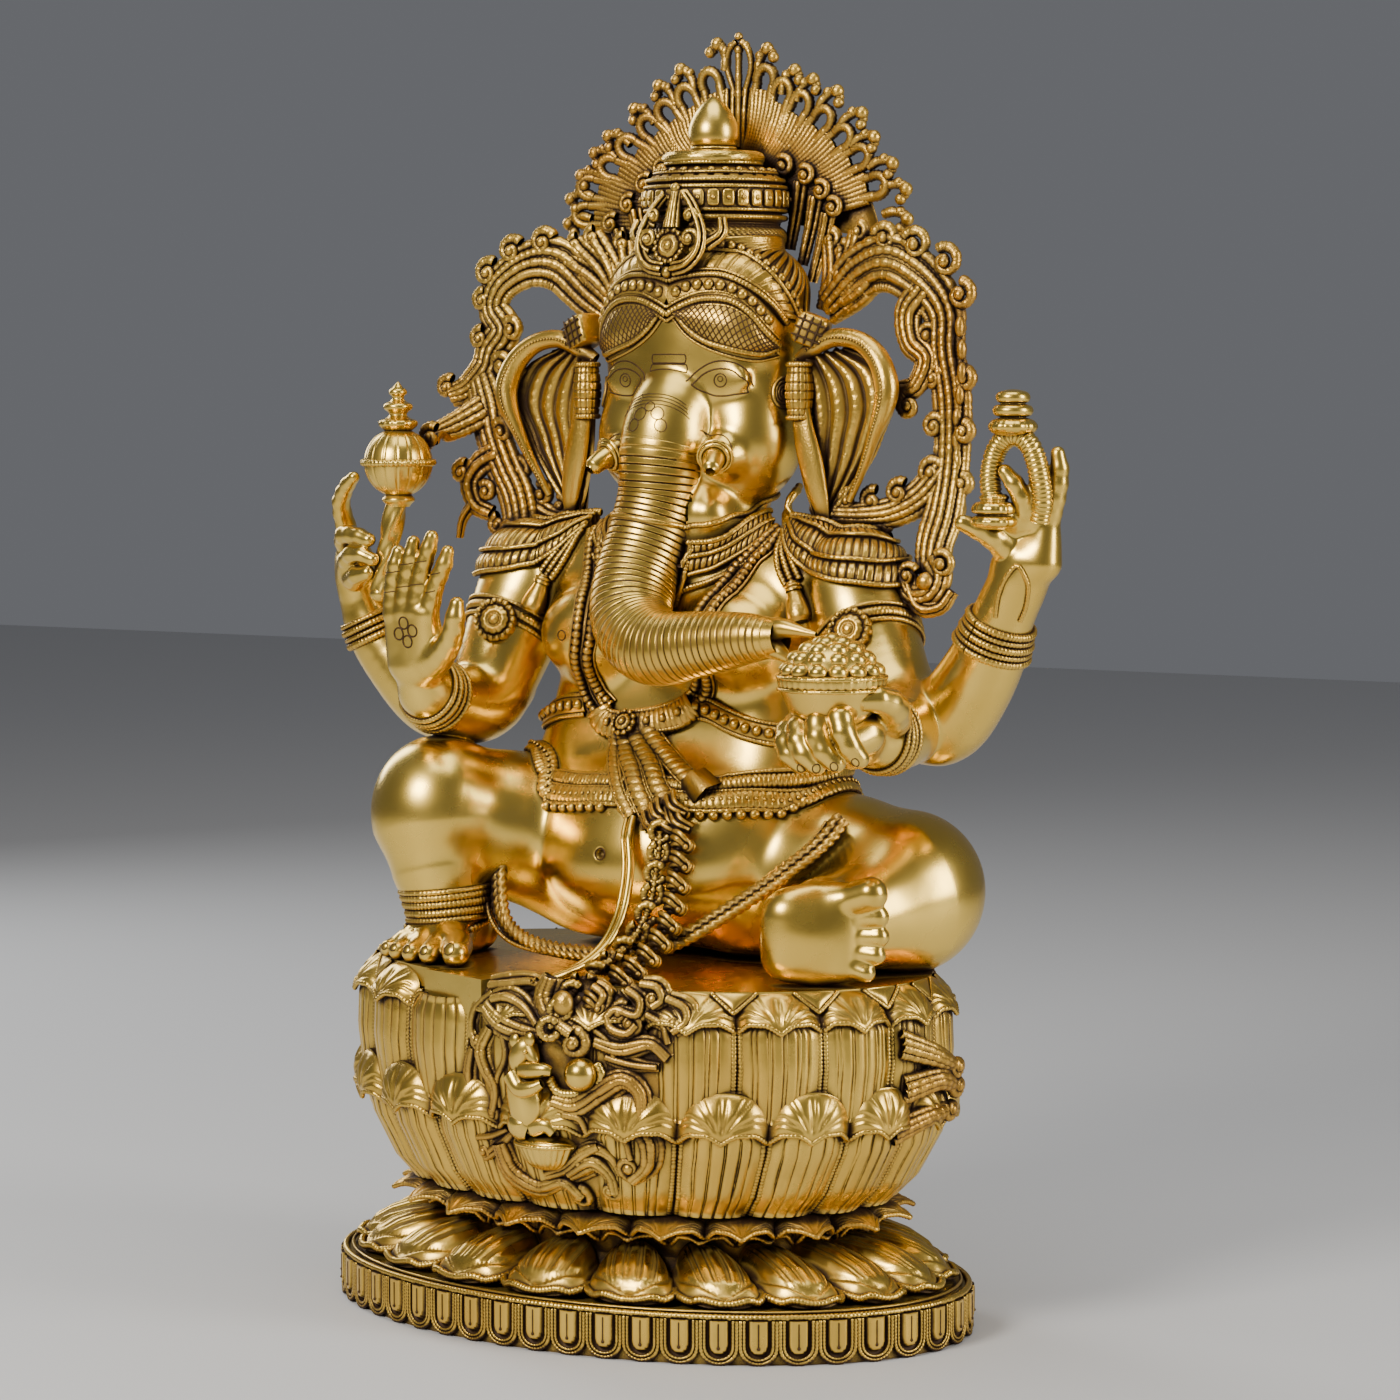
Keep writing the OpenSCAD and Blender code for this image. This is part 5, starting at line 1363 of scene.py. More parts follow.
# collars across the breast
heap = Heap()
A_OUT = [(0, 14, 528), (14, 15, 529), (28, 18, 531), (39, 23, 533), (51, 31, 538), (62, 40, 546),
         (68, 54, 553)]
A_IN = [(0, 16, 540), (14, 17, 540), (28, 19, 541), (39, 24, 544), (48, 35, 549), (55, 48, 555),
        (58, 62, 561)]
B_OUT = [(0, 10, 514), (14, 12, 516), (27, 16, 519), (39, 20, 522), (51, 26, 528), (64, 31, 536),
         (74, 42, 545)]
C_LINE = [(0, 8, 503), (12, 11, 505), (25, 15, 509), (37, 17, 512), (49, 21, 517), (61, 25, 525),
          (71, 31, 534), (78, 42, 545)]
for s in (1, -1):
    qa, qb, qo, qc = (mirrored(line, s) for line in (A_IN, A_OUT, B_OUT, C_LINE))
    ribbed(heap, qa, qb, 4.4, 3.4, 4.4, 1.5, 2.5, 2.2)
    ribbed(heap, qb, qo, 3.6, 2.6, 4.6, 1.5, 2.5, 2.4)
    lay(heap, qa, 2.4, 4.4, 2.4, 0.2)
    lay(heap, qb, 2.0, 4.6, 2.4, 0.2)
    lay(heap, qo, 1.9, 3.2, 2.4, 0.2)
    lay(heap, qc, 2.6, 1.4, 2.6, 0.24)
nk = [(0, 14, 552), (30, 16, 553), (52, 34, 560), (60, 60, 566), (50, 92, 572), (0, 114, 574),
      (-50, 92, 572), (-60, 60, 566), (-52, 34, 560), (-30, 16, 553)]
lay(heap, nk, 2.2, 0.6, 2.6, 0.2, closed=True)
piece("neck_collar", heap, ornate, ("neck_bands",))

# long strands and the scaled plate
heap = Heap()
STRANDS = [[(80, 45, 547), (78, 33, 537), (70, 28, 529), (65, 22, 518), (62, 10, 507), (58, -3, 498),
            (54, -12, 478), (50, -8, 455), (42, 6, 436), (33, 10, 428)],
           [(75, 49, 549), (71, 36, 541), (64, 29, 531), (56, 24, 522), (51, 13, 509), (47, -1, 499),
            (43, -10, 478), (38, -4, 452), (30, 8, 436)],
           [(-72, 42, 546), (-70, 32, 536), (-64, 20, 515), (-54, -5, 495), (-52, -13, 475), (-56, -9, 457),
            (-60, 5, 437), (-56, 10, 425), (-44, 9, 413), (-31, 7, 408)],
           [(-64, 42, 546), (-62, 32, 536), (-55, 20, 516), (-45, -2, 496), (-43, -10, 475), (-47, -9, 460),
            (-50, 2, 446), (-47, 10, 433), (-38, 10, 424)]]
for k, line in enumerate(STRANDS):
    lay(heap, line, 3.6, 2.2, 5.0, 0.34)
    side = 1 if line[0][0] > 0 else -1
    for off in (4.6, -4.6):
        p = drape(line, 1.2, 0.9)
        t = unit(np.gradient(p, axis=0))
        q = snap(p + np.cross(t, slope(p)) * off, 1.2, 3)
        ringed(heap, q, 1.3, 2.0, 0.26, 7)
PLATE = [(-47, 8, 421), (-42, 9, 413), (-30, 7, 409), (-12, 8, 411), (6, 8, 415), (22, 9, 421),
         (32, 11, 428)]
lay(heap, PLATE, 10.5, 4.0, 4.2, 0.10, 0.45, sides=20)
for off in (-10, 10):
    lay(heap, [(p[0], p[1], p[2] + off) for p in PLATE], 2.0, 4.6, 2.4, 0.2)
disc_flower(heap, (-20, 7, 410), 9.5, 9.5, 10)
for x, z in ((-36, 411), (-3, 414), (10, 417), (22, 422)):
    blob(heap, snap(np.array([(x, 8, z)], float), 8.5, 3)[0], 3.2)
piece("necklace_strands", heap, aged, ("long_necklace",))

# breast band with round beads
heap = Heap()
BAND = [(30, 10, 427), (44, 10, 424), (58, 10, 418), (74, 11, 412), (89, 16, 408), (103, 30, 405),
        (112, 55, 404), (104, 92, 404), (60, 112, 404), (0, 116, 404), (-60, 112, 404), (-104, 92, 404),
        (-112, 55, 406), (-104, 32, 410), (-94, 20, 416), (-84, 14, 420), (-60, 12, 424)]
lay(heap, BAND, 6.4, 1.6, 40, 0.0, 0.5, sides=16)
for off in (7.5, -7.5):
    lay(heap, [(p[0], p[1], p[2] + off) for p in BAND], 2.1, 1.6, 2.4, 0.22)
pearls(heap, BAND, 3.9, 4.6, 8.6)
piece("breast_band", heap, ornate, ("chest_band",))

# cape tassels
heap = Heap()
for s in (1, -1):
    for line in ([(84, 41, 545), (86, 31, 533), (91, 26, 521), (98, 24, 511)],
                 [(86, 44, 546), (93, 33, 536), (101, 27, 526), (108, 25, 516)],
                 [(85, 42, 546), (89, 32, 535), (96, 26, 524), (103, 24, 513)]):
        lay(heap, mirrored(line, s), 2.6, 2.6, 3.2, 0.24)
    a = snap(np.array([(s * 103, 24, 514)], float), 4.5, 4)[0]
    b = snap(np.array([(s * 116, 20, 488)], float), 6.5, 4)[0]
    path = spline([a, a * 0.66 + b * 0.34, a * 0.3 + b * 0.7, b], 0.8)
    u = np.linspace(0, 1, len(path))
    rad = 4.2 + 5.0 * smooth01(u, 0.05, 0.85) - 2.2 * smooth01(u, 0.9, 1.0)
    tube(heap, path, rad, 28, lobes=lambda angle, run: 1 - 0.05 * (np.cos(14 * angle) > 0.7))
    ringed(heap, path[2:9], 6.0, 2.2, 0.2, 20)
piece("tassels", heap, ornate, ("cape_tassels",))

# belt
heap = Heap()
BELT = [(0, -31), (24, -30), (60, -20), (90, 0), (108, 15), (119, 33), (122, 60), (112, 90), (70, 112),
        (0, 120), (-70, 112), (-112, 90), (-122, 60), (-118, 34), (-104, 6), (-80, -14), (-50, -26),
        (-24, -30)]


def belt_line(z):
    """The belt's course at one height, higher behind."""
    return [(x, y, z + 0.05 * (y + 30)) for x, y in BELT]


lay(heap, belt_line(376), 5.2, 2.2, 3.4, 0.16, 0.62, True, 14)
lay(heap, belt_line(383), 1.8, 2.6, 2.2, 0.22, closed=True)
lay(heap, belt_line(368.5), 1.7, 2.6, 2.2, 0.22, closed=True)
lay(heap, belt_line(361), 7.2, 2.6, 4.4, 0.12, 0.42, True, 16)
lay(heap, belt_line(353.5), 1.9, 3.0, 2.2, 0.22, closed=True)
low = drape(belt_line(351.0), 2.2, 1.0, True)
s_low = run_along(low)
for k in range(int(s_low[-1] / 9.5)):
    q = [np.interp((k + 0.5) * 9.5, s_low, low[:, c]) for c in range(3)]
    blob(heap, q, 4.6, (0.9, 0.9, 0.8))
pearls(heap, belt_line(361) + belt_line(361)[:1], 1.5, 5.2, 6.0)
piece("belt_bands", heap, ornate, ("belt",))

# knotted sashes falling from the breast band
heap = Heap()
for line, r in (([(-22, 4, 402), (-12, -12, 392), (2, -24, 380), (14, -34, 366), (26, -40, 352),
                  (30, -44, 344)], 6.0),
                ([(-16, 6, 404), (-2, -6, 394), (14, -18, 382), (26, -28, 370), (38, -34, 360),
                  (42, -40, 350)], 6.4),
                ([(-4, 8, 406), (10, -2, 396), (26, -12, 388), (42, -18, 378), (56, -20, 371)], 6.6),
                ([(-30, 4, 404), (-22, -12, 390), (-10, -26, 376), (2, -36, 362), (14, -42, 350)], 4.0)):
    p = drape(line, 4.5, 0.8)
    tube(heap, p, r, 16, up=slope(p), flat=0.6,
         lobes=lambda angle, run: 1 - 0.16 * ((run / 6.5 + 0.35 * np.cos(angle)) % 1.0 > 0.80))
    for off in (-r, r):
        t = unit(np.gradient(p, axis=0))
        ringed(heap, p + np.cross(t, slope(p)) * off, 1.4, 2.0, 0.25, 7)
end = drape([(48, -18, 378), (62, -22, 368)], 6.0, 1.0)
tube(heap, end, np.linspace(9, 11, len(end)), 4, up=slope(end), flat=0.6,
     lobes=lambda angle, run: 1 + 0.12 * np.cos(4 * angle))
for k, (x, y, z) in enumerate([(40, -50, 356), (48, -52, 350), (56, -50, 352), (50, -46, 362),
                               (34, -50, 350)]):
    bundle(heap, [(x - 8, y + 4, z + 7), (x, y - 3, z), (x + 10, y, z - 5)], 5, 3, 2.0)
piece("sashes", heap, aged, ("waist_sashes",))

# chain of loops down the middle
heap, frill = Heap(), Heap()
LOOPS = [(45, -57, 345), (46, -60, 331), (46, -64, 317), (46, -68, 303), (45, -74, 290), (44, -83, 279),
         (42, -95, 270), (40, -109, 263), (38, -123, 258), (36, -137, 252), (34, -149, 244),
         (30, -158, 233), (25, -163, 221)]
for k, q in enumerate(LOOPS):
    a = np.linspace(0.35 * PI, 2.05 * PI, 26) + (0.25 if k % 2 else -0.15) * PI
    flat_in = min(1.0, max(0.0, (k - 4) / 4.0)) * (k < 10)
    e1 = np.array([0.92, 0.38, 0.0])
    e2 = np.array([0, -0.80 * flat_in, 1 - 0.55 * flat_in])
    p = np.array(q, float) + 6.4 * (np.cos(a)[:, None] * e1 + np.sin(a)[:, None] * e2)
    ringed(heap, spline(p, 0.8), 3.1, 2.0, 0.18, 9)
    if k < len(LOOPS) - 1:
        m = (np.array(q, float) + np.array(LOOPS[k + 1], float)) / 2
        tube(heap, spline([np.array(q, float), m, np.array(LOOPS[k + 1], float)], 1.0), 2.4, 9,
             ring=lambda run: 1 + 0.3 * np.cos(run * 1.6))
    if k < 11:
        for j in (0, 1):
            b = np.array(q, float) + np.array([9, 3, -3 - 6 * j])
            tip_f = b + np.array([13, -1 + 3 * j, -7.0 + 5 * j])
            bundle(frill, [b, (b + tip_f) / 2 + np.array([0, -4, 3]), tip_f], 4.2, 3, 2.2, 2.0, 2.0, 0.3)
            volute(frill, tip_f + np.array([0, -1, 1.0]), 3.6, PI * 0.5, 1.0, 2.0, 1.3, -1)
piece("loop_chain", heap, ornate, ("tassel_chain",))
piece("frilled_fringe", frill, aged, ("sash_fringe",))
heap = Heap()
CORD = [(16, -47, 352), (20, -58, 340), (25, -64, 322), (28, -72, 304), (29, -82, 286), (27, -96, 270),
        (22, -114, 259), (15, -134, 253), (8, -152, 250)]
tube(heap, spline(CORD, 1.2), 3.0, 12)
tube(heap, spline([(p[0] - 4.4, p[1] - 1, p[2]) for p in CORD], 1.2), 1.7, 9)
piece("round_cord", heap, skin, ("sash_cord",))

# rope garland in the lap
heap = Heap()
GL = [(-104, -14, 366), (-106, -24, 344), (-105, -34, 320), (-101, -42, 298), (-90, -52, 276),
      (-68, -62, 263), (-38, -68, 258), (-6, -70, 257), (24, -71, 258), (44, -69, 262)]
GR = [(150, 8, 353), (146, 0, 343), (138, -9, 332), (126, -17, 321), (112, -24, 309), (98, -32, 298),
      (84, -42, 287), (68, -54, 275), (52, -64, 266)]
for line in (GL, GR):
    for dx, dy, r in ((0, 0, 4.4), (-6.0, 3.4, 3.2), (5.6, -3.4, 3.2)):
        p = spline([(q[0] + dx, q[1] + dy, q[2] + (2.2 if dx == 0 else 0)) for q in line], 0.8)
        rope(heap, p, r, 6.0, 3, 0.26, 12)
    p = spline([(q[0] - 9.5, q[1] - 2, q[2] - 1) for q in line], 0.8)
    ringed(heap, p, 1.7, 3.0, 0.3, 7)
piece("lap_garland_ropes", heap, aged, ("lap_garland",))

# armlets and bracelets
heap = Heap()
for c, ax, rad in (((-143, 40, 474), (-0.15, -0.5, -0.86), 33), ((153, 42, 474), (0.5, -0.4, -0.80), 33)):
    c, ax = np.array(c, float), np.array(ax, float)
    for off, r in ((-6, 1.9), (0, 3.6), (6, 1.9)):
        hoop(heap, c + ax * off, ax, rad, r, 1.2, 3.0, 0.18, 1.0 if r < 3 else 0.6)
disc_flower(heap, (-136, 7, 481), 15.5, 3.0, 12)
disc_flower(heap, (158, 8, 483), 15.5, 3.0, 12)
piece("armlet_bands", heap, ornate, ("armlets",))
heap = Heap()
WRISTS = (((-149, -52, 431), (0.02, -0.92, 0.38), 22, (-7, -2, 3, 8)),
          ((213, -44, 418), (0.02, -1, 0.02), 23.5, (-8, -3, 2, 7)),
          ((271, 7, 484), (0.42, -0.12, 0.9), 23, (-10, -5, 0, 5, 10)),
          ((-256, 17, 474), (-0.36, -0.2, 0.9), 20, (-9, -4, 1, 6)))
for c, ax, rad, offs in WRISTS:
    c, ax = np.array(c, float), np.array(ax, float)
    for k, off in enumerate(offs):
        hoop(heap, c + ax * off, ax, rad, 2.9 if k % 2 == 0 else 2.2, 1.0, 2.6, 0.2)
# pointed cuff up the back of the noose hand
cuff_pts = [(282, -12, 498), (286, -15, 512), (292, -16, 524), (300, -16, 532), (304, -12, 520),
            (300, -8, 505), (294, -6, 496)]
lay(heap, cuff_pts, 1.7, 0.8, 2.4, 0.2)
piece("bracelet_rings", heap, ornate, ("bracelets",))
heap = Heap()
for off, r in ((-9, 2.8), (-4, 3.6), (2, 3.6), (7, 3.2), (11, 2.2)):
    hoop(heap, (-137, -51, 283 + off), (-0.08, -0.03, 1), 26, r, 1.4, 2.8, 0.2)
hoop(heap, (-137, -51, 270), (0.0, -0.15, 1), 28, 2.4, 1.8, 3, 0.2, 1.0, "beads")
piece("anklets", heap, ornate, ("right_anklets",))


# ---------------------------------------------------------------- face, crown and what the hands hold
lines = Heap()
for s in (1, -1):

    def at_side(points):
        return mirrored(points, s)

    for pts, r in (([(17, 20, 653), (23, 25, 660), (32, 28, 665.5), (41, 30, 667), (50, 34, 664.5),
                     (55, 37, 659), (59, 41, 649)], 0.62),
                   ([(20, 22, 650), (26, 27, 657), (33, 29, 660.5), (41, 30, 661.5), (49, 32, 659.5),
                     (54, 35, 653), (57, 38, 645)], 0.62),
                   ([(20, 22, 650), (25, 25, 646.5), (33, 31, 643.5), (42, 32, 643), (50, 33, 644),
                     (57, 38, 645)], 0.62)):
        plain(lines, at_side(pts), r, 0.05)
    plain(lines, at_side(upright_ring((39.5, 30, 653.5), 4.8, 4.6, 22)), 0.5, 0.05)
    plain(lines, at_side(upright_ring((39.5, 30, 654.5), 2.0, 1.9, 22)), 0.4, 0.05)
    for size in (6.0, 10.5):
        a2 = np.linspace(-0.9 * PI, 0.9 * PI, 30)
        arc = [(41 + size * 1.7 * math.cos(t), 18, 603 + size * 1.7 * math.sin(t)) for t in a2[4:-4]]
        plain(lines, at_side(arc), 0.45, 0.05)
for z0, w in ((668.5, 13), (661.5, 14)):
    h2 = 3.0
    loop = [(-w, z0 - h2), (-w - 0.8, z0), (-w, z0 + h2), (0, z0 + h2), (w, z0 + h2), (w + 0.8, z0),
            (w, z0 - h2), (0, z0 - h2)]
    dense = resample(np.array([(x + 1, 24, z) for x, z in loop + loop[:1]]), 60)
    tube(lines, snap(dense, 0.05, 4), 0.5, 6)
# curls where the trunk leaves the brow
for cx, cz, rr in ((-8, 630, 5), (6, 631, 5), (-1, 636, 4), (-12, 622, 4.5), (9, 622, 4.5)):
    plain(lines, upright_ring((cx, 0, cz), rr, rr, 20), 0.42, 0.05)
for k in range(4):
    x = np.linspace(-22 - k, 24 + k, 16)
    plain(lines, [(q, 6 + abs(q) * 0.2, 640 - 0.012 * (q - 1) ** 2 - k * 3.0 + 4) for q in x], 0.35, 0.05)
navel = np.array(upright_ring((-8, -53, 326), 3.8, 3.6, 20))
tube(lines, snap(navel, 0.1, 4), 0.6, 6)
for s in (1, -1):
    nip = np.array(upright_ring((s * 66, -14, 474), 3.6, 3.6, 20))
    tube(lines, snap(nip, 0.1, 4), 0.5, 6)
# palm flower
n, e1, e2 = tangent((-142, -92, 480))
pc = snap(np.array([(-143, -90, 478)], float), 0.1, 4)[0]
for k in range(4):
    a0 = k * PI / 2 + 0.2
    t = np.linspace(-PI, PI, 22)
    rr = 4.2
    cx, cy = 6.6 * math.cos(a0), 6.6 * math.sin(a0)
    p = np.array([pc + e1 * (cx + rr * math.cos(q)) + e2 * (cy + rr * math.sin(q)) for q in t])
    tube(lines, snap(p, 0.1, 3), 0.6, 6)
for base in ([(-162, -95, 505), (-152, -96, 506)], [(-150, -96, 509), (-139, -97, 510)],
             [(-138, -97, 511), (-127, -97, 512)], [(-126, -96, 506), (-116, -96, 507)],
             [(-159, -95, 519), (-149, -96, 520)], [(-147, -96, 525), (-136, -96, 526)],
             [(-134, -96, 527), (-123, -96, 528)], [(-121, -96, 519), (-112, -96, 520)]):
    plain(lines, base, 0.4, 0.05, 1.0)
# nails
for at, w in (((-90, -119, 262), 5.2), ((-112, -118, 259), 3.6), ((-130, -113, 258), 3.4),
              ((-147, -106, 257.5), 3.2), ((-162, -96, 256), 3.0),
                 ((199, -126, 402), 3.4), ((211, -127, 402), 3.4), ((224, -126, 404), 3.4),
                 ((237, -121, 407), 3.2)):
    p0 = snap(np.array([at], float), 0.1, 5)[0]
    _, a1, a2 = tangent(p0)
    round_nail = np.linspace(0, 2 * PI, 18)
    p = np.array([p0 + a1 * w * math.cos(q) * 0.8 + a2 * w * math.sin(q) for q in round_nail])
    tube(lines, snap(p, 0.1, 3), 0.4, 6)
piece("engraved_lines", lines, line_mat)

# ringed tusk sockets and tusks
heap = Heap()
for s in (1, -1):
    base = snap(np.array([(s * 44, 12, 601)], float), 0, 6)[0]
    way = np.array([s * 0.34, -0.86, -0.38])
    way /= np.linalg.norm(way)
    e1 = np.cross(way, (0, 0, 1.0))
    e1 /= np.linalg.norm(e1)
    e2 = np.cross(way, e1)
    a = np.linspace(0, 2 * PI, 50)
    for rad, off, r in ((12.0, 1.2, 1.4), (9.6, 3.0, 1.8)):
        turn = rad * (np.cos(a)[:, None] * e1 + np.sin(a)[:, None] * e2)
        ringed(heap, base + way * off + turn, r, 2.0, 0.15, 8)
    p = spline([base - way * 6, base + way * 5, base + way * 13 + np.array([0, 0, -1.0]),
                base + way * 20 + np.array([0, 0, -3.0])], 0.8)
    u = np.linspace(0, 1, len(p))
    tube(heap, p, 9.2 - 3.2 * u - 2.6 * smooth01(u, 0.86, 1.0), 28)
piece("tusk_pair", heap, skin, ("tusks",))

# brow band, lens panels and beads
heap, dark = Heap(), Heap()
LOWB = [(0, 24, 699), (8, 25, 703.5), (22, 27, 709), (36, 30, 710), (48, 34, 707), (58, 38, 699),
        (66, 43, 688), (72, 53, 677)]
BEADB = [(4, 25, 712), (8, 26, 715.5), (17, 28, 719), (27, 29, 719.5), (36, 32, 719), (44, 35, 717),
         (51, 37, 713), (57, 40, 708.5), (63, 43, 701), (69, 48, 692)]
HIGHB = [(0, 28, 722), (10, 28, 725), (26, 31, 726.5), (38, 35, 725.5), (51, 40, 720), (61, 46, 712.5),
         (68, 53, 704), (74, 62, 692)]
TOPB = [(0, 34, 741), (14, 36, 744), (28, 40, 745), (42, 50, 742), (56, 54, 733), (66, 60, 721),
        (73, 68, 708), (76, 76, 694)]
LENS = [(7, 24, 700), (16, 24, 689.5), (29, 26, 681), (45, 30, 676), (56, 36, 673), (65, 45, 672),
        (72, 53, 676)]
LENSO = [(4, 23, 697), (15, 23, 685), (29, 26, 676.5), (47, 32, 670), (61, 42, 667), (71, 55, 670)]
for s in (1, -1):

    def at_side(points):
        return mirrored(points, s)

    lay(heap, at_side(LOWB), 2.6, 2.4, 2.4, 0.2)
    lay(heap, at_side([(p[0], p[1], p[2] - 4.4) for p in LOWB]), 1.5, 1.6, 2.2, 0.2)
    lay(heap, at_side([(p[0], p[1], p[2] + 5.0) for p in LOWB]), 1.5, 2.2, 2.2, 0.2)
    middle = [(p[0], p[1], (p[2] + q[2]) / 2) for p, q in zip(LOWB, HIGHB)]
    lay(heap, at_side(middle), 8.6, 0.6, 60, 0.0, 0.3, sides=16)
    pearls(heap, at_side(BEADB), 4.3, 2.4, 8.4)
    lay(heap, at_side(HIGHB), 2.4, 2.4, 2.4, 0.2)
    lay(heap, at_side([(p[0], p[1], p[2] + 4.4) for p in HIGHB]), 1.5, 2.0, 2.2, 0.2)
    rib_feet = [(p[0], p[1], p[2] + 5) for p in HIGHB]
    ribbed(heap, at_side(TOPB), at_side(rib_feet), 2.0, 2.0, 9.0, 0.9, 2.5, 1.2)
    lay(heap, at_side(TOPB), 1.8, 2.4, 2.4, 0.2)
    pearls(heap, at_side([(p[0], p[1] + 1, p[2] + 4) for p in TOPB[1:]]), 3.4, 2.0, 7.0)
    lay(heap, at_side(LENS), 2.3, 1.4, 2.2, 0.2)
    lay(heap, at_side(LENSO), 1.3, 0.5, 2.2, 0.2)
    a = resample(spline(LOWB, 1.0), 60)[2:]
    b = resample(spline(LENS, 1.0), 60)[2:]
    across = 16
    w = np.linspace(0, 1, across)[None, :, None]
    g = (a[:, None] * (1 - w) + b[:, None] * w) * np.array([s, 1, 1])
    flat = snap(g.reshape(-1, 3), 0, 3)
    bulge = 1.2 + 3.4 * np.sin(np.broadcast_to(w[..., 0], g.shape[:2]) * PI).reshape(-1)
    flat = flat + slope(flat) * bulge[:, None]
    g = flat.reshape(g.shape)
    sheet(heap, g, 2.0, (0, -1, 0))
    for k in range(-14, 58, 3):
        for way in (1, -1):
            t = np.linspace(0.04, 0.96, 14)
            at_row = (k + (t if way == 1 else 1 - t) * 15)
            ok = (at_row > 1) & (at_row < len(g) - 2)
            if ok.sum() < 4:
                continue
            ii, jj = at_row[ok], t[ok] * (across - 1)
            i0, j0 = ii.astype(int), jj.astype(int)
            fi, fj = (ii - i0)[:, None], (jj - j0)[:, None]
            j1 = np.minimum(j0 + 1, across - 1)
            p = g[i0, j0] * (1 - fi) * (1 - fj) + g[i0 + 1, j0] * fi * (1 - fj)
            p = p + g[i0, j1] * (1 - fi) * fj + g[i0 + 1, j1] * fi * fj
            tube(dark, p, 0.42, 5)
    # hair combed back over the temples
    for k in range(15):
        f = k / 14
        pts = [(20 + 52 * f, 44 + 22 * f, 748 - 44 * f ** 1.5),
               (26 + 44 * f, 62 + 22 * f, 752 - 30 * f ** 1.4), (36 + 26 * f, 84 + 10 * f, 753 - 12 * f),
               (42 + 6 * f, 98 + 2 * f, 752)]
        plain(heap, at_side(pts), 2.2, 0.6, 1.4, False, 8)
piece("brow_band", heap, ornate, ())
piece("hatch_lines", dark, line_mat)

# back of the head: hair drawn up in long locks
heap = Heap()
for k in range(-13, 14):
    a = k / 13 * 1.35
    pts = [(70 * math.sin(a * 0.95), 78 + 46 * math.cos(a), z) for z in (600, 640, 680, 715, 742)]
    pts[-1] = (50 * math.sin(a), 84 + 40 * math.cos(a), 746)
    plain(heap, pts, 2.6, 0.4, 2.0, False, 8)
piece("back_hair", heap, ornate)

# crown
heap = Heap()
prof = [(40, 744), (47, 746), (50, 749), (51.5, 754), (50, 759), (46.5, 762), (45, 764), (47.5, 765.5),
        (49, 768), (47.5, 770.5), (46, 771.5), (49.5, 772.5), (50, 775), (50, 787), (49.5, 790),
        (46.5, 791), (48, 792.5), (48.5, 794), (47, 796), (44.5, 798), (40, 801.5), (33, 804.5),
        (28, 805.5), (26, 806)]
prof = outline(prof)


def crown_swell(a, z):
    """Slanting ribs on the lower roll and notches under the top."""
    torus = (z > 746) & (z < 762)
    rim = (z > 797) & (z < 804)
    return 1 - 0.018 * torus * (np.cos(70 * a + z * 1.4) > 0.3) - 0.05 * rim * (np.cos(26 * a) < -0.55)


lathe(heap, prof, (0, 86, 0), 280, crown_swell)
for rad, z, r in ((49.6, 768, 2.0), (50.2, 773.2, 1.6), (50.2, 789.4, 1.6), (48.4, 794.2, 1.8),
                  (43.6, 799.5, 1.3)):
    ringed(heap, circle((0, 86, z), rad, int(rad * 8)), r, 2.2, 0.22, 8)
for k in range(30):
    t = 2 * PI * k / 30
    c, sine = math.cos(t), math.sin(t)
    ax = np.array([[-sine, c, 0], [0, 0, 1], [c, sine, 0]])
    v, f = BALL_FINE
    q = np.sign(v) * np.abs(v) ** 0.45 * np.array([4.4, 6.0, 2.6])
    heap.add(q @ ax + np.array([50.4 * c, 86 + 50.4 * sine, 781.3]), f)
    blob(heap, (53.2 * c, 86 + 53.2 * sine, 781.3), 1.7)
for k in range(26):
    t = 2 * PI * (k + 0.5) / 26
    blob(heap, (41.5 * math.cos(t), 86 + 41.5 * math.sin(t), 801.2), 3.0, (1, 1, 0.7))
piece("crown_rings", heap, ornate, ("crown",))
heap = Heap()
prof = [(14, 803), (29, 804.5), (34.5, 806.5), (36.5, 810), (35, 813.5), (31, 815.2), (20, 816),
        (14.5, 816.6), (14, 818), (16, 820), (17.6, 824), (18, 829), (16.8, 835), (13.6, 842), (9.4, 847.6),
        (5.4, 851.4), (2.2, 853.6), (0.01, 854.4)]
prof = outline(prof)
lathe(heap, prof, (0, 83, 0), 128,
      lambda angle, height: 1 - 0.02 * ((height > 806) & (height < 814)) * (np.cos(60 * angle
          + height * 2) > 0.2))
for rad, z, r in ((33.6, 806.6, 1.8), (15.2, 817.4, 1.4)):
    ringed(heap, circle((0, 83, z), rad, int(rad * 8)), r, 2.2, 0.2, 8)
piece("finial_egg", heap, skin, ("crown_finial",))

# medallion over the brow
heap = Heap()
disc_flower(heap, (0, 26, 747), 12.5, 0, 5, (0, -1, 0.18))
for s in (1, -1):
    volute(heap, (s * 17, 26, 752), 8, -PI / 2, 1.25, 2.8, 1.8, s)
    volute(heap, (s * 15, 30, 768), 6.5, -PI / 2, 1.2, 2.4, 1.6, s)
    bundle(heap, [(s * 4, 22, 731), (s * 16, 22, 734), (s * 24, 25, 744), (s * 24, 28, 758),
                  (s * 16, 31, 774), (s * 8, 33, 784)], 3.6, 3, 1.9)
    bundle(heap, [(s * 26, 30, 748), (s * 36, 36, 756), (s * 34, 40, 766)], 4, 3, 2.0)
bundle(heap, [(0, 27, 760), (0, 31, 774), (0, 35, 786)], 5, 5, 2.0)
blob(heap, (0, 22, 729), 4.2)
blob(heap, (0, 33, 788), 3.6)
piece("medallion_flower", heap, ornate, ("crown_medallion",))

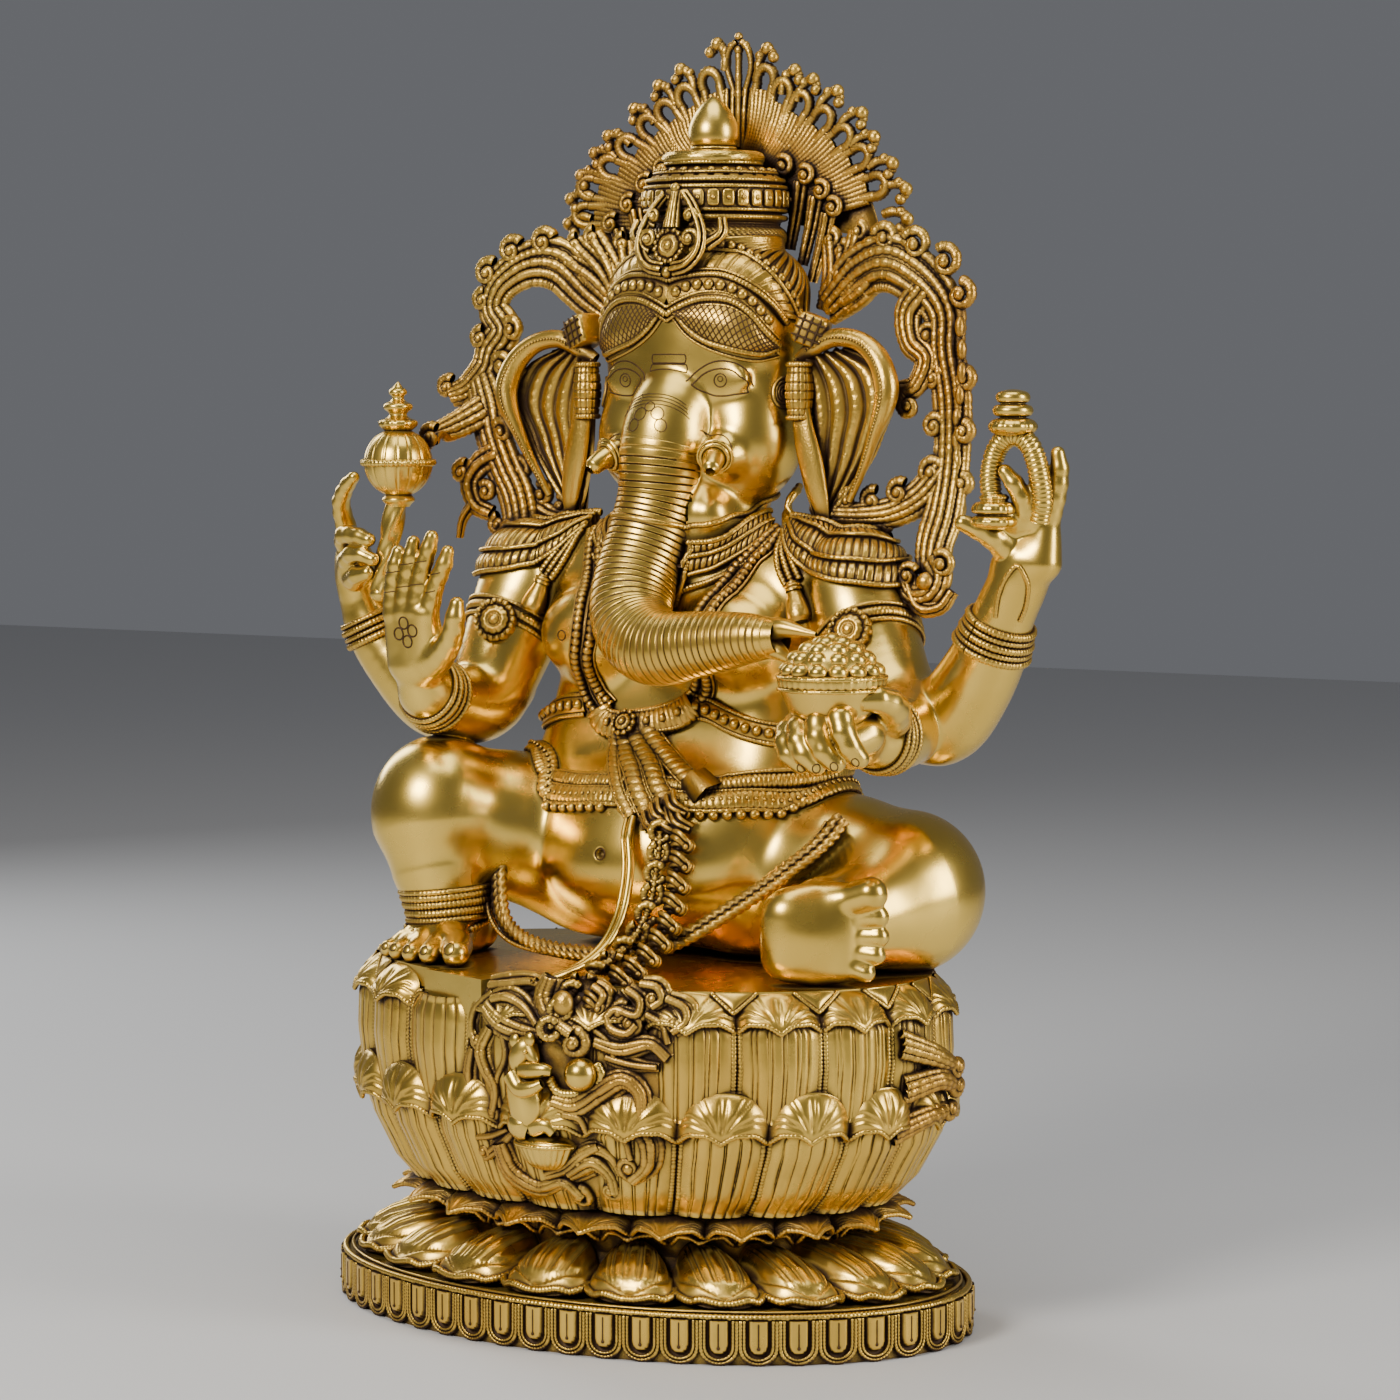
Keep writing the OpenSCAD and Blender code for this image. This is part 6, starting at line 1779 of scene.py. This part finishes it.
# barrel and cube ear ornaments
heap, dark = Heap(), Heap()
for s in (1, -1):
    c = np.array([s * 89, 54, 646.0])
    prof = spline([(0.01, 0, -21), (6, 0, -20), (8, 0, -18), (9.6, 0, -9), (10.4, 0, 0), (9.6, 0, 9),
                   (8, 0, 18), (6, 0, 20), (0.01, 0, 21)], 0.6)[:, [0, 2]]
    lathe(heap, prof, c, 72, lambda angle, height: 1 - 0.08 * (np.cos(12 * angle) > 0.80)
          - 0.08 * (np.cos(2 * PI * height / 6.2) > 0.82))
    for z, rr in ((18.5, 8.0), (-18.5, 8.0)):
        ringed(heap, circle(c + (0, 0, z), rr, 120, 40), 2.0, 2.0, 0.2, 8)
    ax = turn_axes(0, s * 22, s * 20)
    v, f = BALL_FINE
    q = np.sign(v) * np.abs(v) ** 0.35 * 11.5
    heap.add(q @ ax + np.array([s * 95, 60, 688]), f)
    for off in (-6, 0, 6):
        for kind in (0, 1):
            t = np.linspace(-1, 1, 12) * 10.5
            o = np.full_like(t, off)
            height = np.full_like(t, -11.9)
            p = np.stack([t, height, o], 1) if kind == 0 else np.stack([o, height, t], 1)
            tube(dark, p @ ax + np.array([s * 95, 60, 688]), 0.55, 6)
    for k, size in enumerate((10, 7.5, 5, 2.6)):
        a2 = np.linspace(0, 2 * PI, 36)
        p = np.stack([s * (76 + 0.2 * k) + 0 * a2, 56 + size * np.cos(a2), 645 + size * np.sin(a2)], 1)
        ringed(heap, snap(p, 0.8, 3), 1.5, 2.0, 0.2, 8)
piece("ear_barrels", heap, ornate, ("ear_ornaments",))
piece("ear_grid", dark, line_mat)

# mace
heap = Heap()
MC = np.array([-214, -5, 594.0])
prof = spline([(0.01, 0, -25), (9, 0, -23.4), (17, 0, -18.4), (22.6, 0, -10.6), (25, 0, 0), (22.6, 0, 10.6),
               (17, 0, 18.4), (9, 0, 23.4), (7, 0, 25)], 0.6)[:, [0, 2]]
lathe(heap, prof, MC, 160, lambda angle, height: 1
      - 0.05 * (np.abs(np.cos(8 * angle)) < 0.16) * (np.abs(height) < 22))
ringed(heap, circle(MC, 25.2, 200, 80), 2.6, 3.0, 0.3, 9)
prof = outline([(8, 22), (11, 24), (14, 27), (13.5, 30), (9, 32), (6.5, 34), (7, 36), (10.4, 39), (10, 42),
                (6.4, 44), (4.4, 46), (4.8, 48), (6.6, 50), (6, 52.5), (3.4, 54.5), (1.5, 57),
                (0.01, 58.5)])
lathe(heap, prof, MC, 64, lambda angle, height: 1 - 0.06 * (np.cos(16 * angle) > 0.6) * (height < 31))
prof = outline([(7.5, -22), (10, -24), (12, -27), (9.5, -30), (8, -32)])
lathe(heap, prof[::-1], MC, 64)
hp = spline([(-215.5, -5.5, 566), (-221, -7, 534), (-227, -9, 500)], 0.5)
rope(heap, hp, 7.8, 26, 4, 0.10, 24)
blob(heap, (-227.5, -9, 499), 8.2, (1, 1, 0.8), True)
piece("mace_turned", heap, skin, ("mace",))

# noose: arched cord between turned ends
heap = Heap()
arch = [(283, -22, 574), (281, -21, 590), (284, -20, 606), (291, -20, 615), (300, -20, 617.5),
        (309, -20, 612), (314, -20, 602), (316, -18, 590), (316, -14, 576), (312, -10, 562)]
ringed(heap, spline(arch, 0.7), 7.2, 3.0, 0.12, 16)
prof = outline([(8, 0), (14, 2), (16, 5), (14, 8), (11, 9.5), (14.5, 11), (15, 14), (13, 17), (9, 18.5),
                (10, 21), (8, 23)])
lathe(heap, prof, (285, -23, 556), 64, lambda angle, height: 1 - 0.05 * (np.cos(18 * angle) > 0.5))
prof = outline([(7, -2), (13, 0), (16, 3), (16, 6), (13, 9), (8.5, 10.5), (12, 12), (13.5, 15), (12, 18),
                (8, 19.5), (10.5, 21), (11.4, 24), (9.5, 27), (4, 28.6), (0.01, 29)])
lathe(heap, prof, (297, -20, 619), 72,
      lambda angle, height: 1 - 0.04 * (np.cos(20 * angle) > 0.5) * (height < 9))
piece("noose_turned", heap, skin, ("noose",))

# bowl of sweets
heap = Heap()
BC = np.array([205, -97, 426.0])
prof = outline([(0.01, 0), (14, 0), (20, 3), (27, 10), (32, 20), (34.5, 26), (36, 30), (36, 34), (33, 36),
                (26, 36), (0.01, 37)], 0.7)
lathe(heap, prof, BC, 120, lambda angle, height: 1
      - 0.03 * (np.cos(40 * angle) > 0.6) * ((height > 26) & (height < 34)))
for rad, z, r in ((35.2, 26, 1.4), (35.6, 34, 1.6)):
    ringed(heap, circle(BC + (0, 0, z), rad, 260, 90), r, 2.2, 0.2, 8)
piece("bowl_turned", heap, skin, ("sweet_bowl",))
heap = Heap()
for count, rad, z in ((14, 28.5, 38), (11, 23, 45.5), (8, 16, 51.5), (4, 7.8, 55), (1, 0, 57)):
    for k in range(count):
        t = 2 * PI * (k + (0.5 if count % 2 else 0)) / count
        blob(heap, BC + np.array([rad * math.cos(t), rad * math.sin(t), z]), 6.9, (1, 1, 0.86), True)
blob(heap, BC + np.array([0, 0, 35]), 31, (1, 1, 0.76), True)
piece("sweets_heaped", heap, skin, ("sweets",))


# ---------------------------------------------------------------- raised scene on the front of the bowl


def on(x, z, out):
    """A point in front of the bowl at a given place across and up."""
    wide = np.interp(z, [*BOWL[:, 1], 262], [*BOWL[:, 0], 205])
    a = wide + out
    b = wide * RATIO + out
    return np.stack(np.broadcast_arrays(x, -b * np.sqrt(np.clip(1 - (np.asarray(x) / a) ** 2, 0, 1)), z),
                    -1).astype(float)


def strokes(heap, path, wide, ribs=4, r=2.6, out=11.0, lift=4.0, taper=0.5):
    """A combed leaf lying on the bowl, fullest along its middle."""
    p = spline([(q[0], 0, q[1]) for q in path], 1.1)
    t = unit(np.gradient(p, axis=0))
    side = np.stack([t[:, 2], -t[:, 0]], 1)
    u = np.linspace(0, 1, len(p))
    w = wide * (0.55 + 0.45 * np.sin(np.clip(u * 1.25, 0, 1) * PI)) * (1 - taper * u)
    for k in range(ribs):
        f = (k / (ribs - 1) - 0.5) * 2 if ribs > 1 else 0
        q = on(p[:, 0] + side[:, 0] * f * w, p[:, 2] + side[:, 1] * f * w, out + lift * (1 - f * f))
        ringed(heap, q, 1.28 * r * (1 - 0.35 * taper * u), 2.3, 0.16, 8)
    core = on(p[:, 0], p[:, 2], out - 0.5)
    tube(heap, core, np.maximum(w * 1.1, r), 14, up=facing(core), flat=0.55)


def curl(heap, x, z, size, start, hand, turns=1.25, out=13.0, r0=3.0, r1=1.7):
    """A spiral scroll lying on the bowl."""
    size = size * 1.15
    a = np.linspace(0, turns * 2 * PI, int(26 * turns) + 8)
    g = size * (1 - 0.8 * a / a[-1])
    p = on(x + g * np.cos(start + hand * a), z + g * np.sin(start + hand * a),
           out + 3 * np.sin(a / a[-1] * PI / 2))
    p = spline(p, 1.0)
    ringed(heap, p, 1.3 * (r0 + (r1 - r0) * np.linspace(0, 1, len(p))), 2.3, 0.14, 8)
    blob(heap, on(x, z, out + 3.6), size * 0.30 + 1.4)


heap = Heap()
# dished ground behind the figures
gx = np.linspace(-1, 1, 34)[None, :]
gz = np.linspace(-1, 1, 34)[:, None]
qx = gx * np.sqrt(1 - gz ** 2 / 2)
qz = gz * np.sqrt(1 - gx ** 2 / 2)
grid = on(30 + 66 * qx + 4 * qz, 176 + 76 * qz, 5.5 + 3.0 * (1 - qx ** 2 - qz ** 2).clip(0, 1) ** 0.5)
sheet(heap, grid, 3.0)
# leaf canopy with its ridges
strokes(heap, [(-34, 231), (-22, 222), (-4, 217), (14, 216)], 9, 4, 2.8, 11, 4, 0.1)
strokes(heap, [(-28, 236), (-14, 238), (1, 232), (12, 222)], 6, 3, 2.8, 12, 4, 0.2)
strokes(heap, [(-34, 244), (-18, 246), (0, 249), (14, 246)], 6, 3, 2.8, 8, 4, 0.3)
strokes(heap, [(-30, 240), (-44, 228), (-47, 214), (-42, 203)], 5, 3, 2.4, 8, 4, 0.5)
# large scroll hanging from the chain
strokes(heap, [(20, 254), (17, 240), (27, 226), (40, 218)], 8, 4, 3.2, 14, 5, 0.3)
strokes(heap, [(13, 250), (10, 235), (17, 222), (31, 212)], 3, 2, 2.8, 12, 4, 0.3)
curl(heap, 41, 211, 8.5, 1.7, -1, 1.3, 15, 3.6, 2.2)
blob(heap, on(31, 237, 18), 8.5, (1, 0.8, 1.1), True)
# small double curls to the right of it
for path, w in (([(74, 249), (84, 242), (82, 232), (68, 235), (62, 230)], 3.4),
                ([(62, 231), (66, 223), (77, 220), (83, 226)], 3.4),
                ([(83, 253), (94, 251), (98, 243), (92, 238)], 4), ([(50, 250), (58, 244), (55, 236)], 3.4),
                ([(101, 244), (113, 238), (115, 229), (107, 222)], 4.5)):
    strokes(heap, path, w, 3, 2.5, 11, 4, 0.2)
for x, z, size, st, hd in ((70, 233, 6, 1.0, 1), (78, 226, 5.5, -1.5, 1), (92, 243, 6, 0.8, -1),
                           (107, 228, 6, 1.2, -1), (56, 238, 5, 1.2, -1)):
    curl(heap, x, z, size, st, hd, 1.2, 11, 2.7, 1.7)
strokes(heap, [(54, 213), (72, 209), (92, 213), (104, 204)], 7, 4, 2.5, 10, 4, 0.4)
strokes(heap, [(62, 203), (80, 199), (97, 198)], 5, 3, 2.4, 10, 3, 0.5)
strokes(heap, [(52, 222), (64, 213), (68, 202)], 4, 3, 2.3, 10, 3, 0.5)
strokes(heap, [(88, 233), (100, 226), (104, 214)], 4.5, 3, 2.4, 10, 3, 0.5)
# sweeping leaf under the ball
strokes(heap, [(22, 170), (39, 168), (57, 179), (74, 188), (85, 180), (85, 163)], 10, 5, 2.9, 11, 5, 0.45)
curl(heap, 84, 166, 5.5, 1.2, -1, 1.2, 11)
strokes(heap, [(30, 162), (42, 160), (47, 150)], 4, 3, 2.6, 13, 3, 0.5)
# swirl low on the right
strokes(heap, [(58, 158), (76, 160), (87, 147), (85, 130), (72, 118)], 9, 4, 2.9, 11, 5, 0.35)
strokes(heap, [(64, 152), (73, 147), (75, 134)], 4, 3, 2.4, 12, 3, 0.5)
curl(heap, 72, 127, 8.5, 0.4, -1, 1.4, 12, 3.2, 1.9)
# leaves curling along the foot
strokes(heap, [(-27, 136), (-22, 116), (-2, 106), (20, 112), (31, 102)], 10, 5, 2.9, 10, 5, 0.45)
curl(heap, 29, 103, 6.5, 1.4, -1, 1.3, 11)
strokes(heap, [(26, 119), (45, 129), (56, 121), (57, 108)], 8, 5, 2.6, 10, 5, 0.4)
curl(heap, 54, 109, 6, 1.4, -1, 1.3, 11)
strokes(heap, [(8, 117), (25, 124), (39, 134), (53, 141)], 6, 4, 2.6, 11, 4, 0.5)
strokes(heap, [(33, 132), (48, 139), (60, 134), (64, 122)], 5, 4, 2.4, 10, 4, 0.5)
curl(heap, 36, 128, 5.5, 2.4, 1, 1.3, 11)
# leaves up the left side
strokes(heap, [(-29, 216), (-37, 202), (-34, 188), (-26, 173), (-31, 155)], 6, 4, 2.5, 10, 4, 0.4)
strokes(heap, [(-19, 212), (-16, 197), (-25, 180), (-23, 162)], 4, 3, 2.4, 9, 3, 0.4)
strokes(heap, [(-46, 200), (-51, 180), (-45, 160), (-31, 155)], 5, 3, 2.4, 8, 3, 0.4)
strokes(heap, [(-44, 124), (-28, 134), (-16, 144)], 6, 4, 2.4, 9, 3, 0.5)
strokes(heap, [(-47, 138), (-32, 141), (-19, 147)], 5, 3, 2.4, 9, 3, 0.5)
for x, z, size, st, hd in ((-40, 206, 5.5, 2.0, 1), (-30, 158, 6, 2.0, 1), (-46, 166, 5.5, 2.4, 1),
                           (-44, 128, 5.5, 2.4, 1)):
    curl(heap, x, z, size, st, hd, 1.2, 10, 2.7, 1.7)
piece("relief_leaves", heap, aged, ("relief_scrolls",))

# mouse in profile
heap = Heap()


def plump(points):
    """A round, slightly flattened limb on the bowl."""
    p = spline([(*on(q[0], q[1], q[2]), q[3]) for q in points], 0.8)
    tube(heap, p, None, 26, up=facing(p), flat=0.9)


plump([(5, 213, 13, 4.0), (3, 208, 14, 8.2), (0, 202, 14.5, 9.2), (-2, 196, 14.5, 8.6), (-1, 192, 14, 8)])
plump([(6, 205, 16, 6.5), (11, 199, 18, 4.4), (13, 195, 18.5, 2.6)])
plump([(-1, 192, 13, 9), (-1, 183, 14, 12.5), (1, 172, 15, 13.5), (2, 163, 15, 13.5), (1, 156, 14, 12)])
plump([(-2, 160, 16, 10), (-1, 153, 17, 12), (5, 150, 17, 9)])
plump([(3, 190, 19, 6.4), (13, 192, 22, 6.0), (22, 193, 23, 4.6), (27, 192, 22, 3.0)])
plump([(-5, 187, 22, 6.4), (3, 179, 25, 6.0), (13, 180, 26, 5.0), (21, 184, 25, 3.2)])
plump([(8, 152, 19, 7), (18, 154, 20, 5.4), (24, 149, 20, 3.8)])
for x, z in ((-4, 210), (8, 212)):
    blob(heap, on(x, z, 19), 4.2, (1, 0.6, 1.2), True)
blob(heap, on(7, 204, 23), 1.6)
for z in (190, 186.4, 176, 168, 161):
    a = np.linspace(-1.15, 1.15, 22)
    wide = 13.0 if z < 180 else 10.5
    ringed(heap, spline(on(wide * np.sin(a), z - 2.6 * np.cos(a), 14.2 + (wide - 1.2) * np.cos(a) * 0.92),
                        0.9), 1.0, 2.0, 0.2, 7)
piece("mouse_figure", heap, skin, ("mouse",))

# ball with its holder, and the dish
heap = Heap()
blob(heap, on(46, 191, 17), 11.5, (1, 1, 1), True)
p = spline(on(np.array([20, 26, 38, 51, 59, 56.0]), np.array([186, 177, 176.5, 180, 190, 199.0]), 14), 0.9)
ringed(heap, p, 3.4, 2.6, 0.18, 10)
prof = outline([(0.01, -15), (9, -14), (17, -9), (22, -1), (23.5, 3), (22, 6), (16, 9), (8, 11),
                (0.01, 12)])
c = on(11, 136, 10)
lathe(heap, prof, c, 110, lambda angle, height: 1 - 0.06 * (np.cos(26 * angle) > 0.66) * (height < 2),
      squash=(1, 0.72))
a = np.linspace(0, 2 * PI, 70)
oval = np.stack([23.6 * np.cos(a), 17.2 * np.sin(a), a * 0 + 3], 1)
ringed(heap, resample(c + oval, 180), 1.6, 2.2, 0.2, 8)
piece("ball_and_dish", heap, skin, ("mouse_offerings",))

# leaf scroll on the viewer's right flank
heap = Heap()
for (x0, y0, z0), (x1, y1, z1), (x2, y2, z2), w in (((222, -34, 210), (236, -10, 200), (236, 14, 190), 7),
                                                    ((222, -30, 178), (236, -6, 184), (234, 18, 176), 7),
                                                    ((216, -34, 150), (228, -8, 158), (230, 16, 160), 7)):
    p = spline([(x0, y0, z0), (x1, y1, z1), (x2, y2, z2)], 1.0)
    for k in range(4):
        f = (k / 3 - 0.5) * 2
        spread = np.linspace(1, 0.4, len(p))[:, None] * np.array([0, 0, f * w])
        ringed(heap, p + np.array([2.0 * (1 - f * f), 0, 0]) + spread, 3.6, 2.3, 0.16, 8)
    a = np.linspace(0, 2.5 * PI, 50)
    g = 7 * (1 - 0.8 * a / a[-1])
    ringed(heap, spline(np.stack([x2 + 1 + 2 * np.sin(a / a[-1] * 1.5), y2 + g * np.cos(a + 2.6),
                                  z2 + g * np.sin(a + 2.6)], 1), 1.0), 3.6, 2.3, 0.14, 8)
    blob(heap, (x2 + 4, y2, z2), 3.8)
piece("flank_leaves", heap, aged, ("side_relief",))


# ---------------------------------------------------------------- plain nodes, floor and finish

SLOTS = {p["node"]: p.get("material_slot") for p in frame["record"].get("subparts", [])}
LOOK = {"polished_brass": skin, "engraved_brass": ornate, "antique_brass": aged}
for name, o in frame["nodes"].items():
    o.data.materials.clear()
    o.data.materials.append(LOOK.get(SLOTS.get(name), ornate))

floor_mesh = bpy.data.meshes.new("floor")
floor_mesh.from_pydata([(-6, -6, 0), (6, -6, 0), (6, 6, 0), (-6, 6, 0)], [], [(0, 1, 2, 3)])
floor_mat = bpy.data.materials.new("pale_floor")
floor_mat.use_nodes = True
floor_mat.node_tree.nodes["Principled BSDF"].inputs["Base Color"].default_value = (0.62, 0.62, 0.62, 1)
floor_mat.node_tree.nodes["Principled BSDF"].inputs["Roughness"].default_value = 0.6
floor_mesh.materials.append(floor_mat)
floor = bpy.data.objects.new("floor", floor_mesh)
scene.collection.objects.link(floor)
